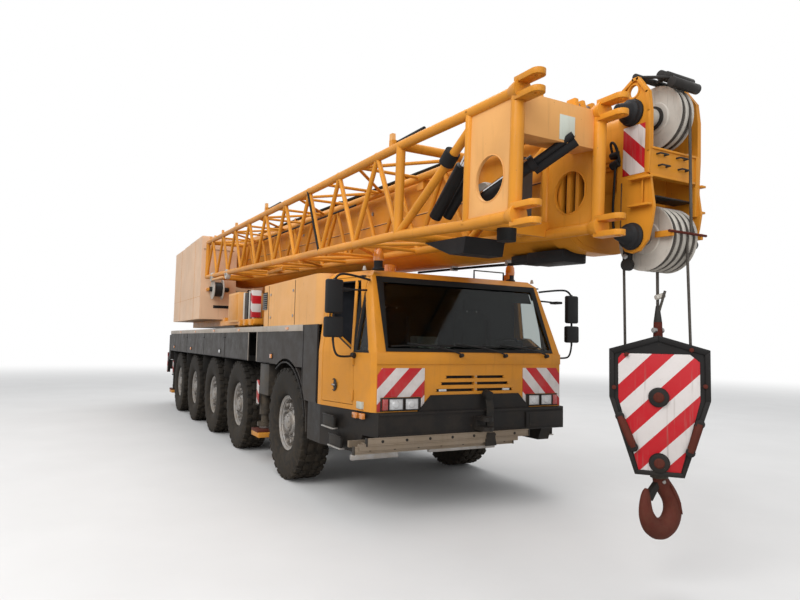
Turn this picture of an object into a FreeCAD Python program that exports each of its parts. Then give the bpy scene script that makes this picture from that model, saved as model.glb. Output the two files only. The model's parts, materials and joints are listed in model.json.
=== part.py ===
import FreeCAD, Part
import math
import os

import Sketcher

# A five-axle mobile crane with a telescopic boom and a lattice jib stowed on its right side.
# +X is forward, +Y is the crane's left and +Z is up, in millimetres. The origin is on the
# ground, under the middle of the whole machine. The boom's own pieces are laid out along the
# boom: u forward from the foot pin and w up from it, and the boom's placement tips them.

V = FreeCAD.Vector
DOC = FreeCAD.newDocument("MobileCrane")
LEFT_RIGHT = (("left", 1), ("right", -1))

# Driving dimensions: alias, value, meaning
DIMENSIONS = [
    ("reach_rear", 9950, "from axle 1 back to the tail end"),
    ("foot_x", 7286, "boom foot pin, behind axle 1"),
    ("half_width", 1375, "half the width over the tyres"),
    ("tyre_dia", 1370, "over the tread"),
    ("tyre_wide", 380, "section width"),
    ("tread_wide", 330, "flat of the tread"),
    ("bead_r", 302.3, "tyre bead seat"),
    ("flange_r", 340, "rim flange"),
    ("rim_tube_r", 302, "rim tube, outside"),
    ("rim_wall", 12, "rim tube and flange wall"),
    ("rim_half", 139, "half the width over the flanges"),
    ("disc_y", 30, "wheel disc, outboard of the tyre's middle"),
    ("disc_wall", 15, "wheel disc thickness"),
    ("hand_hole_r", 28, "hand holes in the disc"),
    ("hand_hole_ring", 222, "their pitch radius"),
    ("hub_r", 150, "hub drum"),
    ("hub_out", 120, "hub drum, outboard end"),
    ("cap_out", 150, "hub cap, outboard end"),
    ("cap_r", 110, "hub cap"),
    ("hub_in", 60, "hub sleeve, inboard end"),
    ("hub_sleeve_r", 125, "hub sleeve"),
    ("bore_out", 90, "end of the hub bore"),
    ("spindle_r", 60, "wheel spindle"),
    ("fit_gap", 0.05, "radial running clearance"),
    ("seat_gap", 0.3, "gap of faces that slide or swing"),
    ("axle_1_2", 2450, "axle spacing"),
    ("axle_2_3", 1870, "axle spacing"),
    ("axle_3_4", 1870, "axle spacing"),
    ("axle_4_5", 1870, "axle spacing"),
    ("king_inset", 165, "king pin, inboard of the tyre's middle"),
    ("king_r", 50, "king pin"),
    ("king_sleeve_r", 75, "knuckle sleeve round the king pin"),
    ("king_sleeve_half", 125, "half the height of that sleeve"),
    ("yoke_lug", 45, "thickness of a yoke lug"),
    ("yoke_r", 62, "round end of a yoke lug"),
    ("yoke_back", 110, "yoke's back plate, inboard of the king pin"),
    ("yoke_plate", 30, "thickness of that plate"),
    ("axle_tube_r", 85, "axle tube"),
    ("diff_r", 215, "differential housing"),
    ("strut_r", 55, "suspension strut"),
    ("strut_y", 360, "suspension strut, from the middle"),
    ("spine_half", 450, "half the width of the main frame"),
    ("spine_low", 920, "underside of the main frame"),
    ("spine_top", 1400, "top of the main frame"),
    ("nose_low", 780, "underside of the frame's nose"),
    ("nose_from", 900, "frame's nose begins, ahead of axle 1"),
    ("spine_front", 860, "full-height frame ends, ahead of axle 1"),
    ("turret_r", 800, "fixed ring under the slewing platform"),
    ("deck_top", 1900, "top of the deck"),
    ("deck_plate", 35, "deck plate"),
    ("strip_high", 70, "edge strip of the deck"),
    ("strip_wide", 15, "thickness of strip and skirt"),
    ("deck_front", 620, "deck ends, ahead of axle 1"),
    ("tail_gap", 400, "deck ends, ahead of the tail end"),
    ("tail_beam", 130, "rear cross beam along the crane"),
    ("tail_half", 1240, "half the rear beam's width"),
    ("tail_low", 830, "underside of the rear beam"),
    ("tail_top", 1340, "top of the rear beam"),
    ("hitch_out", 150, "tow jaw, from the beam's rear face to its pin"),
    ("hitch_bore", 25, "tow pin hole"),
    ("hitch_r", 62, "round end of the tow jaw"),
    ("hitch_gap", 60, "mouth of the tow jaw"),
    ("hitch_wall", 40, "thickness of a jaw plate"),
    ("lamp_deep", 15, "how far a lamp stands out"),
    ("cross_wide", 90, "cross member under the deck"),
    ("skirt_low", 1400, "lower edge of the skirts"),
    ("skirt_flange", 460, "width of the skirt's upper flange"),
    ("skirt_gap_back", 1795, "rear skirt begins, behind axle 1"),
    ("skirt_gap_front", 1345, "front skirt ends, behind axle 1"),
    ("arch_r", 800, "front wheel arch"),
    ("arch_wall", 15, "arch guard"),
    ("panel_front", 1110, "panel behind the cab ends, ahead of axle 1"),
    ("box_x", 1480, "front outrigger box, middle, behind axle 1"),
    ("box_rear_x", 1390, "rear outrigger box, middle, behind axle 5"),
    ("box_long", 360, "outrigger box along the crane"),
    ("box_low", 990, "outrigger box underside"),
    ("box_high", 330, "outrigger box height"),
    ("box_wall", 15, "outrigger box wall"),
    ("box_half", 1060, "half the outrigger box's width"),
    ("beam_long", 150, "outrigger beam along the crane"),
    ("beam_clear", 8, "room round an outrigger beam"),
    ("beam_back", 1040, "inner end of a beam, past the middle"),
    ("jack_y", 1190, "jack, from the middle"),
    ("jack_r", 88, "jack tube"),
    ("jack_bore", 60, "jack rod"),
    ("jack_low", 640, "lower end of the jack tube"),
    ("jack_top", 1375, "upper end of the jack tube"),
    ("foot_r", 120, "jack foot"),
    ("foot_high", 60, "jack foot thickness"),
    ("foot_low", 470, "underside of the jack foot"),
    ("house_back", 1150, "engine housing, behind axle 1"),
    ("house_front", 1135, "engine housing, ahead of axle 1"),
    ("house_top", 2470, "top of the engine housing"),
    ("house_wall", 20, "housing sheet"),
    ("house_round", 150, "its front corners"),
    ("engine_back", 700, "engine, behind axle 1"),
    ("engine_front", 500, "engine, ahead of axle 1"),
    ("engine_half", 420, "half the engine's width"),
    ("engine_top", 2300, "top of the engine"),
    ("bay_margin", 180, "deck opening round the engine"),
    ("cab_back", 1160, "cab rear wall, ahead of axle 1"),
    ("cab_shoulder", 1250, "cab sides start to taper in"),
    ("cab_front", 2170, "cab front, ahead of axle 1"),
    ("cab_corner", 50, "cab front corner, along the crane"),
    ("cab_corner_y", 1205, "half width where the corner starts"),
    ("cab_nose_y", 1165, "half width of the front face"),
    ("cab_floor", 1034, "underside of the cab"),
    ("cab_waist", 1603, "waist line, under the windscreen"),
    ("cab_eave", 2400, "where the roof begins"),
    ("cab_roof", 2462, "top of the roof"),
    ("eave_back_y", 1290, "half width at the rear eave"),
    ("eave_front", 1850, "front eave, ahead of axle 1"),
    ("eave_front_y", 1085, "half width at the front eave"),
    ("roof_inset", 70, "roof edge inside the eave"),
    ("cab_wall", 45, "cab walls and doors"),
    ("door_back", 1268, "door's rear edge, ahead of axle 1"),
    ("door_front", 1838, "door's front edge, ahead of axle 1"),
    ("door_low", 1080, "lower edge of the doors, above the cab floor"),
    ("door_top", 2392, "upper edge of the doors"),
    ("door_gap", 6, "gap round a door"),
    ("hinge_r", 12, "hinge barrels of the doors"),
    ("hinge_long", 90, "their length"),
    ("hinge_low", 54, "lower hinge above the door's lower edge"),
    ("hinge_high", 33, "upper hinge below the waist line"),
    ("window_top", 2345, "upper edge of the side windows"),
    ("screen_low", 1640, "lower edge of the windscreen"),
    ("screen_top", 2350, "upper edge of the windscreen"),
    ("screen_low_y", 1050, "half width of the windscreen below"),
    ("screen_top_y", 985, "half width of the windscreen above"),
    ("glass_depth", 14, "glass set back from the outside"),
    ("glass_wall", 8, "glass thickness"),
    ("bumper_front", 2230, "bumper, ahead of axle 1"),
    ("bumper_low", 800, "underside of the bumper"),
    ("step_low", 620, "underside of the side steps"),
    ("bumper_back", 860, "bumper begins, ahead of axle 1"),
    ("bumper_plate", 40, "bumper's top plate"),
    ("bumper_side", 90, "bumper's walls"),
    ("rise_low_y", 745, "raised middle of the bumper, half width below"),
    ("rise_top_y", 555, "and above"),
    ("rise_top", 1190, "top of the raised middle"),
    ("slot_high", 30, "height of a grille slot"),
    ("slot_low", 186, "lowest grille slot above the cab's underside"),
    ("slot_pitch", 67, "from slot to slot"),
    ("slot_half", 500, "half the length of the lowest row"),
    ("slot_step", 58, "each row is shorter by, at either end"),
    ("slot_post", 18, "half the post between the two halves"),
    ("slot_rows", 3, "how many rows"),
    ("lamp_low", 22, "headlamps above the cab's underside"),
    ("lamp_high", 105, "height of the headlamps"),
    ("slew_x", 5400, "slewing axis, behind axle 1"),
    ("slew_r", 700, "slewing ring"),
    ("slew_high", 90, "slewing ring height"),
    ("platform_top", 2130, "top of the slewing platform"),
    ("platform_half", 900, "half width of the platform"),
    ("platform_front", 3050, "platform's front, behind axle 1"),
    ("platform_back", 9150, "platform's rear, behind axle 1"),
    ("ballast_front", 5810, "counterweight's front, behind axle 1"),
    ("ballast_back", 9250, "counterweight's rear, behind axle 1"),
    ("ballast_top", 3850, "top of the counterweight"),
    ("ballast_slot", 640, "half the slot in the counterweight"),
    ("ballast_wall", 110, "counterweight's rear wall"),
    ("locker_long", 340, "rear locker on the counterweight"),
    ("locker_half", 900, "half width of that locker"),
    ("locker_low", 2900, "its underside"),
    ("locker_top", 3350, "its top"),
    ("cheek_in", 480, "boom foot cheeks, inner face"),
    ("cheek_wall", 80, "boom foot cheek thickness"),
    ("foot_z", 3250, "boom foot pin height"),
    ("foot_pin_r", 80, "boom foot pin"),
    ("boom_droop", 2.3, "boom slopes down to the front, degrees"),
    ("base_back", 250, "boom base behind the foot pin"),
    ("base_long", 11230, "boom base ahead of the foot pin"),
    ("base_half", 450, "half the boom base's width"),
    ("base_low", 300, "boom base below the foot pin"),
    ("base_top", 750, "boom base above the foot pin"),
    ("base_wall", 14, "boom base wall"),
    ("base_round", 170, "upper corners of the boom base"),
    ("base_belly", 380, "lower corners of the boom base"),
    ("collar_long", 220, "collar at a section's front"),
    ("collar_proud", 28, "how far a collar stands out"),
    ("tele_wall", 12, "telescope walls"),
    ("tele1_half", 345, "telescope 1, half width"),
    ("tele1_low", 190, "telescope 1 below the foot pin's line"),
    ("tele1_top", 718, "telescope 1 above that line"),
    ("tele1_from", 500, "telescope 1, rear end"),
    ("tele1_out", 100, "telescope 1, ahead of the base's front end"),
    ("tele1_round", 130, "its upper corners"),
    ("tele1_belly", 300, "its lower corners"),
    ("tele2_half", 236, "telescope 2, half width"),
    ("tele2_low", 75, "telescope 2 below the line"),
    ("tele2_top", 690, "telescope 2 above the line"),
    ("tele2_from", 900, "telescope 2, rear end"),
    ("tele2_out", 270, "telescope 2, ahead of telescope 1's front end"),
    ("tele2_round", 110, "its upper corners"),
    ("tele2_belly", 180, "its lower corners"),
    ("shoe_long", 300, "slide shoe length"),
    ("shoe_half", 50, "half a slide shoe's width"),
    ("head_y", 240, "head plates, inner face"),
    ("head_wall", 22, "head plate thickness"),
    ("head_back", 40, "plate that closes the telescope"),
    ("head_lap", 210, "gussets of the head, behind the telescope's end"),
    ("low_axle_out", 166, "lower head sheaves, ahead of the telescope's end"),
    ("low_axle_w", 268, "their depth below the line"),
    ("low_sheave_r", 240, "lower head sheaves' radius"),
    ("low_sheaves", 4, "how many"),
    ("top_axle_out", 140, "upper head sheaves, ahead of the telescope's end"),
    ("top_axle_w", 642, "their height above the line"),
    ("top_sheave_r", 240, "upper head sheaves' radius"),
    ("top_sheaves", 2, "how many"),
    ("top_sheave_y", 30, "upper head sheaves, middle of the row, to the left"),
    ("sheave_room", 12, "room round the upper head sheaves"),
    ("sheave_pitch", 67, "from sheave to sheave"),
    ("groove_deep", 26, "depth of a groove"),
    ("rim_flat", 4, "half the flat of a sheave's rim"),
    ("sheave_pin_r", 50, "head sheave pins"),
    ("rope_r", 10, "hoist rope"),
    ("jib_outer", 1300, "jib's outer chords, from the middle"),
    ("jib_inner", 560, "jib's inner chords"),
    ("jib_from", 1740, "jib's rear end"),
    ("jib_kink", 10100, "jib's kink"),
    ("jib_root", 11160, "jib's root plates begin"),
    ("jib_low", 190, "lower chords below the line"),
    ("jib_top_rear", 524, "upper chords, rear end"),
    ("jib_top_front", 606, "upper chords, front end"),
    ("jib_chord_r", 42, "chord tube"),
    ("jib_brace_r", 24, "side brace"),
    ("jib_lace_r", 18, "top and bottom brace"),
    ("jib_bays", 9, "bays of the lattice"),
    ("root_long", 560, "length of the root plates"),
    ("root_low", 270, "root plates below the line"),
    ("root_top", 640, "root plates above the line"),
    ("root_wall", 20, "root plate thickness"),
    ("fork_long", 130, "fork beyond the root plates"),
    ("fork_r", 62, "fork's round end"),
    ("fork_bore", 27, "fork's pin hole"),
    ("lift_u", 6300, "luffing cylinder's pin on the boom"),
    ("lift_w", 415, "that pin below the line"),
    ("lift_foot_x", 5500, "luffing cylinder's foot, behind axle 1"),
    ("lift_foot_z", 2260, "its height"),
    ("lift_pin_r", 55, "luffing cylinder pins"),
    ("lift_eye_r", 92, "eyes of the cylinder"),
    ("lift_eye_half", 92, "half the width of an eye"),
    ("barrel_from", 420, "barrel begins, from its foot pin"),
    ("neck_r", 80, "neck between the foot lugs"),
    ("lift_play", 6, "room beside the rod's eye"),
    ("barrel_r", 150, "luffing cylinder barrel"),
    ("rod_r", 82, "luffing cylinder rod"),
    ("rod_long", 3000, "rod, from the eye back"),
    ("barrel_short", 330, "barrel ends before the rod's eye"),
    ("lug_wall", 30, "lugs of the cylinder"),
    ("drum_x", 8760, "winch drum, behind axle 1"),
    ("drum_z", 2760, "winch drum height"),
    ("drum_r", 190, "winch drum"),
    ("drum_flange_r", 270, "winch flanges"),
    ("drum_half", 400, "half the drum's width"),
    ("drum_flange", 25, "winch flange thickness"),
    ("drum_pin_r", 45, "winch shaft"),
    ("op_back", 4900, "operator's cab rear, behind axle 1"),
    ("op_front", 3150, "operator's cab front, behind axle 1"),
    ("op_inner", 640, "operator's cab, inner side"),
    ("op_outer", 1370, "operator's cab, outer side"),
    ("op_top", 3640, "operator's cab roof"),
    ("op_wall", 40, "operator's cab walls"),
    ("op_slope", 260, "operator's windscreen slopes back by"),
    ("hook_y", 0, "hook block from the middle"),
    ("block_top", 1800, "top of the hook block"),
    ("block_low", 810, "lower end of its plates"),
    ("block_half", 333, "half the plate's width"),
    ("block_foot", 162, "half the width of its lower end"),
    ("block_eave", 100, "its shoulders below its top"),
    ("block_taper", 450, "its taper begins, below its top"),
    ("block_pin_z", 1360, "pin of its sheaves"),
    ("block_pin_r", 70, "radius of that pin's heads"),
    ("block_foot_z", 900, "cross piece that carries the hook"),
    ("block_twist", 40, "block twisted about its ropes, degrees"),
    ("hook_turn", 45, "hook turned on its shank, degrees"),
    ("block_gap", 90, "plates, inner face"),
    ("block_wall", 30, "plate thickness"),
    ("hook_low", 355, "lowest point of the hook"),
    ("hook_r", 180, "hook's outer radius"),
    ("hook_bowl", 86, "hook's bowl radius"),
    ("bowl_x", 15, "bowl set toward the tip"),
    ("bowl_up", 25, "bowl above the outer curve's middle"),
    ("hook_tip", 350, "tip of the hook above its lowest point"),
    ("hook_neck", 440, "neck of the hook above its lowest point"),
    ("neck_half", 62, "half the width of that neck"),
    ("hook_thick", 96, "hook's thickness"),
    ("shank_r", 46, "hook shank"),
    ("ladder_back", 2005, "ladder's inner rail, ahead of axle 1"),
    ("ladder_front", 2280, "ladder's outer rail ends, ahead of axle 1"),
    ("ladder_rail", 40, "rail along the crane"),
    ("ladder_low", 700, "underside of the ladder"),
    ("ladder_high", 60, "rail height"),
    ("ladder_right", 1380, "ladder's right end"),
    ("ladder_left", 480, "ladder's left end"),
    ("ladder_rungs", 7, "how many rungs"),
    ("rung_r", 13, "rung"),
    ("mirror_y", 1560, "mirrors, middle"),
    ("mirror_half", 85, "half a mirror's width"),
    ("mirror_x", 2030, "mirrors, ahead of axle 1"),
    ("mirror_root", 1845, "where the mirror arms leave the cab, ahead of axle 1"),
    ("mirror_deep", 70, "mirror thickness"),
    ("mirror_arm_r", 11, "mirror arms"),
    ("seat_y", 560, "driver's seat, from the middle"),
    ("seat_half", 230, "half a seat's width"),
    ("beacon_x", 1700, "beacons, ahead of axle 1"),
    ("beacon_y", 800, "beacons, from the middle"),
    ("beacon_r", 62, "beacon base"),
    ("beacon_top", 2540, "top of the beacon base"),
]

SHEET = DOC.addObject("Spreadsheet::Sheet", "Dims")
for row, (alias, value, meaning) in enumerate(DIMENSIONS, start=1):
    SHEET.set("A%d" % row, meaning)
    SHEET.set("B%d" % row, str(value))
    SHEET.setAlias("B%d" % row, alias)
DOC.recompute()


class Size:
    """A length with the sheet formula that gives it."""

    def __init__(self, value, text):
        self.value = float(value)
        self.text = text

    def __float__(self):
        return self.value

    def __add__(self, other):
        other = sized(other)
        return Size(self.value + other.value, "(%s + %s)" % (self.text, other.text))

    def __sub__(self, other):
        other = sized(other)
        return Size(self.value - other.value, "(%s - %s)" % (self.text, other.text))

    def __mul__(self, other):
        other = sized(other)
        return Size(self.value * other.value, "(%s * %s)" % (self.text, other.text))

    def __truediv__(self, other):
        other = sized(other)
        return Size(self.value / other.value, "(%s / %s)" % (self.text, other.text))

    def __neg__(self):
        return Size(-self.value, "(0 - %s)" % self.text)

    __radd__ = __add__
    __rmul__ = __mul__

    def __rsub__(self, other):
        return sized(other) - self


def sized(number):
    if isinstance(number, Size):
        return number
    return Size(number, "%.9g" % number if number >= 0 else "(0 - %.9g)" % -number)


class Sheet:
    """Reads the sheet's cells by their alias."""

    def __getattr__(self, alias):
        return Size(SHEET.get(alias), "Dims." + alias)


D = Sheet()


def cosine(angle):
    return Size(math.cos(math.radians(angle.value)), "cos(%s * 1 deg)" % angle.text)


def sine(angle):
    return Size(math.sin(math.radians(angle.value)), "sin(%s * 1 deg)" % angle.text)


def span(side, near, far):
    """The lower and upper end of a stretch from near to far on one side of the crane."""
    ends = (near * side, far * side)
    return ends if side > 0 else (ends[1], ends[0])


# Helpers that make the pieces

NODES = {}
COUNT = {"made": 0}


def fresh(name):
    COUNT["made"] += 1
    return "%s_%d" % (name, COUNT["made"])


def bind(item, **sizes):
    for key, size in sizes.items():
        item.setExpression(key.replace("__", "."), sized(size).text)


def place(item, x=0, y=0, z=0, rotation=None):
    if rotation is not None:
        item.Placement = FreeCAD.Placement(V(0, 0, 0), rotation)
    bind(item, Placement__Base__x=x, Placement__Base__y=y, Placement__Base__z=z)
    return item


def block(name, xs, ys, zs):
    item = DOC.addObject("Part::Box", fresh(name))
    xs = [sized(x) for x in xs]
    ys = [sized(y) for y in ys]
    zs = [sized(z) for z in zs]
    bind(item, Length=xs[1] - xs[0], Width=ys[1] - ys[0], Height=zs[1] - zs[0])
    return place(item, xs[0], ys[0], zs[0])


AXES = {
    "X": FreeCAD.Rotation(V(0, 1, 0), 90),
    "Y": FreeCAD.Rotation(V(1, 0, 0), -90),
    "Z": FreeCAD.Rotation(),
}


def rod(name, axis, centre, radius, ends):
    """A round bar along one axis: centre holds the other two coordinates, in their order."""
    item = DOC.addObject("Part::Cylinder", fresh(name))
    low, high = (sized(end) for end in ends)
    bind(item, Radius=radius, Height=high - low)
    at = {
        "X": (low, centre[0], centre[1]),
        "Y": (centre[0], low, centre[1]),
        "Z": (centre[0], centre[1], low),
    }[axis]
    return place(item, at[0], at[1], at[2], AXES[axis])


def origin_plane(body, role):
    return [item for item in body.Origin.OriginFeatures if item.Role == role][0]


def draw(body, plane, points, offset=None):
    """A closed outline of straight lines, each corner bound to the sheet."""
    sketch = body.newObject("Sketcher::SketchObject", fresh("Outline"))
    sketch.AttachmentSupport = [(origin_plane(body, plane + "_Plane"), "")]
    sketch.MapMode = "FlatFace"
    if offset is not None:
        bind(sketch, AttachmentOffset__Base__z=offset)
    corners = [(sized(a), sized(b)) for a, b in points]
    for one, two in zip(corners, corners[1:] + corners[:1]):
        ends = [V(a.value, b.value, 0) for a, b in (one, two)]
        sketch.addGeometry(Part.LineSegment(ends[0], ends[1]))
    count = len(corners)
    for index in range(count):
        link = Sketcher.Constraint("Coincident", index, 2, (index + 1) % count, 1)
        sketch.addConstraint(link)
    for index, corner in enumerate(corners):
        for kind, size in zip(("DistanceX", "DistanceY"), corner):
            limit = Sketcher.Constraint(kind, -1, 1, index, 1, size.value)
            number = sketch.addConstraint(limit)
            sketch.setExpression("Constraints[%d]" % number, size.text)
    return sketch


def new_body(name):
    return DOC.addObject("PartDesign::Body", fresh(name))


def prism(name, plane, points, ends):
    """An outline drawn on one plane and pushed square to it, between two places."""
    body = new_body(name)
    low, high = (sized(end) for end in ends)
    pad = body.newObject("PartDesign::Pad", fresh("Pad"))
    pad.Profile = draw(body, plane, points)
    bind(pad, Length=high - low)
    pad.Reversed = plane == "XZ"
    where = {"XY": (0, 0, low), "XZ": (0, low, 0), "YZ": (low, 0, 0)}[plane]
    return place(body, *where)


def turned(name, points):
    """An outline of radius and place along Y, turned about the Y axis."""
    body = new_body(name)
    turn = body.newObject("PartDesign::Revolution", fresh("Turn"))
    sketch = draw(body, "XY", points)
    turn.Profile = sketch
    turn.ReferenceAxis = (sketch, ["V_Axis"])
    turn.Angle = 360
    return body


def rounded(body, radius, wanted):
    """Rounds the edges of a body that the test picks."""
    DOC.recompute()
    tip = body.Tip
    names = []
    for number, edge in enumerate(tip.Shape.Edges, start=1):
        if wanted(edge):
            names.append("Edge%d" % number)
    fillet = body.newObject("PartDesign::Fillet", fresh("Round"))
    fillet.Base = (tip, names)
    bind(fillet, Radius=radius)
    body.Tip = fillet
    return body


def joined(name, pieces):
    item = DOC.addObject("Part::MultiFuse", fresh(name))
    item.Shapes = pieces
    return item


def minus(name, base, tools):
    item = DOC.addObject("Part::Cut", fresh(name))
    item.Base = base
    item.Tool = tools[0] if len(tools) == 1 else joined(name + "Tools", tools)
    return item


def shared(name, one, other):
    item = DOC.addObject("Part::Common", fresh(name))
    item.Base = one
    item.Tool = other
    return item


def gathered(name, pieces):
    item = DOC.addObject("Part::Compound", fresh(name))
    item.Links = pieces
    return item


def shaped(name, shape):
    item = DOC.addObject("Part::Feature", fresh(name))
    item.Shape = shape
    return item


def node(label, item):
    item.Label = label
    NODES[label] = item
    return item


def runs_along(edge, axis):
    """True for a straight edge that runs along one axis."""
    if edge.Curve.TypeId != "Part::GeomLine":
        return False
    direction = edge.Curve.Direction
    return abs(abs(getattr(direction, axis.lower())) - 1) < 1e-6


# Where things are along the crane

COS = cosine(D.boom_droop)
SIN = sine(D.boom_droop)
TELE_1_END = D.base_long + D.tele1_out
TELE_2_END = TELE_1_END + D.tele2_out
LOW_AXLE = TELE_2_END + D.low_axle_out
TOP_AXLE = TELE_2_END + D.top_axle_out
REACH_FRONT = TOP_AXLE * COS + D.top_axle_w * SIN + D.top_sheave_r - D.foot_x
AXLE_1 = (D.reach_rear - REACH_FRONT) / 2
FOOT_X = AXLE_1 - D.foot_x
FOOT_Z = D.foot_z
TAIL = AXLE_1 - D.reach_rear
DECK_BACK = TAIL + D.tail_gap
SLEW_X = AXLE_1 - D.slew_x
AXLES = [AXLE_1]
for gap in (D.axle_1_2, D.axle_2_3, D.axle_3_4, D.axle_4_5):
    AXLES.append(AXLES[-1] - gap)
STEERED = (1, 2, 4, 5)
WHEEL_Z = D.tyre_dia / 2
WHEEL_Y = D.half_width - D.tyre_wide / 2
KING_Y = WHEEL_Y - D.king_inset


def along(distance):
    """A place given ahead of axle 1."""
    return AXLE_1 + distance


def behind(distance):
    """A place given behind axle 1."""
    return AXLE_1 - distance


# Wheels: a tyre and its rim, the rim turning on the knuckle's spindle

def tyre():
    half = D.tyre_wide / 2
    inside = D.rim_half - D.rim_wall - D.seat_gap
    tread = D.tread_wide / 2
    top = D.tyre_dia / 2
    clear = D.flange_r + D.seat_gap
    right = [
        (D.bead_r, inside),
        (clear, inside),
        (clear, D.rim_half + 14),
        (clear + 70, half - 12),
        (clear + 190, half),
        (top - 60, half - 3),
        (top - 12, tread),
        (top, tread - 34),
    ]
    left = [(radius, -y) for radius, y in reversed(right)]
    return turned("Tyre", right + left)


def rim():
    inner = D.rim_tube_r - D.rim_wall
    lip = D.rim_half - D.rim_wall
    bore = D.spindle_r + D.fit_gap
    points = [
        (0, D.bore_out),
        (bore, D.bore_out),
        (bore, -D.hub_in),
        (D.hub_sleeve_r, -D.hub_in),
        (D.hub_sleeve_r, D.disc_y),
        (inner, D.disc_y),
        (inner, -D.rim_half),
        (D.flange_r, -D.rim_half),
        (D.flange_r, -lip),
        (D.rim_tube_r, -lip),
        (D.rim_tube_r, lip),
        (D.flange_r, lip),
        (D.flange_r, D.rim_half),
        (inner, D.rim_half),
        (inner, D.disc_y + D.disc_wall),
        (D.hub_r, D.disc_y + D.disc_wall),
        (D.hub_r, D.hub_out),
        (D.cap_r, D.cap_out),
        (0, D.cap_out),
    ]
    body = turned("Rim", points)
    sketch = body.newObject("Sketcher::SketchObject", fresh("HandHole"))
    sketch.AttachmentSupport = [(origin_plane(body, "XZ_Plane"), "")]
    sketch.MapMode = "FlatFace"
    ring = D.hand_hole_ring
    hole = D.hand_hole_r
    sketch.addGeometry(Part.Circle(V(ring.value, 0, 0), V(0, 0, 1), hole.value))
    sketch.addConstraint(Sketcher.Constraint("DistanceX", -1, 1, 0, 3, ring.value))
    sketch.setExpression("Constraints[0]", ring.text)
    sketch.addConstraint(Sketcher.Constraint("PointOnObject", 0, 3, -1))
    sketch.addConstraint(Sketcher.Constraint("Radius", 0, hole.value))
    sketch.setExpression("Constraints[2]", hole.text)
    pocket = body.newObject("PartDesign::Pocket", fresh("Holes"))
    pocket.Profile = sketch
    pocket.Type = "ThroughAll"
    pocket.Midplane = True
    ring_of = body.newObject("PartDesign::PolarPattern", fresh("Ring"))
    ring_of.Originals = [pocket]
    ring_of.Axis = (origin_plane(body, "Y_Axis"), [""])
    ring_of.Angle = 360
    ring_of.Occurrences = 10
    body.Tip = ring_of
    return body


def wheels():
    about = FreeCAD.Rotation(V(0, 0, 1), 180)
    for number, x in enumerate(AXLES, start=1):
        for name, side in LEFT_RIGHT:
            turn = FreeCAD.Rotation() if side > 0 else about
            parts = [place(part, x, WHEEL_Y * side, WHEEL_Z, turn) for part in (tyre(), rim())]
            node("wheel_%d_%s" % (number, name), gathered("Wheel", parts))


# Knuckles: they swing about the king pins and carry the wheel spindles

def knuckle(x, side):
    half = D.king_sleeve_half + D.yoke_lug
    end = WHEEL_Y + D.bore_out - D.seat_gap * 10
    y = KING_Y * side
    pin = rod("KingPin", "Z", (x, y), D.king_r, (WHEEL_Z - half, WHEEL_Z + half))
    sleeve_ends = (WHEEL_Z - D.king_sleeve_half, WHEEL_Z + D.king_sleeve_half)
    sleeve = rod("Sleeve", "Z", (x, y), D.king_sleeve_r, sleeve_ends)
    spindle = rod("Spindle", "Y", (x, WHEEL_Z), D.spindle_r, span(side, KING_Y, end))
    return joined("Knuckle", [pin, sleeve, spindle])


def knuckles():
    for number in STEERED:
        for name, side in LEFT_RIGHT:
            node("knuckle_%d_%s" % (number, name), knuckle(AXLES[number - 1], side))


# Axle beams with their differentials, yokes and struts

def yoke(x, side):
    back = KING_Y - D.yoke_back
    half = D.king_sleeve_half + D.seat_gap
    full = half + D.yoke_lug
    plate_y = span(side, back, back + D.yoke_plate)
    across = (x - D.yoke_r, x + D.yoke_r)
    pieces = [block("YokeBack", across, plate_y, (WHEEL_Z - full, WHEEL_Z + full))]
    for zs in ((WHEEL_Z + half, WHEEL_Z + full), (WHEEL_Z - full, WHEEL_Z - half)):
        pieces.append(block("Lug", across, span(side, back, KING_Y), zs))
        pieces.append(rod("LugEnd", "Z", (x, KING_Y * side), D.yoke_r, zs))
    bore_ends = (WHEEL_Z - full * 2, WHEEL_Z + full * 2)
    bore = rod("LugBore", "Z", (x, KING_Y * side), D.king_r + D.fit_gap, bore_ends)
    return minus("Yoke", joined("YokeSolid", pieces), [bore])


def axle_beams():
    beams = []
    for number, x in enumerate(AXLES, start=1):
        steered = number in STEERED
        reach = KING_Y - D.yoke_back + D.yoke_plate / 2
        end = reach if steered else WHEEL_Y - D.hub_in * 2
        pieces = [rod("AxleTube", "Y", (x, WHEEL_Z), D.axle_tube_r, (-end, end))]
        ball = DOC.addObject("Part::Sphere", fresh("Differential"))
        bind(ball, Radius=D.diff_r)
        pieces.append(place(ball, x, 0, WHEEL_Z))
        for name, side in LEFT_RIGHT:
            top = (WHEEL_Z, D.spine_low)
            pieces.append(rod("Strut", "Z", (x, D.strut_y * side), D.strut_r, top))
            if steered:
                pieces.append(yoke(x, side))
            else:
                tip = WHEEL_Y + D.bore_out - D.seat_gap * 10
                stub = rod("Stub", "Y", (x, WHEEL_Z), D.spindle_r, span(side, end, tip))
                pieces.append(stub)
        beams.append(joined("AxleBeam", pieces))
    node("axle_beams", gathered("AxleBeams", beams))


# Main frame with the ring that carries the slewing platform

def outrigger_places():
    return (
        ("front", behind(D.box_x)),
        ("rear", AXLES[-1] - D.box_rear_x),
    )


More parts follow.
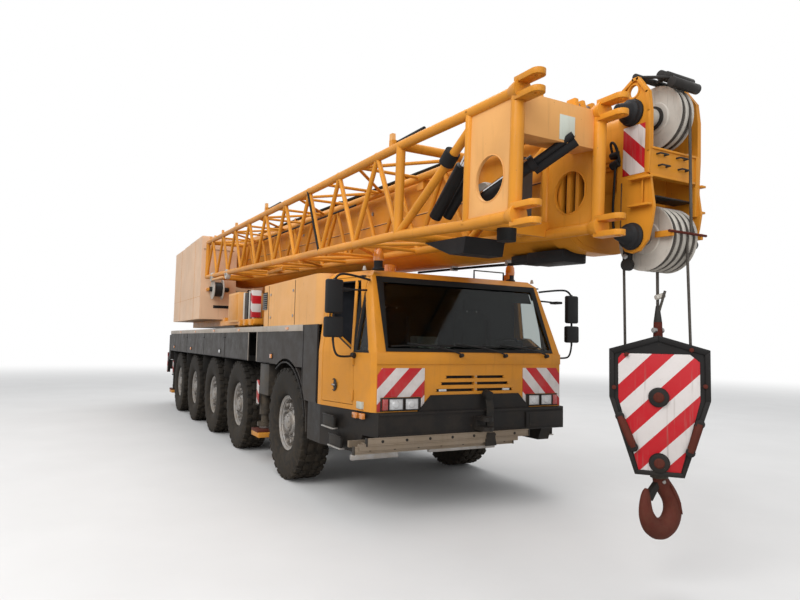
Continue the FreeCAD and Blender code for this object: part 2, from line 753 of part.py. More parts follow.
def tow_jaw(name, at, toward, top):
    """A jaw under a beam: two plates with a pin hole and a web that joins them."""
    x = at + D.hitch_out * toward
    xs = (at, x) if toward > 0 else (x, at)
    web = (at, at + D.hitch_wall) if toward > 0 else (at - D.hitch_wall, at)
    wide = (-D.hitch_r, D.hitch_r)
    low = top - D.hitch_wall * 2 - D.hitch_gap
    pieces = [block(name, web, wide, (low, top))]
    for zs in ((top - D.hitch_wall, top), (low, low + D.hitch_wall)):
        pieces.append(block(name, xs, wide, zs))
        pieces.append(rod(name, "Z", (x, 0), D.hitch_r, zs))
    hole = rod(name, "Z", (x, 0), D.hitch_bore, (low - D.hitch_wall, top + D.hitch_gap))
    return minus(name, joined(name, pieces), [hole])


def carrier_frame():
    tail = TAIL + D.lamp_deep + D.tail_beam
    nose_top = D.cab_floor - D.bumper_plate
    side = [
        (tail, D.spine_low),
        (along(D.deck_front), D.spine_low),
        (along(D.nose_from), D.nose_low),
        (along(D.bumper_front - D.bumper_side), D.nose_low),
        (along(D.bumper_front - D.bumper_side), nose_top),
        (along(D.spine_front), nose_top),
        (along(D.spine_front), D.spine_top),
        (tail, D.spine_top),
    ]
    spine = prism("Spine", "XZ", side, (-D.spine_half, D.spine_half))
    ring_ends = (D.spine_top, D.deck_top)
    pieces = [spine, rod("Turret", "Z", (SLEW_X, 0), D.turret_r, ring_ends)]
    beam_x = (TAIL + D.lamp_deep, tail)
    beam = block("TailBeam", beam_x, (-D.tail_half, D.tail_half), (D.tail_low, D.tail_top))
    pieces.append(beam)
    under = D.deck_top - D.deck_plate
    reach = D.half_width - D.strip_wide
    for x in [DECK_BACK, AXLES[3] + 380, AXLES[1] + 500, behind(D.house_back)] + [AXLES[4]]:
        xs = (x, x + D.cross_wide)
        web = (-D.spine_half, D.spine_half)
        pieces.append(block("Web", xs, web, (D.spine_top, under)))
        pieces.append(block("Cross", xs, (-reach, reach), (D.deck_top - D.strip_high, under)))
    holes = []
    for name, x in outrigger_places():
        xs = (x - D.box_long / 2, x + D.box_long / 2)
        ys = (-D.box_half, D.box_half)
        holes.append(block("BoxHole", xs, ys, (D.box_low, D.box_low + D.box_high)))
    solid = minus("FrameHoled", joined("FrameSolid", pieces), holes)
    jaw = tow_jaw("RearJaw", tail, -1, D.tail_low)
    node("carrier_frame", joined("CarrierFrame", [solid, jaw]))


def outrigger_boxes():
    boxes = []
    for name, x in outrigger_places():
        half = D.box_long / 2
        wall = D.box_wall
        ys = (-D.box_half, D.box_half)
        outer = block("Box", (x - half, x + half), ys, (D.box_low, D.box_low + D.box_high))
        room = block(
            "BoxRoom",
            (x - half + wall, x + half - wall),
            (-D.box_half - wall, D.box_half + wall),
            (D.box_low + wall, D.box_low + D.box_high - wall),
        )
        boxes.append(minus("OutriggerBox", outer, [room]))
    node("outrigger_boxes", gathered("OutriggerBoxes", boxes))


def outriggers():
    for place_name, x in outrigger_places():
        for name, side in LEFT_RIGHT:
            offset = (D.box_long / 2 - D.box_wall - D.beam_clear - D.beam_long / 2) * side
            middle = x - offset
            floor = D.box_low + D.box_wall + D.seat_gap
            top = D.box_low + D.box_high - D.box_wall - D.beam_clear
            half = D.beam_long / 2
            beam = block(
                "Beam",
                (middle - half, middle + half),
                span(side, -D.beam_back, D.jack_y),
                (floor, top),
            )
            at = (middle, D.jack_y * side)
            tube = rod("JackTube", "Z", at, D.jack_r, (D.jack_low, D.jack_top))
            low = D.jack_low - D.jack_r
            bore = rod("JackBore", "Z", at, D.jack_bore + D.fit_gap, (low, D.jack_top - 60))
            solid = minus("OutriggerBeam", joined("BeamSolid", [beam, tube]), [bore])
            node("outrigger_beam_%s_%s" % (place_name, name), solid)
            foot_top = D.foot_low + D.foot_high
            stem = rod("JackRod", "Z", at, D.jack_bore, (foot_top, D.jack_top - 80))
            foot = rod("JackFoot", "Z", at, D.foot_r, (D.foot_low, foot_top))
            node("outrigger_jack_%s_%s" % (place_name, name), joined("Jack", [stem, foot]))


# Deck, skirts and the guards over the wheels

def deck():
    under = D.deck_top - D.deck_plate
    inner = D.half_width - D.strip_wide
    xs = (DECK_BACK, along(D.deck_front))
    pieces = [block("DeckPlate", xs, (-inner, inner), (under, D.deck_top))]
    for name, side in LEFT_RIGHT:
        strip = (D.deck_top - D.strip_high, D.deck_top)
        pieces.append(block("Strip", xs, span(side, inner, D.half_width), strip))
    wide = D.engine_half + D.bay_margin
    bay = block(
        "EngineBay",
        (behind(D.engine_back + D.bay_margin), along(D.engine_front + 60)),
        (-wide, wide),
        (D.skirt_low, D.house_top),
    )
    hole = rod("TurretHole", "Z", (SLEW_X, 0), D.turret_r, (D.skirt_low, D.house_top))
    node("deck", minus("Deck", joined("DeckSolid", pieces), [bay, hole]))


def fenders():
    solids = []
    top = D.deck_top - D.strip_high
    for name, side in LEFT_RIGHT:
        skin = (D.half_width - D.strip_wide) * side
        edge = D.half_width * side
        inner = (D.half_width - D.skirt_flange) * side
        flange = top - D.strip_wide
        profile = [
            (edge, D.skirt_low),
            (edge, top),
            (inner, top),
            (inner, flange),
            (skin, flange),
            (skin, D.skirt_low),
        ]
        rear = (DECK_BACK, behind(D.skirt_gap_back))
        solids.append(prism("RearSkirt", "YZ", profile, rear))
        front = prism("FrontSkirt", "YZ", profile, (behind(D.skirt_gap_front), along(D.deck_front)))
        panel = block(
            "Panel",
            (along(D.deck_front), along(D.panel_front)),
            span(side, D.half_width - D.strip_wide, D.half_width),
            (D.cab_floor, D.deck_top),
        )
        reach = D.arch_r + D.arch_wall
        across = span(side, D.half_width - D.skirt_flange, D.half_width)
        wide = rod("ArchOuter", "Y", (AXLE_1, WHEEL_Z), reach, across)
        past = (across[0] - 50, across[1] + 50)
        room = rod("ArchRoom", "Y", (AXLE_1, WHEEL_Z), D.arch_r, past)
        quarter = block(
            "Quarter",
            (along(D.arch_r / 2), along(D.panel_front)),
            across,
            (WHEEL_Z, D.skirt_low + D.arch_wall),
        )
        guard = shared("Guard", wide, quarter)
        arch = minus("FrontFender", joined("FenderSolid", [front, panel, guard]), [room])
        solids.append(arch)
    node("fenders", gathered("Fenders", solids))


# Engine and its housing behind the cab

def engine_housing():
    back = behind(D.house_back)
    front = along(D.house_front)
    wide = D.half_width
    outline = [(back, -wide), (front, -wide), (front, wide), (back, wide)]
    outer = prism("HousingOuter", "XY", outline, (D.deck_top, D.house_top))

    def front_corner(edge):
        return runs_along(edge, "Z") and edge.CenterOfMass.x > 0

    rounded(outer, D.house_round, front_corner)
    wall = D.house_wall
    room = block(
        "HousingRoom",
        (back + wall, front - D.house_round),
        (-wide + wall, wide - wall),
        (D.deck_top - wall, D.house_top - wall),
    )
    node("engine_housing", minus("EngineHousing", outer, [room]))


def engine_block():
    node(
        "engine_block",
        block(
            "EngineBlock",
            (behind(D.engine_back), along(D.engine_front)),
            (-D.engine_half, D.engine_half),
            (D.spine_top, D.engine_top),
        ),
    )


# Driver's cab: a shell between a rising outline, its doors and glass

def cab_outline(inset, back, shoulder, front, back_y, corner_y, nose_y):
    half = [
        (back + inset, back_y - inset),
        (shoulder, back_y - inset),
        (front - D.cab_corner, corner_y - inset),
        (front - inset, nose_y - inset),
    ]
    return half + [(x, -y) for x, y in reversed(half)]


def cab_form(name, inset):
    """The cab's outer form, drawn in by an inset all round."""
    back = along(D.cab_back)
    shoulder = along(D.cab_shoulder)
    front = along(D.cab_front)
    eave = along(D.eave_front)
    slim = D.roof_inset
    low = cab_outline(inset, back, shoulder, front, D.half_width, D.cab_corner_y, D.cab_nose_y)
    eave_corner = D.eave_front_y + (D.cab_corner_y - D.cab_nose_y)
    high = cab_outline(inset, back, shoulder, eave, D.eave_back_y, eave_corner, D.eave_front_y)
    roof = cab_outline(
        inset,
        back,
        shoulder,
        eave - slim,
        D.eave_back_y - slim,
        eave_corner - slim,
        D.eave_front_y - slim,
    )
    levels = [
        (D.cab_floor + inset, low),
        (D.cab_waist, low),
        (D.cab_eave, high),
        (D.cab_roof - inset, roof),
    ]
    if sized(inset).value > (D.cab_roof - D.cab_eave).value / 2:
        levels = levels[:3]
    stages = []
    for (z0, lower), (z1, upper) in zip(levels, levels[1:]):
        body = new_body(name)
        loft = body.newObject("PartDesign::AdditiveLoft", fresh("Loft"))
        loft.Profile = draw(body, "XY", lower, z0)
        loft.Sections = [draw(body, "XY", upper, z1)]
        loft.Ruled = True
        stages.append(body)
    return joined(name + "Form", stages)


def side_window_outline():
    front = D.door_front - 32
    return [
        (along(D.door_back + 42), D.window_top),
        (along(D.door_back + 42), D.cab_waist + 190),
        (along(D.door_back + 220), D.cab_waist + 180),
        (along(front), D.cab_waist + 25),
        (along(front), D.window_top),
    ]


def quarter_window_outline():
    back = D.door_front + 32
    return [
        (along(back), D.window_top),
        (along(back), D.cab_waist + 12),
        (along(D.cab_front - 105), D.cab_waist + 12),
        (along(D.eave_front + 68), D.window_top),
    ]


def screen_outline(margin):
    return [
        (D.screen_low_y - margin, D.screen_low + margin),
        (D.screen_top_y - margin, D.screen_top - margin),
        (-D.screen_top_y + margin, D.screen_top - margin),
        (-D.screen_low_y + margin, D.screen_low + margin),
    ]


def door_space(side, gap):
    return block(
        "DoorSpace",
        (along(D.door_back + gap), along(D.door_front - gap)),
        span(side, D.eave_front_y - 200, D.half_width + 100),
        (D.door_low + gap, D.door_top - gap),
    )


def front_slots():
    """Rows of grille slots, each in two halves, wider below."""
    slots = []
    ahead = (along(D.cab_front - D.cab_wall * 3), along(D.cab_front + D.cab_wall))
    for row in range(int(D.slot_rows.value)):
        low = D.cab_floor + D.slot_low + D.slot_pitch * row
        half = D.slot_half - D.slot_step * row
        for name, side in LEFT_RIGHT:
            ys = span(side, D.slot_post, half)
            slots.append(block("Slot", ahead, ys, (low, low + D.slot_high)))
    return slots


def bumper_rise(gap):
    points = [
        (D.rise_low_y + gap, D.cab_floor - D.bumper_plate),
        (D.rise_top_y + gap, D.rise_top + gap),
        (-D.rise_top_y - gap, D.rise_top + gap),
        (-D.rise_low_y - gap, D.cab_floor - D.bumper_plate),
    ]
    xs = (along(D.cab_front - D.cab_wall), along(D.cab_front + D.cab_wall / 2))
    return prism("BumperRise", "YZ", points, xs)


def door_hinges(side, room):
    """Hinge barrels on the door's front edge, or with room round them their pockets."""
    x = along(D.door_front - D.door_gap)
    at = (x, side_skin(x, D.cab_waist) * side)
    low = D.door_low + D.hinge_low
    high = D.cab_waist - D.hinge_high
    barrels = []
    for z0, z1 in ((low, low + D.hinge_long), (high - D.hinge_long, high)):
        barrels.append(rod("Hinge", "Z", at, D.hinge_r + room, (z0 - room, z1 + room)))
    return barrels


def cab():
    outer = cab_form("CabOuter", 0)
    inner = cab_form("CabInner", D.cab_wall)
    shell = minus("CabWalls", outer, [inner])
    glass_out = cab_form("GlassOuter", D.glass_depth)
    glass_in = cab_form("GlassInner", D.glass_depth + D.glass_wall)
    skin = minus("GlassSkin", glass_out, [glass_in])
    ahead = (along(D.eave_front - 160), along(D.cab_front + 60))
    cuts = [prism("Screen", "YZ", screen_outline(0), ahead)]
    panes = [prism("ScreenPane", "YZ", screen_outline(D.seat_gap), ahead)]
    for name, side in LEFT_RIGHT:
        reach = span(side, D.eave_front_y - 200, D.half_width + 100)
        cuts.append(door_space(side, 0))
        cuts.append(prism("Quarter", "XZ", quarter_window_outline(), reach))
        panes.append(prism("QuarterPane", "XZ", quarter_window_outline(), reach))
        leaf = shared("Leaf", shell, door_space(side, D.door_gap))
        window = prism("DoorWindow", "XZ", side_window_outline(), reach)
        hung = joined("DoorHung", [minus("DoorLeaf", leaf, [window])] + door_hinges(side, 0))
        node("cab_door_%s" % name, hung)
        cuts += door_hinges(side, D.door_gap)
    cuts.append(bumper_rise(sized(0)))
    node("cab_shell", minus("CabShell", shell, cuts + front_slots()))
    node("cab_glass", shared("CabGlass", skin, joined("Panes", panes)))


def front_bumper():
    front = along(D.bumper_front)
    back = along(D.bumper_back)
    profile = [
        (back, D.step_low),
        (along(D.cab_front - 260), D.step_low),
        (along(D.cab_front - 180), D.bumper_low),
        (front, D.bumper_low),
        (front, D.cab_floor),
        (back, D.cab_floor),
    ]
    plan = [
        (back, D.half_width),
        (along(D.cab_shoulder), D.half_width),
        (front, D.cab_nose_y),
        (front, -D.cab_nose_y),
        (along(D.cab_shoulder), -D.half_width),
        (back, -D.half_width),
    ]
    wide = (-D.half_width, D.half_width)
    high = (D.step_low, D.cab_floor)
    form = shared("BumperForm", prism("Side", "XZ", profile, wide), prism("Plan", "XY", plan, high))
    side = D.cab_nose_y - D.bumper_side
    room = block(
        "BumperRoom",
        (back - 10, front - D.bumper_side),
        (-side, side),
        (D.step_low - 10, D.cab_floor - D.bumper_plate),
    )
    past = (-D.half_width - 10, D.half_width + 10)
    arch = rod("BumperArch", "Y", (AXLE_1, WHEEL_Z), D.arch_r + D.arch_wall, past)
    solid = minus("BumperSolid", form, [room, arch])
    jaw = tow_jaw("FrontJaw", front, 1, D.cab_floor - D.hitch_r)
    node("front_bumper", joined("FrontBumper", [solid, bumper_rise(sized(0)), jaw]))


# Slewing platform, counterweight, winch and operator's cab

def boom_frame():
    """Placement of all boom pieces: tipped about the foot pin."""
    tip = FreeCAD.Rotation(V(0, 1, 0), D.boom_droop.value)
    return FreeCAD.Placement(V(FOOT_X.value, 0, FOOT_Z.value), tip)


def on_boom(item):
    """Puts a piece that is drawn along the boom where the boom is."""
    tip = FreeCAD.Rotation(V(0, 1, 0), D.boom_droop.value)
    before = item.Placement
    item.Placement = FreeCAD.Placement(V(0, 0, 0), tip).multiply(before)
    bind(item, Placement__Base__x=FOOT_X, Placement__Base__y=0, Placement__Base__z=FOOT_Z)
    return item


def slew_platform():
    gap = D.seat_gap
    ring_low = D.deck_top + gap
    plate_low = D.deck_top + D.slew_high
    pieces = [rod("SlewRing", "Z", (SLEW_X, 0), D.slew_r, (ring_low, plate_low))]
    half = D.platform_half
    plan = [
        (behind(D.platform_back), -half),
        (behind(D.platform_front + 900), -half),
        (behind(D.platform_front), -half / 2),
        (behind(D.op_front), half / 2),
        (behind(D.op_front), D.op_outer),
        (behind(D.op_back), D.op_outer),
        (behind(D.op_back + 300), half),
        (behind(D.platform_back), half),
    ]
    pieces.append(prism("Platform", "XY", plan, (plate_low, D.platform_top)))
    foot = FOOT_X
    cheek = [
        (foot - 700, D.platform_top),
        (foot + 1500, D.platform_top),
        (foot + 260, FOOT_Z + 120),
        (foot + 120, FOOT_Z + 260),
        (foot - 120, FOOT_Z + 260),
        (foot - 260, FOOT_Z + 120),
    ]
    lug = [
        (behind(D.lift_foot_x + 220), D.platform_top),
        (behind(D.lift_foot_x - 220), D.platform_top),
        (behind(D.lift_foot_x - 90), D.lift_foot_z + 90),
        (behind(D.lift_foot_x + 90), D.lift_foot_z + 90),
    ]
    winch = [
        (behind(D.drum_x + 200), D.platform_top),
        (behind(D.drum_x - 300), D.platform_top),
        (behind(D.drum_x - 90), D.drum_z + 90),
        (behind(D.drum_x + 90), D.drum_z + 90),
    ]
    lug_in = D.lift_eye_half + gap
    stand_in = D.drum_half + D.drum_flange + 5
    for name, side in LEFT_RIGHT:
        ends = span(side, D.cheek_in, D.cheek_in + D.cheek_wall)
        pieces.append(prism("Cheek", "XZ", cheek, ends))
        pieces.append(prism("LiftLug", "XZ", lug, span(side, lug_in, lug_in + D.lug_wall)))
        pieces.append(prism("WinchStand", "XZ", winch, span(side, stand_in, stand_in + D.lug_wall)))
    reach = lug_in + D.lug_wall
    lift = (behind(D.lift_foot_x), D.lift_foot_z)
    pieces.append(rod("LiftPin", "Y", lift, D.lift_pin_r, (-reach, reach)))
    past = D.cheek_in + D.cheek_wall * 2
    bore = rod("FootBore", "Y", (FOOT_X, FOOT_Z), D.foot_pin_r + D.fit_gap, (-past, past))
    drum = (behind(D.drum_x), D.drum_z)
    drum_bore = rod("DrumBore", "Y", drum, D.drum_pin_r + D.fit_gap, (-past, past))
    solid = joined("PlatformSolid", pieces)
    node("slew_platform", minus("SlewPlatform", solid, [bore, drum_bore]))


def counterweight():
    front = behind(D.ballast_front)
    back = behind(D.ballast_back)
    wall = back + D.ballast_wall
    wide = D.half_width
    slot = D.ballast_slot
    plan = [
        (back, -wide),
        (front, -wide),
        (front, -slot),
        (wall, -slot),
        (wall, slot),
        (front, slot),
        (front, wide),
        (back, wide),
    ]
    body = prism("Ballast", "XY", plan, (D.platform_top, D.ballast_top))
    locker = block(
        "Locker",
        (back - D.locker_long, back),
        (-D.locker_half, D.locker_half),
        (D.locker_low, D.locker_top),
    )
    node("counterweight", joined("Counterweight", [body, locker]))


def winch_drum():
    half = D.drum_half
    cap = half + D.drum_flange
    end = cap + 5 + D.lug_wall
    right = [
        (D.drum_r, half),
        (D.drum_flange_r, half),
        (D.drum_flange_r, cap),
        (D.drum_pin_r, cap),
        (D.drum_pin_r, end),
        (0, end),
    ]
    left = [(radius, -y) for radius, y in reversed(right)]
    node("winch_drum", place(turned("WinchDrum", right + left), behind(D.drum_x), 0, D.drum_z))


def operator_cab():
    back = behind(D.op_back)
    front = behind(D.op_front)

    def side(inset):
        return [
            (back + inset, D.platform_top + inset),
            (front - inset, D.platform_top + inset),
            (front - inset, D.platform_top + 700),
            (front - D.op_slope - inset, D.op_top - inset),
            (back + inset, D.op_top - inset),
        ]

    def form(name, inset):
        return prism(name, "XZ", side(sized(inset)), (D.op_inner + inset, D.op_outer - inset))

    walls = minus("OperatorWalls", form("OperatorOuter", 0), [form("OperatorInner", D.op_wall)])
    margin = 90
    pane = [
        (back + margin, D.platform_top + 620),
        (front - margin - 30, D.platform_top + 620),
        (front - D.op_slope - margin, D.op_top - margin),
        (back + margin, D.op_top - margin),
    ]
    sides = prism("OperatorSide", "XZ", pane, (D.op_inner - 50, D.op_outer + 50))
    ahead = block(
        "OperatorAhead",
        (front - D.op_slope - margin, front + 50),
        (D.op_inner + margin, D.op_outer - margin),
        (D.platform_top + 120, D.op_top - margin),
    )
    node("operator_cab", minus("OperatorCab", walls, [sides, ahead]))
    skin_out = form("OperatorSkinOut", 12)
    skin_in = form("OperatorSkinIn", 20)
    skin = minus("OperatorSkin", skin_out, [skin_in])
    node("operator_glass", shared("OperatorGlass", skin, joined("OperatorPanes", [sides, ahead])))


# Luffing cylinder, laid along its own line and then tipped

def lift_line():
    """Foot, rod eye and closed length of the luffing cylinder."""
    foot = V(behind(D.lift_foot_x).value, 0, D.lift_foot_z.value)
    eye = boom_frame().multVec(V(D.lift_u.value, 0, -D.lift_w.value))
    run = eye - foot
    return foot, run, math.degrees(math.atan2(run.z, run.x))


def luffing_cylinder():
    foot, run, angle = lift_line()
    dx = FOOT_X + D.lift_u * COS - D.lift_w * SIN - behind(D.lift_foot_x)
    dz = FOOT_Z - D.lift_u * SIN - D.lift_w * COS - D.lift_foot_z
    length = Size(run.Length, "sqrt(%s ^ 2 + %s ^ 2)" % (dx.text, dz.text))
    tip = FreeCAD.Placement(foot, FreeCAD.Rotation(V(0, -1, 0), angle))
    half = D.lift_eye_half
    end = length - D.barrel_short
    eye = rod("FootEye", "Y", (0, 0), D.lift_eye_r, (-half, half))
    neck = rod("BarrelNeck", "X", (0, 0), D.neck_r, (D.lift_eye_r / 2, D.barrel_from * 1.1))
    tube = rod("Barrel", "X", (0, 0), D.barrel_r, (D.barrel_from, end))
    start = length - D.rod_long
    bore = rod("RodBore", "X", (0, 0), D.rod_r + D.fit_gap, (start - 60, end + 60))
    pin_hole = rod("PinHole", "Y", (0, 0), D.lift_pin_r + D.fit_gap, (-half * 2, half * 2))
    barrel = minus("LuffBarrel", joined("BarrelSolid", [eye, neck, tube]), [bore, pin_hole])
    stem = rod("Stem", "X", (0, 0), D.rod_r, (start, length - D.lift_eye_r / 2))
    rod_eye = rod("RodEye", "Y", (length, 0), D.lift_eye_r, (-half, half))
    ram = joined("LuffRod", [stem, rod_eye])
    for label, item in (("luff_barrel", barrel), ("luff_rod", ram)):
        item.Placement = tip
        node(label, item)


# Boom sections, nested, and what the base carries

def tube(name, u0, u1, half, low, top, upper, lower):
    """A boom section's solid form: flat sides, rounded shoulders and a round belly."""
    outline = [(-half, -low), (half, -low), (half, top), (-half, top)]
    body = prism(name, "YZ", outline, (u0, u1))
    middle = (top.value - low.value) / 2

    def above(edge):
        return runs_along(edge, "X") and edge.CenterOfMass.z > middle

    def below(edge):
        return runs_along(edge, "X") and edge.CenterOfMass.z < middle

    rounded(body, upper, above)
    rounded(body, lower, below)
    return body


def section(name, u0, u1, half, low, top, upper, lower, wall):
    """A boom section's outside and the room inside it."""
    outer = tube(name, u0, u1, half, low, top, upper, lower)
    room = tube(
        name + "Room",
        u0 - wall,
        u1 + wall,
        half - wall,
        low - wall,
        top - wall,
        upper - wall,
        lower - wall,
    )
    return outer, room


def shoes(name, u, outer_low, inner_low, outer_top, inner_top):
    """Slide shoes that fill the room between two sections, above and below."""
    us = (u, u + D.shoe_long)
    ys = (-D.shoe_half, D.shoe_half)
    grip = D.tele_wall / 2
    low = block(name, us, ys, (-outer_low + D.seat_gap, -inner_low + grip))
    high = block(name, us, ys, (inner_top - grip, outer_top - D.seat_gap))
    return [low, high]


def boom_base():
    outer, room = section(
        "Base",
        -D.base_back,
        D.base_long,
        D.base_half,
        D.base_low,
        D.base_top,
        D.base_round,
        D.base_belly,
        D.base_wall,
    )
    collar = tube(
        "BaseCollar",
        D.base_long - D.collar_long,
        D.base_long,
        D.base_half + D.collar_proud,
        D.base_low + D.collar_proud,
        D.base_top + D.collar_proud,
        D.base_round,
        D.base_belly,
    )
    gap = D.lift_eye_half + D.lift_play
    root = D.lift_eye_r * 2.8
    lug = [
        (D.lift_u - root, -D.base_low + D.base_wall / 2),
        (D.lift_u - D.lift_eye_r, -D.lift_w - D.lift_eye_r),
        (D.lift_u + D.lift_eye_r, -D.lift_w - D.lift_eye_r),
        (D.lift_u + root, -D.base_low + D.base_wall / 2),
    ]
    pieces = [outer, collar]
    for name, side in LEFT_RIGHT:
        pieces.append(prism("BoomLug", "XZ", lug, span(side, gap, gap + D.lug_wall)))
    reach = gap + D.lug_wall
    eye = (D.lift_u, -D.lift_w)
    solid = minus("BaseHollow", joined("BaseSolid", pieces), [room])
    pin_end = D.cheek_in + D.cheek_wall
    pins = [rod("FootPin", "Y", (0, 0), D.foot_pin_r, (-pin_end, pin_end))]
    for name, side in LEFT_RIGHT:
        cap = span(side, gap, reach + D.lug_wall)
        pins.append(rod("LiftPinEnd", "Y", eye, D.lift_pin_r, cap))
        boss = span(side, D.base_half - D.base_wall, D.cheek_in - D.seat_gap)
        pins.append(rod("FootBoss", "Y", (0, 0), D.foot_pin_r * 2, boss))
    node("boom_base", on_boom(joined("BoomBase", [solid] + pins)))


def sheave_slot():
    """Room for the upper head sheaves in the telescope's end and the plate that closes it."""
    reach = D.top_sheave_r + D.sheave_room
    half = D.sheave_pitch * D.top_sheaves / 2 + D.sheave_room
    return block(
        "SheaveSlot",
        (TOP_AXLE - reach, TELE_2_END + D.head_back * 2),
        (D.top_sheave_y - half, D.top_sheave_y + half),
        (D.top_axle_w - reach, D.tele2_top + D.head_back),
    )


def boom_telescopes():
    base_low = D.base_low - D.base_wall
    base_top = D.base_top - D.base_wall
    one_low = D.tele1_low - D.tele_wall
    one_top = D.tele1_top - D.tele_wall
    outer, room = section(
        "TeleOne",
        D.tele1_from,
        TELE_1_END,
        D.tele1_half,
        D.tele1_low,
        D.tele1_top,
        D.tele1_round,
        D.tele1_belly,
        D.tele_wall,
    )
    slides = shoes("ShoeOne", D.tele1_from, base_low, D.tele1_low, base_top, D.tele1_top)
    solid = joined("TeleOneSolid", [outer] + slides)
    node("boom_tele_1", on_boom(minus("BoomTeleOne", solid, [room])))
    outer, room = section(
        "TeleTwo",
        D.tele2_from,
        TELE_2_END,
        D.tele2_half,
        D.tele2_low,
        D.tele2_top,
        D.tele2_round,
        D.tele2_belly,
        D.tele_wall,
    )
    slides = shoes("ShoeTwo", D.tele2_from, one_low, D.tele2_low, one_top, D.tele2_top)
    solid = joined("TeleTwoSolid", [outer] + slides)
    node("boom_tele_2", on_boom(minus("BoomTeleTwo", solid, [room, sheave_slot()])))


# Outline of a head plate: places ahead of the telescope's end and above the boom's line
HEAD_LOWER = (
    (40, -290),
    (100, -372),
    (160, -390),
    (230, -376),
    (300, -300),
    (330, -180),
    (346, -71),
    (308, 150),
    (312, 330),
    (306, 620),
    (284, 768),
    (190, 894),
    (140, 894),
    (32, 827),
    (9, 690),
)
HEAD_HOLE = (143, 802, 44)
HEAD_BOX = ((262, 308), (150, 360))


def boom_head():
    gusset = -D.head_lap
    plate = [(TELE_2_END + u, sized(w)) for u, w in HEAD_LOWER]
    plate += [
        (TELE_2_END + 9, D.tele2_low),
        (TELE_2_END + gusset, D.tele2_low),
        (TELE_2_END + gusset, -D.tele2_low),
    ]
    inner = D.head_y
    reach = inner + D.head_wall
    past = reach + D.head_wall
    plates = []
    for name, side in LEFT_RIGHT:
        plates.append(prism("HeadPlate", "XZ", plate, span(side, inner, reach)))
    u, w, radius = HEAD_HOLE
    eye = rod("HeadHole", "Y", (TELE_2_END + u, w), sized(radius), (-past, past))
    low = (LOW_AXLE, -D.low_axle_w)
    top = (TOP_AXLE, D.top_axle_w)
    wall = (-inner, inner)
    back_u = (TELE_2_END, TELE_2_END + D.head_back)
    back_w = (D.head_back - D.tele2_low, D.tele2_top)
    us, ws = HEAD_BOX
    pieces = [
        minus("HeadPlates", joined("HeadSides", plates), [eye]),
        rod("LowPin", "Y", low, D.sheave_pin_r, (-reach, reach)),
        rod("TopPin", "Y", top, D.sheave_pin_r, (-reach, reach)),
        minus("HeadBack", block("BackPlate", back_u, wall, back_w), [sheave_slot()]),
        block("HeadFront", [TELE_2_END + u for u in us], wall, ws),
    ]
    node("boom_head", on_boom(joined("BoomHead", pieces)))


def grooved(name, radius, count, bore):
    """A row of sheaves on one hub, each with a groove for the rope."""
    pitch = D.sheave_pitch
    start = pitch * (-count / 2)
    floor = radius - D.groove_deep
    points = [(bore, start), (radius, start)]
    for index in range(count):
        left = start + pitch * index
        right = left + pitch
        points += [
            (radius, left + D.rim_flat),
            (floor, left + pitch / 2 - D.rope_r),
            (floor, left + pitch / 2 + D.rope_r),
            (radius, right - D.rim_flat),
        ]
        if index < count - 1:
            points.append((radius * 0.45, right - D.rim_flat / 2))
    points += [(radius, -start), (bore, -start)]
    return turned(name, points)


def head_sheaves():
    bore = D.sheave_pin_r + D.fit_gap
    rows = [  # name, radius, count, u, w, y
        ("head_sheaves_lower", D.low_sheave_r, D.low_sheaves, LOW_AXLE, -D.low_axle_w, 0),
        ("head_sheaves_upper", D.top_sheave_r, D.top_sheaves, TOP_AXLE, D.top_axle_w, D.top_sheave_y),
    ]
    for name, radius, count, u, w, y in rows:
        body = grooved(name, radius, int(count.value), bore)
        tip = FreeCAD.Rotation(V(0, 1, 0), D.boom_droop.value)
        x = FOOT_X + u * COS + w * SIN
        z = FOOT_Z - u * SIN + w * COS
        node(name, place(body, x, y, z, tip))


# Lattice jib stowed beside the boom

def bar(start, end, radius):
    run = end - start
    return Part.makeCylinder(radius, run.Length, start, run)


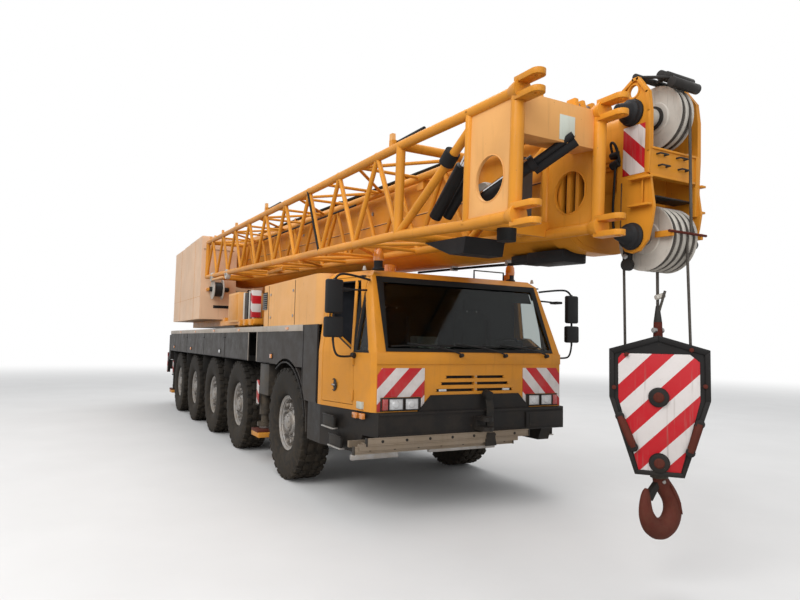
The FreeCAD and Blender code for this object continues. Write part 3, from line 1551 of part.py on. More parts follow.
def jib_lattice():
    outer = -D.jib_outer.value
    inner = -D.jib_inner.value
    low = -D.jib_low.value
    first = D.jib_from.value
    last = D.jib_kink.value
    bays = int(D.jib_bays.value)
    chord = D.jib_chord_r.value
    brace = D.jib_brace_r.value
    lace = D.jib_lace_r.value

    def upper(u):
        share = (u - first) / (last - first)
        return D.jib_top_rear.value + share * (D.jib_top_front - D.jib_top_rear).value

    step = (last - first) / bays
    stations = [first + step * index for index in range(bays + 1)]
    root = D.jib_root.value
    root_low = -D.root_low.value + chord
    root_top = D.root_top.value - chord
    end = root + D.root_long.value
    bars = []
    for y in (outer, inner):
        bars.append(bar(V(first, y, low), V(last, y, low), chord))
        bars.append(bar(V(first, y, upper(first)), V(last, y, upper(last)), chord))
        bars.append(bar(V(last, y, low), V(root + 20, y, root_low), chord))
        bars.append(bar(V(last, y, upper(last)), V(root + 20, y, root_top), chord))
        for u in (last, first):
            bars.append(bar(V(u, y, low), V(u, y, upper(u)), chord))
        bars.append(bar(V(last, y, low), V(root + 20, y, root_top - 120), brace * 1.5))
        for index in range(bays):
            a, b = stations[index], stations[index + 1]
            middle = (a + b) / 2
            bars.append(bar(V(a, y, low), V(middle, y, upper(middle)), brace))
            bars.append(bar(V(middle, y, upper(middle)), V(b, y, low), brace))
    for u in (first, last):
        bars.append(bar(V(u, outer, low), V(u, inner, low), chord))
        bars.append(bar(V(u, outer, upper(u)), V(u, inner, upper(u)), chord))
    for index in range(bays):
        a, b = stations[index], stations[index + 1]
        ends = (outer, inner) if index % 2 == 0 else (inner, outer)
        bars.append(bar(V(a, ends[0], low), V(b, ends[1], low), lace))
        bars.append(bar(V(a, ends[0], upper(a)), V(b, ends[1], upper(b)), lace))
    truss = bars[0].multiFuse(bars[1:])

    thick = D.root_wall.value
    plates = []
    height = (D.root_top + D.root_low).value
    for y in (outer, inner):
        y0 = y - thick / 2
        plate = Part.makeBox(end - root, thick, height, V(root, y0, -D.root_low.value))
        radius = 150
        centre = V((root + end) / 2, y0 - thick, -D.root_low.value + height * 0.36)
        hole = Part.makeCylinder(radius, thick * 3, centre, V(0, 1, 0))
        plate = plate.cut(hole)
        for w in (-D.root_low.value + chord, D.root_top.value - chord):
            tip = end + D.fork_long.value
            ear = Part.makeBox(tip - end + 40, 70, 100, V(end - 40, y - 35, w - 50))
            round_end = Part.makeCylinder(D.fork_r.value, 70, V(tip, y - 35, w), V(0, 1, 0))
            slot = Part.makeBox(200, 24, 140, V(end + 30, y - 12, w - 70))
            bore = Part.makeCylinder(D.fork_bore.value, 90, V(tip, y - 45, w), V(0, 1, 0))
            plates.append(ear.fuse(round_end).cut(slot).cut(bore))
        plates.append(plate)
    wide = inner - outer
    cross_low = D.root_top.value - 300
    cross = Part.makeBox(40, wide, 280, V(end - 60, outer, cross_low))
    back = Part.makeBox(40, wide, 120, V(root + 20, outer, -D.root_low.value))
    whole = truss.multiFuse(plates + [cross, back])
    # two brackets seat the jib on the boom's flat side
    grip = []
    flat_top = (D.base_top - D.base_round).value
    for u in (stations[1], stations[bays - 1]):
        tall = 110
        start = V(u - 60, inner, flat_top - tall)
        grip.append(Part.makeBox(120, -D.base_half.value - inner, tall, start))
    whole = whole.multiFuse(grip)
    item = shaped("JibLattice", whole.removeSplitter())
    item.Placement = boom_frame()
    node("jib_lattice", item)


# Hook block on its ropes

def hook_block(x, y, rope_line):
    """Two plates with the sheaves and the hook's cross piece between them."""
    half = D.block_half
    top = D.block_top
    low = D.block_low
    outline = [
        (-half, top - D.block_taper),
        (-half, top - D.block_eave),
        (0, top),
        (half, top - D.block_eave),
        (half, top - D.block_taper),
        (D.block_foot, low),
        (-D.block_foot, low),
    ]
    gap = D.block_gap
    reach = gap + D.block_wall
    head = reach + D.block_wall / 2
    pin = (0, D.block_pin_z)
    foot = (0, D.block_foot_z)
    becket = (top - D.block_eave * 1.5, top - D.block_eave / 2)
    pieces = [
        rod("BlockPin", "Y", pin, D.block_pin_r, (-head, head)),
        rod("BlockSheaves", "Y", pin, rope_line, (-gap, gap)),
        rod("Trunnion", "Y", foot, D.block_pin_r, (-head, head)),
        block("Becket", (-D.shank_r, D.shank_r), (-gap, gap), becket),
    ]
    for name, side in LEFT_RIGHT:
        pieces.append(prism("Cheek", "XZ", outline, span(side, gap, reach)))
    ends = (low - D.shank_r, D.block_foot_z + D.block_pin_r * 2)
    bore = rod("ShankBore", "Z", (0, 0), D.shank_r + D.fit_gap, ends)
    twist = FreeCAD.Rotation(V(0, 0, 1), D.block_twist.value)
    solid = minus("HookBlock", joined("BlockSolid", pieces), [bore])
    node("hook_block", place(solid, x, y, 0, twist))


def hook(x, y):
    """A curved bottom, a tip on one side and a neck that carries the shank."""
    middle = D.hook_low + D.hook_r
    tip = D.hook_low + D.hook_tip
    neck = D.hook_low + D.hook_neck
    wide = D.hook_r
    bowl = D.hook_bowl
    thick = (-D.hook_thick / 2, D.hook_thick / 2)
    past = (-D.hook_thick, D.hook_thick)
    form = [
        (-wide, middle),
        (wide, middle),
        (D.neck_half, neck),
        (-D.neck_half, neck),
        (-D.neck_half * 1.5, tip),
        (-wide * 0.85, tip),
    ]
    bowl_z = middle + D.bowl_up
    mouth = [
        (-D.bowl_x - bowl, bowl_z),
        (-D.bowl_x + bowl, bowl_z),
        (0, tip + D.bowl_up),
        (-D.neck_half, tip + D.bowl_up * 2),
        (-wide * 1.2, tip + D.bowl_up * 2),
        (-wide * 1.2, tip - D.seat_gap),
        (-D.bowl_x - bowl, tip - D.seat_gap),
    ]
    solid = joined("HookSolid", [
        rod("HookCurve", "Y", (0, middle), D.hook_r, thick),
        prism("HookForm", "XZ", form, thick),
    ])
    room = [
        rod("HookBowl", "Y", (-D.bowl_x, bowl_z), bowl, past),
        prism("HookMouth", "XZ", mouth, past),
    ]
    foot_top = D.block_foot_z + D.block_pin_r
    shank = rod("Shank", "Z", (0, 0), D.shank_r, (neck - D.shank_r, foot_top + D.shank_r))
    turn = FreeCAD.Rotation(V(0, 0, 1), (D.block_twist + D.hook_turn).value)
    whole = joined("Hook", [minus("HookBody", solid, room), shank])
    node("hook", place(whole, x, y, 0, turn))


def hook_parts():
    x = FOOT_X + LOW_AXLE * COS - D.low_axle_w * SIN
    axle_z = FOOT_Z - LOW_AXLE * SIN - D.low_axle_w * COS
    y = D.hook_y
    rope_line = D.low_sheave_r - D.groove_deep
    hook_block(x, y, rope_line)
    hook(x, y)
    twist = FreeCAD.Rotation(V(0, 0, 1), D.block_twist.value)
    across = rope_line + D.rope_r + D.seat_gap
    level = D.block_pin_z.value
    ropes = []
    for sign, groove in ((-1, -D.sheave_pitch * 1.5), (1, D.sheave_pitch / 2)):
        upper = V((x + across * sign).value, groove.value, axle_z.value)
        foot = twist.multVec(V((across * sign).value, 0, 0)) + V(x.value, y.value, level)
        ropes.append(bar(foot, upper, D.rope_r.value))
    end = V(x.value, y.value, (axle_z - D.low_sheave_r - D.seat_gap).value)
    becket = V(x.value, y.value, (D.block_top - D.block_eave / 2 + D.seat_gap).value)
    ropes.append(bar(becket, end, D.rope_r.value))
    node("rope_falls", shaped("RopeFalls", Part.makeCompound(ropes)))


# Fittings: ladder, mirrors, seats, lamps

def ladder():
    front = along(D.ladder_front)
    back = along(D.ladder_back)
    rail = D.ladder_rail
    zs = (D.ladder_low, D.ladder_low + D.ladder_high)
    ys = (-D.ladder_right, D.ladder_left)
    pieces = [
        block("FrontRail", (front - rail, front), ys, zs),
        block("BackRail", (back, back + rail), ys, zs),
    ]
    count = int(D.ladder_rungs.value)
    pitch = (D.ladder_right + D.ladder_left) / count
    middle = D.ladder_low + D.ladder_high / 2
    for index in range(count):
        y = pitch * (index + 0.5) - D.ladder_right
        pieces.append(rod("Rung", "X", (y, middle), D.rung_r, (back + rail / 2, front - rail / 2)))
    hanger_x = (along(D.bumper_front - D.bumper_side) + 20, front - rail / 2)
    for y in (-D.ladder_right + 330, D.ladder_left - 200):
        top = D.bumper_low
        pieces.append(block("Hanger", hanger_x, (y, y + 60), (D.ladder_low + 30, top)))
    node("ladder", joined("Ladder", pieces))


def mirrors():
    half = D.mirror_half
    deep = D.mirror_deep / 2
    x = along(D.mirror_x)
    root = along(D.mirror_root)
    sets = []
    for name, side in LEFT_RIGHT:
        post = D.mirror_y * side
        high = (D.cab_waist + 90, D.cab_waist + 720)
        pieces = [rod("Post", "Z", (x, post), D.mirror_arm_r + 2, high)]
        ys = (post - half, post + half)
        for low, tall in ((D.cab_waist + 130, 150), (D.cab_waist + 300, 330)):
            pieces.append(block("Mirror", (x - deep, x + deep), ys, (low, low + tall)))
        for z in (D.cab_waist + 110, D.cab_waist + 660):
            skin = side_skin(root, z) + D.mirror_arm_r * 0.35
            start = V(root.value, (skin * side).value, z.value)
            arm = bar(start, V(x.value, post.value, z.value), D.mirror_arm_r.value)
            pieces.append(shaped("MirrorArm", arm))
        sets.append(joined("MirrorSet", pieces))
    node("mirrors", gathered("Mirrors", sets))


def side_skin(x, z):
    """Half width of the cab at a place on its tapering sides."""
    up = (z - D.cab_waist) / (D.cab_eave - D.cab_waist)
    low_run = D.cab_front - D.cab_corner - D.cab_shoulder
    high_run = D.eave_front - D.cab_corner - D.cab_shoulder
    share = (x - along(D.cab_shoulder)) / (low_run + (high_run - low_run) * up)
    high_corner = D.eave_front_y + (D.cab_corner_y - D.cab_nose_y)
    low = D.half_width - (D.half_width - D.cab_corner_y) * share
    high = D.eave_back_y - (D.eave_back_y - high_corner) * share
    return low + (high - low) * up


def cab_interior():
    floor = D.cab_floor + D.cab_wall
    back = along(D.cab_back + D.cab_wall)
    solids = []
    for name, side in LEFT_RIGHT:
        ys = span(side, D.seat_y - D.seat_half, D.seat_y + D.seat_half)
        base = block("SeatBase", (back + 60, back + 420), ys, (floor, floor + 330))
        cushion = block("Cushion", (back + 30, back + 500), ys, (floor + 330, floor + 450))
        rest = block("Backrest", (back + 10, back + 120), ys, (floor + 450, floor + 1020))
        solids.append(joined("Seat", [base, cushion, rest]))
    front = along(D.cab_front - D.cab_wall)
    wide = D.cab_nose_y - D.cab_wall - 30
    dash_z = (D.cab_waist - 164, D.cab_waist - 20)
    dash = block("Dash", (front - 210, front), (-wide, wide), dash_z)
    post = block("DashPost", (front - 120, front), (-200, 200), (floor, floor + 380))
    wheel_x = front - 300
    wheel = DOC.addObject("Part::Torus", fresh("SteeringWheel"))
    bind(wheel, Radius1=215, Radius2=14)
    lean = FreeCAD.Rotation(V(0, 1, 0), -25)
    place(wheel, wheel_x, D.seat_y, D.cab_waist + 90, lean)
    column = rod("Column", "Z", (0, 0), 30, (-240, 0))
    place(column, wheel_x + 100, D.seat_y, D.cab_waist - 130, lean)
    spoke = rod("Spoke", "Y", (0, 0), 14, (-210, 210))
    place(spoke, wheel_x, D.seat_y - 210, D.cab_waist + 90, AXES["Y"])
    shaft = rod("WheelShaft", "Z", (0, 0), 22, (0, 300))
    place(shaft, wheel_x + 125, D.seat_y, D.cab_waist - 175, lean)
    solids.append(joined("DashAndWheel", [dash, post, wheel, column, spoke, shaft]))
    node("cab_interior", gathered("CabInterior", solids))


def lamps():
    deep = D.lamp_deep
    front = along(D.cab_front)
    low = D.cab_floor + D.lamp_low
    high = (low, low + D.lamp_high)
    edge = D.cab_nose_y
    lenses = (
        (edge - 460, edge - 315),
        (edge - 285, edge - 135),
        (edge - 118, edge - 60),
    )
    solids = []
    for name, side in LEFT_RIGHT:
        for near, far in lenses:
            solids.append(block("HeadLamp", (front, front + deep), span(side, near, far), high))
        rear = (TAIL, TAIL + deep)
        ys = span(side, D.tail_half - 420, D.tail_half - 60)
        solids.append(block("TailLamp", rear, ys, (D.tail_low + 60, D.tail_low + 180)))
        for x in AXLES:
            strip = (D.deck_top - 52, D.deck_top - 22)
            skin = span(side, D.half_width, D.half_width + deep)
            solids.append(block("SideLamp", (x, x + 90), skin, strip))
        at = (along(D.beacon_x), D.beacon_y * side)
        solids.append(rod("BeaconBase", "Z", at, D.beacon_r, (D.cab_roof, D.beacon_top)))
    node("lamps", gathered("Lamps", solids))


wheels()
knuckles()
axle_beams()
carrier_frame()
outrigger_boxes()
outriggers()
deck()
fenders()
engine_housing()
engine_block()
cab()
front_bumper()
slew_platform()
counterweight()
winch_drum()
operator_cab()
luffing_cylinder()
boom_base()
boom_telescopes()
boom_head()
head_sheaves()
jib_lattice()
hook_parts()
ladder()
mirrors()
cab_interior()
lamps()

DOC.recompute()

# Every piece is checked before any is written
faults = []
for item in DOC.Objects:
    if "Invalid" in item.State or "Error" in item.State:
        faults.append("%s (%s): %s" % (item.Name, item.Label, item.State))
for label, item in NODES.items():
    shape = item.Shape
    if shape.isNull() or not shape.isValid() or not shape.Solids:
        faults.append("%s has no valid solid" % label)
if faults:
    raise RuntimeError("; ".join(faults))

os.makedirs("parts", exist_ok=True)
for label, item in NODES.items():
    item.Shape.exportStep("parts/%s.step" % label)
    box = item.Shape.BoundBox
    print("%-28s %2d solids  %8.1f %8.1f %8.1f" % (
        label, len(item.Shape.Solids), box.XLength, box.YLength, box.ZLength))
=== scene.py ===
"""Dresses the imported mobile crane: finishes for its solids, and the pieces of its looks."""

import json
import math

import bpy
from mathutils import Matrix, Vector


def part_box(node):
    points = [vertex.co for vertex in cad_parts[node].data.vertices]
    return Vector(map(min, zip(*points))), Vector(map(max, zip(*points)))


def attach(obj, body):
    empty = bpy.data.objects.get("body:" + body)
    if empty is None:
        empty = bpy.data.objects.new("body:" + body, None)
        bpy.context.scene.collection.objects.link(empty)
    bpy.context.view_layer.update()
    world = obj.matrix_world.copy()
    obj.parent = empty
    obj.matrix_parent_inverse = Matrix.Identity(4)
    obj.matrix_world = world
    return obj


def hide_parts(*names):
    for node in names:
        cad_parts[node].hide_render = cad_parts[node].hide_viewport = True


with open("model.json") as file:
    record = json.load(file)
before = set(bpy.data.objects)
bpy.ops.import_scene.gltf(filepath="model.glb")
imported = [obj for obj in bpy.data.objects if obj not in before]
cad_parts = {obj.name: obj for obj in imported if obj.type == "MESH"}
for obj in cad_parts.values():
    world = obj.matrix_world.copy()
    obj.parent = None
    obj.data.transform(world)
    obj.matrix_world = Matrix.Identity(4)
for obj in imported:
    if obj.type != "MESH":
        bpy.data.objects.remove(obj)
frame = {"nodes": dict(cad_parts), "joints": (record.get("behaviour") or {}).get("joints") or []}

bl_info = {
    "name": "Mobile crane",
    "version": (1, 0, 0),
    "blender": (4, 5, 0),
    "location": "View3D > Sidebar > Crane",
    "description": "Finishes and fittings of a five-axle mobile crane",
    "category": "Object",
}

SIDES = (("left", 1), ("right", -1))
NODES = frame["nodes"]
JOINTS = {joint["name"]: joint for joint in frame["joints"]}


# Places that the frame gives

def middle_of(node):
    """Middle of a node's box."""
    low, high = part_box(node)
    return (low + high) / 2


def pivot(joint):
    """Where a joint's axis stands."""
    return Vector(JOINTS[joint]["pos_m"])


AXLES = [middle_of("wheel_%d_left" % number).x for number in range(1, 6)]
AXLE_1 = AXLES[0]
DROOP = math.radians(2.3)
FOOT = pivot("boom_luff")
BOOM = Matrix.Translation(FOOT) @ Matrix.Rotation(DROOP, 4, "Y")
BLOCK_TURN = math.radians(40.0)
HOOK_TURN = math.radians(85.0)


def ahead(x, y, z):
    """A place given from axle 1."""
    return Vector((AXLE_1 + x, y, z))


# Sizes and colours that a user would change

def length(name, default, description):
    """A size in the panel."""
    return bpy.props.FloatProperty(
        name=name, default=default, description=description, min=0.0, unit="LENGTH")


def colour(name, default, description):
    """A colour in the panel."""
    return bpy.props.FloatVectorProperty(
        name=name, default=default, description=description, subtype="COLOR", size=3, min=0.0,
        max=1.0)


class CraneSizes(bpy.types.PropertyGroup):
    """Sizes of the crane's fittings"""

    tyre_radius: length("Tyre radius", 0.685, "Over the tread")
    tyre_half: length("Tyre half width", 0.189, "Half the width over the side walls")
    rim_radius: length("Rim radius", 0.34, "Over the rim's flanges")
    stripe: length("Stripe width", 0.105, "Width of the warning stripes")


class CraneColours(bpy.types.PropertyGroup):
    """Colours of the crane's finishes"""

    paint: colour("Paint", (0.7, 0.28, 0.026), "Main paint")
    # This colour is painted light: the main paint made lighter for faces that the light falls on.
    lit_paint: colour("Paint with painted light", (0.77, 0.395, 0.135), "Main paint made lighter where light falls")
    black: colour("Black paint", (0.012, 0.011, 0.011), "Bumper, guards and frame")
    dust: colour("Dust", (0.235, 0.175, 0.115), "Dried mud and road dust")
    alloy: colour("Alloy", (0.52, 0.52, 0.51), "Deck edge and ladder")
    wheel: colour("Wheel paint", (0.36, 0.35, 0.34), "Silver rims")
    rubber: colour("Rubber", (0.015, 0.014, 0.013), "Tyres and seals")
    red: colour("Warning red", (0.47, 0.006, 0.014), "Stripes")
    white: colour("Warning white", (0.66, 0.61, 0.59), "Stripes")
    sheave: colour("Sheave", (0.6, 0.56, 0.5), "Cast sheaves")
    rust: colour("Rust", (0.095, 0.018, 0.011), "Hook and worn edges")
    glass: colour("Glass", (0.34, 0.38, 0.37), "Tint of the windows")
    amber: colour("Amber", (0.85, 0.26, 0.02), "Side lamps and beacons")


# Shader groups: they put out masks and values only

class Wiring:
    """Adds nodes to a tree and joins them."""

    def __init__(self, tree):
        self.tree = tree

    def add(self, kind, **values):
        """A new node with its settings."""
        node = self.tree.nodes.new(kind)
        for key, value in values.items():
            setattr(node, key, value)
        return node

    def feed(self, node, **inputs):
        """Fills sockets by name, or by number after a letter."""
        for key, value in inputs.items():
            socket = node.inputs[int(key[1:])] if key[1:].isdigit() else node.inputs[key.replace(
                "_", " ")]
            if isinstance(value, bpy.types.NodeSocket):
                self.tree.links.new(value, socket)
            else:
                socket.default_value = value
        return node

    def maths(self, operation, one, two=0.0, clamp=False):
        """The result of one operation."""
        node = self.add("ShaderNodeMath", operation=operation, use_clamp=clamp)
        self.feed(node, i0=one, i1=two)
        return node.outputs[0]

    def ramp(self, value, low, high):
        """A smooth step between two values."""
        node = self.add("ShaderNodeMapRange", interpolation_type="SMOOTHSTEP")
        self.feed(node, Value=value, From_Min=low, From_Max=high)
        return node.outputs[0]

    def noise(self, vector, scale, detail=4.0, rough=0.55):
        """Noise as a value."""
        node = self.add("ShaderNodeTexNoise")
        self.feed(node, Vector=vector, Scale=scale, Detail=detail, Roughness=rough)
        return node.outputs["Fac"]

    def stretched(self, vector, scale):
        """The same place, scaled on each axis."""
        node = self.add("ShaderNodeMapping")
        self.feed(node, Vector=vector, Scale=scale)
        return node.outputs[0]

    def blend(self, share, one, two):
        """A colour between two."""
        node = self.add("ShaderNodeMix", data_type="RGBA")
        self.feed(node, i0=share, i6=one, i7=two)
        return node.outputs[2]


def group(name, inputs, outputs):
    """A new shader group with its sockets, and the wiring inside it."""
    tree = bpy.data.node_groups.new(name, "ShaderNodeTree")
    for label, kind, default in inputs:
        socket = tree.interface.new_socket(label, in_out="INPUT", socket_type=kind)
        socket.default_value = default
    for label, kind in outputs:
        tree.interface.new_socket(label, in_out="OUTPUT", socket_type=kind)
    wiring = Wiring(tree)
    return tree, wiring, wiring.add("NodeGroupInput"), wiring.add("NodeGroupOutput")


def weathering_group():
    """Road dust, run marks, chips and unevenness of an outdoor finish."""
    tree, wiring, given, out = group(
        "Weathering", [("Scale", "NodeSocketFloat", 1.0), ("Dust Height", "NodeSocketFloat", 1.6)],
        [
            ("Cloud", "NodeSocketFloat"), ("Dust", "NodeSocketFloat"), ("Runs", "NodeSocketFloat"),
            ("Chips", "NodeSocketFloat"), ("Relief", "NodeSocketFloat")])
    place = wiring.add("ShaderNodeTexCoord").outputs["Object"]
    scaled = wiring.add("ShaderNodeVectorMath", operation="SCALE")
    wiring.feed(scaled, i0=place, Scale=given.outputs["Scale"])
    spread = scaled.outputs[0]
    height = wiring.add("ShaderNodeSeparateXYZ")
    wiring.feed(height, Vector=place)
    cloud = wiring.noise(spread, 1.3, 5.0)
    grime = wiring.noise(spread, 5.5, 6.0, 0.65)
    low = wiring.maths("DIVIDE", height.outputs[2], given.outputs["Dust Height"])
    fade = wiring.maths("SUBTRACT", 1.15, low, clamp=True)
    patchy = wiring.ramp(grime, 0.36, 0.66)
    dust = wiring.maths("MULTIPLY", fade, patchy)
    top = wiring.maths("ADD", dust, wiring.maths("MULTIPLY", fade, 0.35), clamp=True)
    runs = wiring.noise(wiring.stretched(spread, (9.0, 9.0, 0.55)), 2.2, 5.0)
    chips = wiring.noise(spread, 26.0, 5.0, 0.7)
    fine = wiring.noise(spread, 90.0, 3.0)
    relief = wiring.maths("ADD", wiring.maths("MULTIPLY", fine, 0.25), grime)
    wiring.feed(
        out, Cloud=wiring.ramp(cloud, 0.3, 0.7), Dust=top, Runs=wiring.ramp(runs, 0.56, 0.74),
        Chips=wiring.ramp(chips, 0.66, 0.72), Relief=relief)
    return tree


def stripes_group():
    """Even bands by the distance that it is given."""
    tree, wiring, given, out = group(
        "Stripes", [("Distance", "NodeSocketFloat", 0.0), ("Width", "NodeSocketFloat", 0.1)],
        [("Band", "NodeSocketFloat")])
    pair = wiring.maths("MULTIPLY", given.outputs["Width"], 2.0)
    turns = wiring.maths("DIVIDE", given.outputs["Distance"], pair)
    share = wiring.maths("FRACT", turns)
    wiring.feed(out, Band=wiring.maths("GREATER_THAN", share, 0.5))
    return tree


# Materials

class Finish(Wiring):
    """A material with its main shader and the weathering group in it."""

    def __init__(self, name, scale=1.0, dust_height=1.6):
        self.material = bpy.data.materials.new(name)
        self.material.use_nodes = True
        super().__init__(self.material.node_tree)
        self.shader = self.tree.nodes["Principled BSDF"]
        self.weather = self.add("ShaderNodeGroup", node_tree=bpy.data.node_groups["Weathering"])
        self.feed(self.weather, Scale=scale, Dust_Height=dust_height)

    def out(self, name):
        """A mask of the weathering."""
        return self.weather.outputs[name]

    def share(self, name, amount):
        """A mask of the weathering, made weaker."""
        return self.maths("MULTIPLY", self.out(name), amount)

    def rough(self, low, high):
        """Roughness between two values, by the relief."""
        node = self.add("ShaderNodeMapRange")
        self.feed(node, Value=self.out("Relief"), From_Min=0.35, From_Max=0.8)
        self.feed(node, To_Min=low, To_Max=high)
        self.feed(self.shader, Roughness=node.outputs[0])

    def bumped(self, height, depth, strength=0.35):
        """Bumps on the shader's surface."""
        node = self.add("ShaderNodeBump")
        self.feed(node, Height=height, Strength=strength, Distance=depth)
        self.feed(self.shader, Normal=node.outputs[0])


def rgba(value, factor=1.0):
    """A colour with its alpha, made lighter or darker."""
    return tuple(min(1.0, part * factor) for part in value) + (1.0,)


def painted(name, base, **how):
    """Weathered paint or bare metal: shade, dust, runs, chips and gloss can differ."""
    look = {
        "shade": 0.8, "dust": 0.5, "runs": 0.25, "chips": 0.5, "under": (0.1, 0.06, 0.04),
        "rough": (0.34, 0.55), "metallic": 0.0, "coat": 0.0, "scale": 1.0, "high": 1.6,
        "depth": 0.002, "gloss": 0.16}
    look.update(how)
    colours = bpy.context.scene.crane_colours
    finish = Finish(name, look["scale"], look["high"])
    tone = finish.blend(finish.out("Cloud"), rgba(base, look["shade"]), rgba(base))
    stain = rgba([part * 0.45 for part in base])
    tone = finish.blend(finish.share("Runs", look["runs"]), tone, stain)
    tone = finish.blend(finish.share("Chips", look["chips"]), tone, rgba(look["under"]))
    tone = finish.blend(finish.share("Dust", look["dust"]), tone, rgba(colours.dust))
    finish.feed(finish.shader, Base_Color=tone, Metallic=look["metallic"])
    finish.feed(finish.shader, Coat_Weight=look["coat"], Specular_IOR_Level=look["gloss"])
    finish.rough(*look["rough"])
    finish.bumped(finish.out("Relief"), look["depth"])
    return finish.material


def striped(name, across, start=0.0, dust=0.3):
    """Slanted warning stripes, scuffed; the bands follow each other in the direction across."""
    sizes = bpy.context.scene.crane_sizes
    colours = bpy.context.scene.crane_colours
    finish = Finish(name, 2.0, 2.0)
    place = finish.add("ShaderNodeTexCoord").outputs["Object"]
    along = finish.add("ShaderNodeVectorMath", operation="DOT_PRODUCT")
    finish.feed(along, i0=place, i1=tuple(Vector(across).normalized()))
    distance = finish.maths("ADD", along.outputs["Value"], start)
    bands = finish.add("ShaderNodeGroup", node_tree=bpy.data.node_groups["Stripes"])
    finish.feed(bands, Distance=distance, Width=sizes.stripe)
    tone = finish.blend(bands.outputs[0], rgba(colours.white), rgba(colours.red))
    stain = finish.blend(finish.out("Cloud"), rgba((0.16, 0.12, 0.09)), rgba((0.3, 0.24, 0.2)))
    tone = finish.blend(finish.share("Runs", 0.35), tone, stain)
    tone = finish.blend(finish.share("Chips", 0.6), tone, rgba((0.12, 0.09, 0.07)))
    tone = finish.blend(finish.share("Dust", dust), tone, stain)
    finish.feed(finish.shader, Base_Color=tone, Specular_IOR_Level=0.25)
    finish.rough(0.35, 0.6)
    finish.bumped(finish.out("Relief"), 0.001)
    return finish.material


def roped(name, base):
    """Wire rope: strands laid at a slant, with grease between them."""
    finish = Finish(name, 4.0, 1.0)
    place = finish.add("ShaderNodeTexCoord").outputs["Object"]
    laid = finish.add("ShaderNodeMapping")
    finish.feed(laid, Vector=place, Rotation=(0.0, math.radians(38.0), math.radians(38.0)))
    wave = finish.add("ShaderNodeTexWave", bands_direction="Z")
    finish.feed(wave, Vector=laid.outputs[0], Scale=42.0, Distortion=0.6)
    tone = finish.blend(wave.outputs["Fac"], rgba(base, 0.35), rgba(base))
    tone = finish.blend(finish.share("Cloud", 0.5), tone, rgba((0.03, 0.026, 0.022)))
    finish.feed(finish.shader, Base_Color=tone, Metallic=0.35)
    finish.rough(0.42, 0.62)
    finish.bumped(wave.outputs["Fac"], 0.004, 0.7)
    return finish.material


def window_glass(name, tint):
    """Tinted window glass with a film of dust."""
    finish = Finish(name, 1.5, 3.5)
    tone = finish.blend(finish.share("Dust", 0.1), rgba(tint), rgba((0.5, 0.47, 0.42)))
    finish.feed(finish.shader, Base_Color=tone, Transmission_Weight=1.0, IOR=1.28, Metallic=0.0)
    node = finish.add("ShaderNodeMapRange")
    finish.feed(
        node, Value=finish.out("Relief"), From_Min=0.3, From_Max=0.9, To_Min=0.0, To_Max=0.12)
    finish.feed(finish.shader, Roughness=node.outputs[0])
    finish.bumped(finish.out("Cloud"), 0.0006, 0.1)
    return finish.material


def lens(name, base, glow=0.0):
    """Moulded lamp lens with fine flutes."""
    finish = Finish(name, 3.0, 2.0)
    place = finish.add("ShaderNodeTexCoord").outputs["Object"]
    wave = finish.add("ShaderNodeTexWave", bands_direction="Y")
    finish.feed(wave, Vector=place, Scale=28.0)
    tone = finish.blend(wave.outputs["Fac"], rgba(base, 0.7), rgba(base))
    tone = finish.blend(finish.share("Dust", 0.35), tone, rgba((0.25, 0.2, 0.15)))
    finish.feed(finish.shader, Base_Color=tone, Coat_Weight=0.6, Emission_Strength=glow)
    finish.feed(finish.shader, Emission_Color=tone)
    finish.rough(0.08, 0.25)
    finish.bumped(wave.outputs["Fac"], 0.003, 0.4)
    return finish.material


FINISH = {}


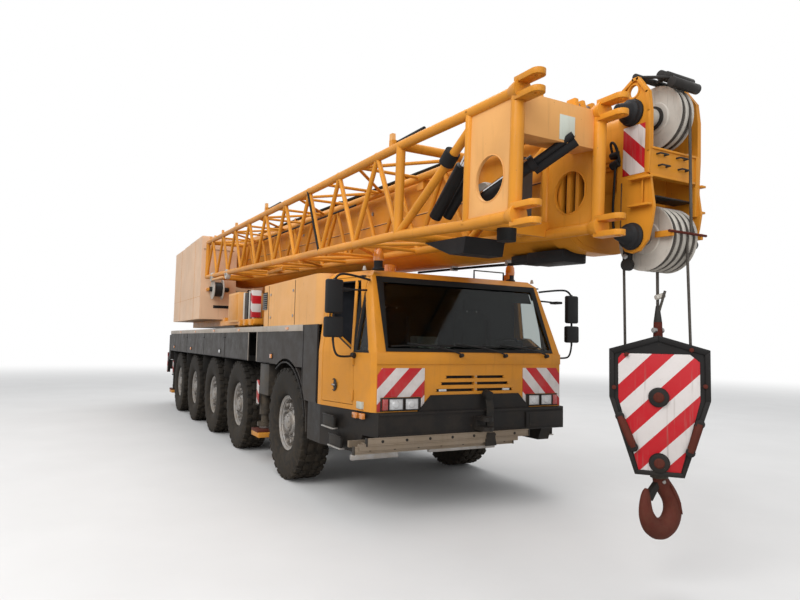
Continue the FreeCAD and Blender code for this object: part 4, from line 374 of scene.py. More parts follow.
def make_finishes():
    """Builds every material of the crane once."""
    colours = bpy.context.scene.crane_colours
    weathering_group()
    stripes_group()
    made = FINISH
    made["paint"] = painted("crane_paint", colours.paint, coat=0.08, high=1.9, dust=0.22)
    # The pale finish is painted light: a lighter copy of the main paint, for lit faces.
    made["lit_paint"] = painted("paint_with_painted_light", colours.lit_paint, shade=0.88, dust=0.2, runs=0.22, high=1.9)
    made["black"] = painted("black_paint", colours.black, dust=0.07, rough=(0.32, 0.6), high=1.6)
    made["skirt"] = painted(
        "skirt_paint", (0.026, 0.023, 0.022), dust=0.12, rough=(0.35, 0.6), high=2.0)
    made["chassis"] = painted("chassis_paint", (0.02, 0.019, 0.018), dust=0.4, high=1.5)
    made["alloy"] = painted(
        "alloy", colours.alloy, metallic=0.85, rough=(0.35, 0.6), dust=0.55, high=2.6)
    made["edge"] = painted(
        "deck_edge", (0.47, 0.41, 0.35), metallic=0.2, rough=(0.4, 0.6), dust=0.25, high=2.4)
    made["ladder"] = painted(
        "ladder_alloy", (0.26, 0.21, 0.16), metallic=0.5, rough=(0.4, 0.65), dust=0.5, high=1.8)
    # The ballast finish is painted light: lighter than the main paint, the look of the
    # counterweight's lit sides.
    made["ballast"] = painted(
        "ballast_paint", (0.8, 0.53, 0.34), shade=0.9, dust=0.15, runs=0.2, high=1.9)
    made["rim"] = painted(
        "wheel_silver", colours.wheel, metallic=0.4, dust=0.55, runs=0.35, scale=2.5, high=1.5)
    made["rubber"] = painted(
        "tyre_rubber", colours.rubber, rough=(0.7, 0.92), dust=0.13, chips=0.0, scale=2.0,
        high=1.6)
    made["seal"] = painted("window_seal", (0.012, 0.012, 0.012), rough=(0.5, 0.7), dust=0.12)
    made["steel"] = painted(
        "bare_steel", (0.36, 0.35, 0.34), metallic=0.9, rough=(0.3, 0.5), dust=0.4, scale=3.0)
    made["chrome"] = painted(
        "chromed_rod", (0.62, 0.62, 0.63), metallic=1.0, rough=(0.06, 0.16), dust=0.05, chips=0.0)
    made["cast"] = painted(
        "cast_iron", (0.085, 0.078, 0.072), dust=0.55, rough=(0.55, 0.8), depth=0.004, high=1.8)
    made["grease"] = painted(
        "greased_steel", (0.03, 0.027, 0.025), rough=(0.28, 0.6), dust=0.25, scale=3.0)
    made["sheave"] = painted(
        "sheave_cast", colours.sheave, rough=(0.5, 0.75), runs=0.6, chips=0.6, scale=3.0, high=1.2)
    made["rust"] = painted(
        "rusty_red", colours.rust, dust=0.08, rough=(0.5, 0.85), runs=0.5, chips=0.5, scale=4.0,
        depth=0.004)
    made["plastic"] = painted(
        "dark_plastic", (0.018, 0.018, 0.019), rough=(0.45, 0.65), chips=0.0, dust=0.2)
    made["cloth"] = painted(
        "seat_cloth", (0.03, 0.032, 0.038), rough=(0.85, 0.95), chips=0.0, runs=0.1, scale=6.0)
    made["grey"] = painted("grey_sheet", (0.2, 0.2, 0.195), dust=0.4, high=2.4)
    made["tread"] = painted("deck_plate", (0.22, 0.215, 0.2), metallic=0.6, dust=0.55, high=3.0)
    made["plate"] = painted("blank_plate", (0.62, 0.66, 0.58), runs=0.4, chips=0.2)
    made["rope"] = roped("wire_rope", (0.14, 0.12, 0.1))
    made["glass"] = window_glass("window_glass", colours.glass)
    made["clear"] = lens("clear_lens", (0.72, 0.73, 0.74))
    made["amber"] = lens("amber_lens", colours.amber)
    made["red_lens"] = lens("red_lens", (0.45, 0.01, 0.012))
    made["mirror"] = painted(
        "mirror_glass", (0.55, 0.57, 0.6), metallic=1.0, rough=(0.02, 0.08), chips=0.0, dust=0.1)
    twist = Matrix.Rotation(BLOCK_TURN, 3, "Z")
    made["board_right"] = striped("board_right", (0.0, 1.0, -1.0), 0.03)
    made["board_left"] = striped("board_left", (0.0, 1.0, 1.0), 0.07)
    made["board_side"] = striped("board_side", (1.0, 0.0, 1.6), dust=0.5)
    made["board_head"] = striped("board_head", (1.0, 0.0, 1.0), 0.05)
    made["board_hook"] = striped("board_hook", twist @ Vector((1.0, 0.0, -1.0)), dust=0.1)
    return made


# Modelling steps

WELD = 0.0002  # nearer points of a spun mesh are joined


def select_only(*shapes):
    """Selects these shapes, the first one active."""
    bpy.ops.object.select_all(action="DESELECT")
    for shape in shapes:
        shape.select_set(True)
    bpy.context.view_layer.objects.active = shapes[0]


def added(adder, **where):
    """A new primitive, with nothing else selected."""
    bpy.ops.object.select_all(action="DESELECT")
    adder(**where)
    return bpy.context.object


def editing():
    """Starts to edit the whole active mesh."""
    bpy.ops.object.mode_set(mode="EDIT")
    bpy.ops.mesh.select_all(action="SELECT")


def done():
    """Ends the editing."""
    bpy.ops.object.mode_set(mode="OBJECT")


def coated(shape, finish):
    """Gives the whole shape one finish."""
    shape.data.materials.clear()
    shape.data.materials.append(FINISH[finish])
    return shape


def block(low, high, finish=None):
    """A box from corner to corner."""
    low, high = Vector(low), Vector(high)
    shape = added(bpy.ops.mesh.primitive_cube_add, size=1.0, location=(low + high) / 2)
    shape.scale = [abs(part) for part in high - low]
    bpy.ops.object.transform_apply(location=False, rotation=False)
    return coated(shape, finish) if finish else shape


def bar(start, end, radius, finish=None, sides=16, tip=None):
    """A round bar between two places, which may taper."""
    start, end = Vector(start), Vector(end)
    run = end - start
    shape = added(
        bpy.ops.mesh.primitive_cone_add, vertices=sides, radius1=radius,
        radius2=radius if tip is None else tip, depth=run.length, location=(start + end) / 2,
        rotation=run.to_track_quat("Z", "Y").to_euler())
    return coated(shape, finish) if finish else shape


def traced(points):
    """Edges from corner to corner, extruded from one."""
    points = [Vector(point) for point in points]
    shape = added(bpy.ops.mesh.primitive_plane_add, size=0.01, location=points[0])
    editing()
    bpy.ops.mesh.merge(type="CENTER")
    for here, there in zip(points, points[1:]):
        step = {"value": there - here}
        bpy.ops.mesh.extrude_region_move(TRANSFORM_OT_translate=step)
    bpy.ops.mesh.select_all(action="SELECT")
    return shape


def plate(points, thick, finish=None):
    """A flat outline, filled and given its thickness."""
    shape = traced(points)
    bpy.ops.mesh.edge_face_add()
    bpy.ops.mesh.select_all(action="SELECT")
    bpy.ops.mesh.extrude_region_move(TRANSFORM_OT_translate={"value": Vector(thick)})
    bpy.ops.mesh.select_all(action="SELECT")
    bpy.ops.mesh.normals_make_consistent(inside=False)
    done()
    return coated(shape, finish) if finish else shape


def sheet(points, y0, y1, finish=None):
    """A plate that is drawn from the side, between two widths."""
    return plate([(x, y0, z) for x, z in points], (0.0, y1 - y0, 0.0), finish)


def fin(points, y, half, finish):
    """A plate that is drawn from the side, as thick on both sides of a line."""
    return sheet(points, y - half, y + half, finish)


def spun(points, centre, axis, steps=48, finish=None):
    """A profile of places spun round an axis."""
    shape = traced(points)
    bpy.ops.mesh.spin(steps=steps, angle=math.tau, center=centre, axis=axis)
    bpy.ops.mesh.select_all(action="SELECT")
    bpy.ops.mesh.remove_doubles(threshold=WELD)
    bpy.ops.mesh.normals_make_consistent(inside=False)
    done()
    return coated(shape, finish) if finish else shape


def spun_y(points, x, y, z, steps=48, finish=None):
    """A profile of radius and width, spun round a line across the crane."""
    return spun([(x + r, y + w, z) for r, w in points], (x, y, z), (0, 1, 0), steps, finish)


def piped(points, radius, finish, smooth=True, tapers=None, sides=3):
    """A tube along a line of places, its bends rounded where it is smooth; it may taper."""
    shape = added(bpy.ops.curve.primitive_nurbs_path_add)
    shape.location = (0.0, 0.0, 0.0)
    line = shape.data
    line.splines.clear()
    spline = line.splines.new("NURBS" if smooth else "POLY")
    spline.points.add(len(points) - 1)
    for point, place, share in zip(spline.points, points, tapers or [1.0] * len(points)):
        point.co = (*place, 1.0)
        point.radius = share
    if smooth:
        spline.use_endpoint_u = True
        spline.order_u = 3
        spline.resolution_u = 6
    line.bevel_depth = radius
    line.bevel_resolution = sides
    line.use_fill_caps = True
    bpy.ops.object.convert(target="MESH")
    return coated(bpy.context.object, finish)


def ring_copies(shape, count, centre, axis):
    """The same shape, repeated round an axis."""
    select_only(shape)
    bpy.ops.object.transform_apply(location=True, rotation=True, scale=True)
    editing()
    bpy.ops.mesh.spin(steps=count, angle=math.tau, dupli=True, center=centre, axis=axis)
    bpy.ops.mesh.select_all(action="SELECT")
    bpy.ops.mesh.remove_doubles(threshold=WELD)
    bpy.ops.mesh.normals_make_consistent(inside=False)
    done()
    return shape


def carved(shape, *tools):
    """The shape with the tools cut out of it."""
    tool = joined(*tools)
    select_only(shape)
    cut = shape.modifiers.new("Cut", "BOOLEAN")
    cut.operation = "DIFFERENCE"
    cut.object = tool
    cut.solver = "EXACT"
    bpy.ops.object.modifier_apply(modifier=cut.name)
    bpy.data.objects.remove(tool)
    return shape


def joined(*shapes):
    """One object of several, its place in its mesh."""
    select_only(*shapes)
    if len(shapes) > 1:
        bpy.ops.object.join()
    bpy.ops.object.transform_apply(location=True, rotation=True, scale=True)
    return bpy.context.object


def moved(shape, matrix):
    """Places a finished shape and keeps its normals outwards."""
    select_only(shape)
    bpy.ops.object.transform_apply(location=True, rotation=True, scale=True)
    shape.data.transform(matrix)
    if matrix.determinant() < 0:
        shape.data.flip_normals()
    return shape


def copied(shape, matrix):
    """A copy with a mesh of its own."""
    select_only(shape)
    bpy.ops.object.transform_apply(location=True, rotation=True, scale=True)
    twin = shape.copy()
    twin.data = shape.data.copy()
    bpy.context.collection.objects.link(twin)
    return moved(twin, matrix)


MIRROR = Matrix.Scale(-1, 4, (0, 1, 0))


def mirrored(shape):
    """The same shape on the crane's other side."""
    return copied(shape, MIRROR)


def softened(shape, edge, angle=32.0):
    """Rounded edges and smooth shading."""
    select_only(shape)
    if edge:
        soft = shape.modifiers.new("Edges", "BEVEL")
        soft.width = edge
        soft.segments = 2
        soft.limit_method = "ANGLE"
        soft.angle_limit = math.radians(angle)
        bpy.ops.object.modifier_apply(modifier=soft.name)
    bpy.ops.object.shade_smooth_by_angle(angle=math.radians(38.0))
    return shape


def settled(shape, name, body, replaced=()):
    """Names a finished piece and says what it rides on."""
    shape.name = name
    shape.data.name = name
    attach(shape, body)
    for node in replaced:
        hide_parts(node)
    return shape


def piece(name, shapes, body, edge=0.003, where=None, replaced=()):
    """Joins shapes into one finished piece."""
    shape = softened(joined(*shapes), edge)
    if where is not None:
        moved(shape, where)
    return settled(shape, name, body, replaced)


# Finishes of the solids

NODE_FINISH = {
    "axle_beams": "chassis",
    "carrier_frame": "chassis",
    "outrigger_boxes": "chassis",
    "deck": "tread",
    "fenders": "skirt",
    # The engine housing gets the pale finish: painted light on its lit sides.
    "engine_housing": "lit_paint",
    "engine_block": "cast",
    "cab_shell": "paint",
    "cab_glass": "glass",
    "cab_interior": "plastic",
    "front_bumper": "black",
    "slew_platform": "paint",
    # The counterweight's ballast finish is painted light on its lit sides.
    "counterweight": "ballast",
    "winch_drum": "grease",
    "operator_cab": "paint",
    "operator_glass": "glass",
    "luff_barrel": "paint",
    "luff_rod": "chrome",
    "ladder": "ladder",
    "mirrors": "plastic",
    "lamps": "amber",
    "rope_falls": "rope",
    "hook": "rust",
    "hook_block": "black",
    "head_sheaves_lower": "grease",
    "head_sheaves_upper": "grease",
}


class CRANE_OT_finishes(bpy.types.Operator):
    """Gives every solid of the crane its weathered finish"""

    bl_idname = "crane.finishes"
    bl_label = "Finishes"

    def execute(self, context):
        make_finishes()
        for name, shape in NODES.items():
            finish = NODE_FINISH.get(name)
            if finish is None:
                finish = "chassis" if name.startswith(("knuckle", "outrigger")) else "paint"
            coated(shape, finish)
        return {"FINISHED"}


# Wheels

TREAD_LUGS = 30
WHEEL_NUTS = 10


def tyre_shape(sizes):
    """A tyre with its tread blocks, about the middle of the world."""
    top = sizes.tyre_radius
    half = sizes.tyre_half
    deep = 0.02
    profile = [
        (0.303, 0.118), (0.341, 0.122), (0.356, 0.15), (0.372, 0.166), (0.425, 0.182),
        (0.52, half), (0.59, half - 0.004), (top - 0.048, half - 0.012),
        (top - deep - 0.006, half - 0.022), (top - deep, half - 0.046)]
    rings = [(r, w) for r, w in profile] + [(r, -w) for r, w in reversed(profile)]
    body = spun_y(rings, 0, 0, 0, 72, "rubber")
    pitch = math.tau / TREAD_LUGS
    reach = top * pitch
    lugs = []
    rows = [  # across, half width, length of a lug, shift round the tyre
        (0.139, 0.036, 0.62, 0.0),
        (0.058, 0.034, 0.7, 0.5),
    ]
    for across, wide, share, shift in rows:
        for side in (1, -1):
            long = reach * share / 2
            lug = block(
                (-long, across * side - wide, top - deep - 0.012),
                (long, across * side + wide, top - 0.0015), "rubber")
            lug.location = Matrix.Rotation(pitch * shift, 4, "Y") @ lug.location
            lug.rotation_euler = (0.0, pitch * shift, 0.0)
            softened(joined(lug), 0.005)
            lugs.append(ring_copies(lug, TREAD_LUGS, (0, 0, 0), (0, 1, 0)))
    bars = []
    for side in (1, -1):
        shoulder = block(
            (-0.026, side * (half - 0.036) - 0.012, top - 0.085),
            (0.026, side * (half - 0.036) + 0.026, top - 0.024), "rubber")
        softened(joined(shoulder), 0.006)
        bars.append(ring_copies(shoulder, TREAD_LUGS, (0, 0, 0), (0, 1, 0)))
    return joined(body, *lugs, *bars)


def rim_shape(sizes):
    """A silver rim with hand holes, hub and nuts; its outer face looks along +Y."""
    edge = sizes.rim_radius
    rim = spun_y(
        [
            (edge - 0.006, 0.139), (edge, 0.133), (edge - 0.01, 0.126), (0.303, 0.121),
            (0.303, -0.125), (edge, -0.139), (0.285, -0.132), (0.285, 0.02), (0.262, 0.052),
            (0.232, 0.066), (0.2, 0.06), (0.172, 0.042), (0.15, 0.04), (0.15, 0.024),
            (0.172, 0.026), (0.2, 0.044), (0.232, 0.05), (0.256, 0.036), (0.29, 0.004),
            (0.293, 0.1), (0.318, 0.128), (edge - 0.006, 0.139)],
        0, 0, 0, 60, "rim")
    hole = bar((0.232, 0.0, 0.0), (0.232, 0.12, 0.0), 0.024, sides=14)
    holes = ring_copies(hole, WHEEL_NUTS, (0, 0, 0), (0, 1, 0))
    rim = carved(rim, holes)
    hub = spun_y(
        [
            (0.15, -0.06), (0.15, 0.046), (0.192, 0.046), (0.192, 0.058), (0.146, 0.062),
            (0.138, 0.1), (0.126, 0.112), (0.112, 0.114), (0.108, 0.14), (0.092, 0.15),
            (0.03, 0.1535), (0.0, 0.1535)],
        0, 0, 0, 40, "rim")
    nut = bar((0.171, 0.055, 0), (0.171, 0.086, 0), 0.019, "steel", 6)
    nuts = ring_copies(nut, WHEEL_NUTS, (0, 0, 0), (0, 1, 0))
    stud = bar((0.171, 0.08, 0), (0.171, 0.1, 0), 0.009, "steel", 8)
    studs = ring_copies(stud, WHEEL_NUTS, (0, 0, 0), (0, 1, 0))
    bolt = bar((0.092, 0.14, 0), (0.092, 0.158, 0), 0.009, "steel", 6)
    bolts = ring_copies(bolt, 8, (0, 0, 0), (0, 1, 0))
    drum = spun_y([(0.262, -0.11), (0.262, 0.0), (0.15, 0.02), (0.0, 0.02)], 0, 0, 0, 32, "cast")
    whole = joined(rim, hub, nuts, studs, bolts, drum)
    return softened(whole, 0.0)


class CRANE_OT_wheels(bpy.types.Operator):
    """Tyres with tread and silver rims on all five axles"""

    bl_idname = "crane.wheels"
    bl_label = "Wheels"

    def execute(self, context):
        sizes = context.scene.crane_sizes
        tyre = softened(tyre_shape(sizes), 0.0)
        rim = rim_shape(sizes)
        for number in range(1, 6):
            for name, side in SIDES:
                node = "wheel_%d_%s" % (number, name)
                hub = pivot(node + "_spin")
                where = Matrix.Translation(hub)
                if side < 0:
                    where = where @ Matrix.Rotation(math.pi, 4, "Z")
                where = where @ Matrix.Rotation(0.37 * number + 0.9 * side, 4, "Y")
                new_tyre = copied(tyre, where)
                settled(new_tyre, "tyre_%d_%s" % (number, name), node, [node])
                new_rim = copied(rim, where)
                settled(new_rim, "rim_%d_%s" % (number, name), node, [node])
        for shape in (tyre, rim):
            bpy.data.objects.remove(shape)
        return {"FINISHED"}


# Places on the driver's cab, from axle 1

CAB_FRONT = 2.17  # the upright part below the waist line
CAB_WAIST = 1.603
PANES_HIGH = 0.797  # from the waist line to the roof
LEAN = 0.4015  # how far the front leans back for each metre of height
BODY_SIDE = 1.374


def face(y, z, out=0.0):
    """A place on the cab's front: upright below the waist line, leaning back above it."""
    lean = max(0.0, z - CAB_WAIST) * LEAN
    return ahead(CAB_FRONT - lean + out, y, z + (out * 0.37 if z > CAB_WAIST else 0.0))


def flank(x, z, out=0.0):
    """A place on the cab's right side, which tapers forwards and upwards."""
    up = max(0.0, z - CAB_WAIST) / PANES_HIGH
    share = max(0.0, x - 1.25) / (0.87 - 0.32 * up)
    low = 1.375 - 0.17 * share
    high = 1.29 - 0.165 * share
    return ahead(x, -(low + (high - low) * up) - out, z)


def slab(xs, ys, zs, finish):
    """A box between places from axle 1."""
    return block(ahead(xs[0], ys[0], zs[0]), ahead(xs[1], ys[1], zs[1]), finish)


def rod(start, end, radius, finish, sides=16, tip=None):
    """A round bar between places from axle 1."""
    return bar(ahead(*start), ahead(*end), radius, finish, sides, tip)


def stub(start, run, radius, finish, sides=16, tip=None):
    """A short round bar from a place."""
    return bar(start, start + Vector(run), radius, finish, sides, tip)


def pipe(points, radius, finish, smooth=True):
    """A pipe along places from axle 1."""
    return piped([ahead(*point) for point in points], radius, finish, smooth)


def hollow_frame(outer, inner, thick, finish):
    """A flat frame between two outlines with the same number of corners."""
    sides = []
    count = len(outer)
    for here in range(count):
        there = (here + 1) % count
        corners = [outer[here], outer[there], inner[there], inner[here]]
        sides.append(plate(corners, thick, finish))
    return joined(*sides)


def screen_frame():
    """Black seal and bands round the windscreen."""
    def corners(low_y, top_y, low_z, top_z):
        return [
            face(low_y, low_z, 0.001), face(top_y, top_z, 0.001), face(-top_y, top_z, 0.001),
            face(-low_y, low_z, 0.001)]
    outer = corners(1.066, 1.044, 1.622, 2.394)
    inner = corners(1.036, 0.968, 1.656, 2.332)
    ring = hollow_frame(outer, inner, (0.004, 0.0, 0.002), "seal")
    band = plate(
        [
            face(0.965, 2.2, -0.02), face(0.96, 2.33, -0.02), face(-0.96, 2.33, -0.02),
            face(-0.965, 2.2, -0.02)],
        (-0.003, 0.0, 0.0), "seal")
    return [ring, band]


def wiper(y):
    """A wiper with its arm, lying along the windscreen's lower edge."""
    pin = face(y, 1.585, 0.0)
    knee = face(y - 0.1, 1.655, 0.035)
    tip = face(y - 0.62, 1.7, 0.022)
    return [
        stub(pin, (0.05, 0.0, 0.012), 0.02, "plastic"),
        piped([pin + Vector((0.045, 0.0, 0.01)), knee, tip], 0.009, "plastic"),
        piped(
            [
                face(y - 0.8, 1.672, 0.012), face(y - 0.5, 1.69, 0.014),
                face(y - 0.08, 1.685, 0.012)],
            0.008, "seal")]


def lamp_cluster(side, board):
    """Warning board round two headlamps and a side lamp."""
    low, top = 1.043, 1.462
    inner, outer = 0.628, 1.158
    well_in, well_out, well_top = 0.668, 1.122, 1.178
    outline = [
        (inner, low), (inner, top), (outer - 0.05, top), (outer, top - 0.07), (outer, low),
        (well_out, low), (well_out, well_top), (well_in, well_top), (well_in, low)]
    shapes = [plate([ahead(2.171, y * side, z) for y, z in outline], (0.006, 0.0, 0.0), board)]
    back = (well_in * side, well_out * side)
    shapes.append(slab((2.165, 2.176), back, (low, well_top - 0.004), "plastic"))
    for near, far in ((0.705, 0.85), (0.88, 1.03)):
        ys = sorted((near * side, far * side))
        middle = sum(ys) / 2
        wide = (ys[1] - ys[0]) / 2
        shapes += [
            slab((2.176, 2.188), (ys[0], ys[1]), (1.057, 1.16), "clear"),
            rod(
                (2.181, middle, 1.108), (2.196, middle, 1.108), wide * 0.6, "clear", 20,
                tip=wide * 0.42)]
        for z in (1.052, 1.162):
            shapes.append(slab(
                (2.176, 2.198), (ys[0] - 0.006, ys[1] + 0.006), (z, z + 0.007), "plastic"))
        for y in (ys[0] - 0.008, ys[1] + 0.001):
            shapes.append(slab((2.176, 2.198), (y, y + 0.007), (1.052, 1.169), "plastic"))
    ys = sorted((1.047 * side, 1.105 * side))
    shapes.append(slab((2.176, 2.196), ys, (1.056, 1.163), "red_lens"))
    return shapes


def slot_trim():
    """Dark backs and bright ends of the grille slots."""
    shapes = []
    for row in range(3):
        z = 1.22 + 0.067 * row
        half = 0.5 - 0.058 * row
        for side in (1, -1):
            shapes.append(slab(
                (2.118, 2.128), (0.02 * side, half * side), (z - 0.01, z + 0.04), "seal"))
            end = ahead(2.15, (half - 0.004) * side, z + 0.015)
            shapes.append(stub(end, (0.021, 0, 0), 0.015, "paint", 12))
            if row == 0:
                lens_y = ((half - 0.14) * side, (half - 0.05) * side)
                shapes.append(slab((2.148, 2.166), lens_y, (z + 0.004, z + 0.026), "clear"))
        shapes.append(rod((2.172, 0.0, z + 0.02), (2.178, 0.0, z + 0.02), 0.008, "steel", 8))
    return shapes


def side_windows():
    """Seal, leaning bar and dark stile of the right door's window."""
    door = [(1.304, 2.351), (1.304, 1.787), (1.491, 1.776), (1.812, 1.62), (1.812, 2.351)]
    glass = [(1.318, 2.337), (1.318, 1.8), (1.494, 1.79), (1.798, 1.643), (1.798, 2.337)]
    rim = [flank(x, z, 0.001) for x, z in door]
    room = [flank(x, z, 0.001) for x, z in glass]
    shapes = [hollow_frame(rim, room, (0.0, -0.004, 0.0), "seal")]
    stile = [(1.8, 1.608), (1.836, 1.608), (1.836, 2.08), (1.77, 2.24)]
    corner = [(1.836, 2.06), (1.836, 2.352), (1.745, 2.352)]
    post = [(1.795, 1.606), (1.831, 1.606), (1.697, 2.353), (1.661, 2.353)]
    covers = ((stile, 0.003, "seal"), (corner, 0.006, "paint"), (post, 0.007, "paint"))
    for outline, out, finish in covers:
        shapes.append(plate([flank(x, z, out) for x, z in outline], (0.0, 0.012, 0.0), finish))
    return shapes


def front_pillar():
    """Right front pillar, with the seal of the small window behind it."""
    def edge(x, y, z, out=0.0015):
        up = (z - CAB_WAIST) / PANES_HIGH
        return ahead(x - 0.32 * up + out, y + 0.08 * up - out, z)

    def nose(z):
        return edge(CAB_FRONT, -1.165, z)

    def corner(z):
        return edge(2.12, -1.205, z)

    low, top, bend = 1.606, 2.393, 2.275
    shapes = [
        plate(
            [face(-1.056, low, 0.001), nose(low), nose(top), face(-1.034, top, 0.001)],
            (-0.03, 0.0, -0.01), "paint"),
        plate([corner(low), nose(low), nose(top), corner(bend)], (-0.02, 0.02, 0.0), "paint"),
        plate(
            [flank(2.082, low, 0.002), corner(low), corner(bend), flank(1.852, 2.19, 0.002)],
            (0.0, 0.03, 0.0), "paint")]
    post = [(1.842, 1.608), (1.884, 1.608), (1.884, 2.13), (1.842, 2.225)]
    sill = [(1.87, 1.608), (2.086, 1.608), (2.072, 1.632), (1.87, 1.632)]
    for outline in (post, sill):
        shapes.append(plate([flank(x, z, 0.005) for x, z in outline], (0.0, 0.016, 0.0), "seal"))
    return joined(*shapes)


def mirror_set():
    """Stacked mirrors on a bent tube, on the crane's right side."""
    x, y = 1.965, -1.545
    shapes = []
    for low, high, wide in ((1.752, 1.952, 0.097), (1.985, 2.318, 0.088)):
        shapes += [
            softened(
                slab((x - 0.034, x + 0.034), (y - wide, y + wide), (low, high), "plastic"), 0.02),
            slab(
                (x - 0.037, x - 0.033), (y - wide + 0.014, y + wide - 0.014),
                (low + 0.014, high - 0.014), "mirror")]
    top = flank(1.87, 2.345)
    low = flank(1.845, 1.575)
    shapes += [
        piped(
            [top, ahead(1.95, -1.38, 2.385), ahead(x - 0.01, -1.52, 2.37), ahead(x, y, 2.3)],
            0.012, "plastic"),
        rod((x, y, 1.72), (x, y, 2.33), 0.012, "plastic"),
        piped(
            [ahead(x, y, 1.74), ahead(x, y + 0.01, 1.6), ahead(1.95, -1.44, 1.555), low], 0.011,
            "plastic"),
        stub(low, (0.045, -0.05, 0.012), 0.03, "plastic", tip=0.018),
        softened(slab((1.8, 1.93), (-1.44, -1.34), (2.215, 2.245), "plastic"), 0.012),
        bar(flank(1.86, 2.24), ahead(1.87, -1.38, 2.232), 0.01, "plastic")]
    return shapes


def beacon(at, tall):
    """An amber lamp on a rubber foot."""
    rows = [(0.0, 0.0), (0.062, 0.0), (0.06, 0.018), (0.046, 0.03), (0.046, tall), (0.0, tall)]
    foot = spun([at + Vector((r, 0, z)) for r, z in rows], at, (0, 0, 1), 28, "plastic")
    dome_rows = [
        (0.0, tall), (0.052, tall), (0.055, tall + 0.03), (0.051, tall + 0.09),
        (0.036, tall + 0.125), (0.0, tall + 0.138)]
    dome = spun([at + Vector((r, 0, z)) for r, z in dome_rows], at, (0, 0, 1), 28, "amber")
    return [foot, dome]


def door_trim():
    """Handle and hinges of the right door."""
    well = flank(1.5, 1.262)
    rows = [(0.0, 0.004), (0.052, 0.002), (0.06, 0.008), (0.066, 0.006), (0.066, 0.0)]
    ring = spun([well + Vector((r, -w, 0)) for r, w in rows], well, (0, 1, 0), 28, "plastic")
    shapes = [ring]
    shapes.append(bar(
        well + Vector((-0.04, -0.008, 0.0)), well + Vector((0.04, -0.016, 0.0)), 0.01, "steel"))
    for z in (1.165, 1.525):
        shapes.append(bar(
            flank(1.832, z - 0.045, 0.006), flank(1.832, z + 0.045, 0.006), 0.013, "paint", 12))
    return shapes


def door_lining():
    """Inner panel of the right door."""
    corners = [
        flank(x, z, -0.06) for x, z in ((1.34, 1.12), (1.78, 1.12), (1.78, 1.585), (1.34, 1.585))]
    return plate(corners, (0.0, 0.008, 0.0), "cloth")


def cab_lining():
    """Dark lining of the rear wall, roof, floor and front."""
    return [
        slab((1.208, 1.222), (-1.27, 1.27), (1.085, 2.395), "cloth"),
        slab((1.222, 1.8), (-1.17, 1.17), (2.385, 2.4), "cloth"),
        slab((1.222, 2.115), (-1.1, 1.1), (1.081, 1.093), "plastic"),
        slab((2.108, 2.118), (-1.09, 1.09), (1.1, 1.59), "plastic")]


def dashboard():
    """Instrument hood, visor and small things behind the windscreen."""
    def profile(corners, y0, y1):
        return sheet([(AXLE_1 + x, z) for x, z in corners], y0, y1, "plastic")

    corners = [(1.93, 1.585), (2.1, 1.6), (2.1, 1.64), (2.02, 1.665), (1.93, 1.64)]
    hood = profile(corners, -1.02, 1.02)
    nest = profile([(1.86, 1.6), (2.0, 1.62), (1.96, 1.76), (1.88, 1.77)], 0.34, 0.8)
    box = slab((1.84, 1.98), (-0.62, -0.36), (1.62, 1.78), "grey")
    papers = slab((1.82, 2.02), (-0.6, -0.22), (1.655, 1.672), "plate")
    lever = rod((1.7, 0.16, 1.1), (1.66, 0.16, 1.52), 0.012, "plastic")
    knob = added(
        bpy.ops.mesh.primitive_uv_sphere_add, segments=16, ring_count=10, radius=0.028,
        location=ahead(1.66, 0.16, 1.53))
    return [hood, nest, box, papers, lever, coated(knob, "plastic")]


def seat(y):
    """A sprung seat with bolsters and a head rest."""
    shapes = [
        softened(slab((1.27, 1.7), (y - 0.23, y + 0.23), (1.41, 1.53), "cloth"), 0.035),
        softened(slab((1.235, 1.335), (y - 0.225, y + 0.225), (1.5, 2.09), "cloth"), 0.035),
        softened(slab((1.245, 1.315), (y - 0.13, y + 0.13), (2.12, 2.27), "cloth"), 0.03)]
    for side in (1, -1):
        edge = y + 0.2 * side
        shapes += [
            softened(
                slab((1.25, 1.39), (edge - 0.035, edge + 0.035), (1.54, 2.02), "cloth"), 0.025),
            rod((1.28, y + 0.07 * side, 2.05), (1.28, y + 0.07 * side, 2.14), 0.007, "steel")]
    return shapes


class CRANE_OT_cab(bpy.types.Operator):
    """Windscreen, wipers, lamps, boards, mirrors, beacons and lining of the driver's cab"""

    bl_idname = "crane.cab"
    bl_label = "Driver's cab"

    def execute(self, context):
        front = screen_frame() + slot_trim()
        for y in (-0.2, 0.37, 0.95):
            front += wiper(y)
        front.append(slab((2.168, 2.18), (-1.168, 1.168), (1.5, 1.612), "paint"))
        piece("cab_front_trim", front, "carrier", 0.0015)
        pillar = front_pillar()
        twin = mirrored(pillar)
        piece("cab_pillars", [pillar, twin], "carrier", 0.001)
        boards = lamp_cluster(-1, "board_right") + lamp_cluster(1, "board_left")
        piece("headlamps", boards, "carrier", 0.0012)
        trim = side_windows() + door_trim() + [door_lining()]
        right = softened(joined(*trim), 0.001)
        left = mirrored(right)
        piece("door_trim_right", [right], "door_right", 0.0)
        piece("door_trim_left", [left], "door_left", 0.0)
        mirror = softened(joined(*mirror_set()), 0.002)
        twin = mirrored(mirror)
        piece("mirrors_dressed", [mirror, twin], "carrier", 0.0, replaced=["mirrors"])
        lamps = beacon(ahead(1.86, -1.02, 2.455), 0.095)
        lamps += beacon(ahead(1.72, 0.8, 2.46), 0.075)
        lamps.append(pipe(
            [(1.72, 0.28, 2.458), (1.72, 0.28, 2.56), (1.72, 0.7, 2.56), (1.72, 0.7, 2.458)], 0.01,
            "plastic", smooth=False))
        for y in (-1.13, 1.1):
            lamps.append(rod((1.76, y, 2.455), (1.76, y, 2.5), 0.022, "sheave", tip=0.012))
        piece("roof_lamps", lamps, "carrier", 0.002)
        piece("cab_lining", cab_lining(), "carrier", 0.002)
        piece("dashboard", dashboard(), "carrier", 0.008)
        piece("seats", seat(0.56) + seat(-0.56), "carrier", 0.0)
        return {"FINISHED"}


# Bumper, ladder and steps

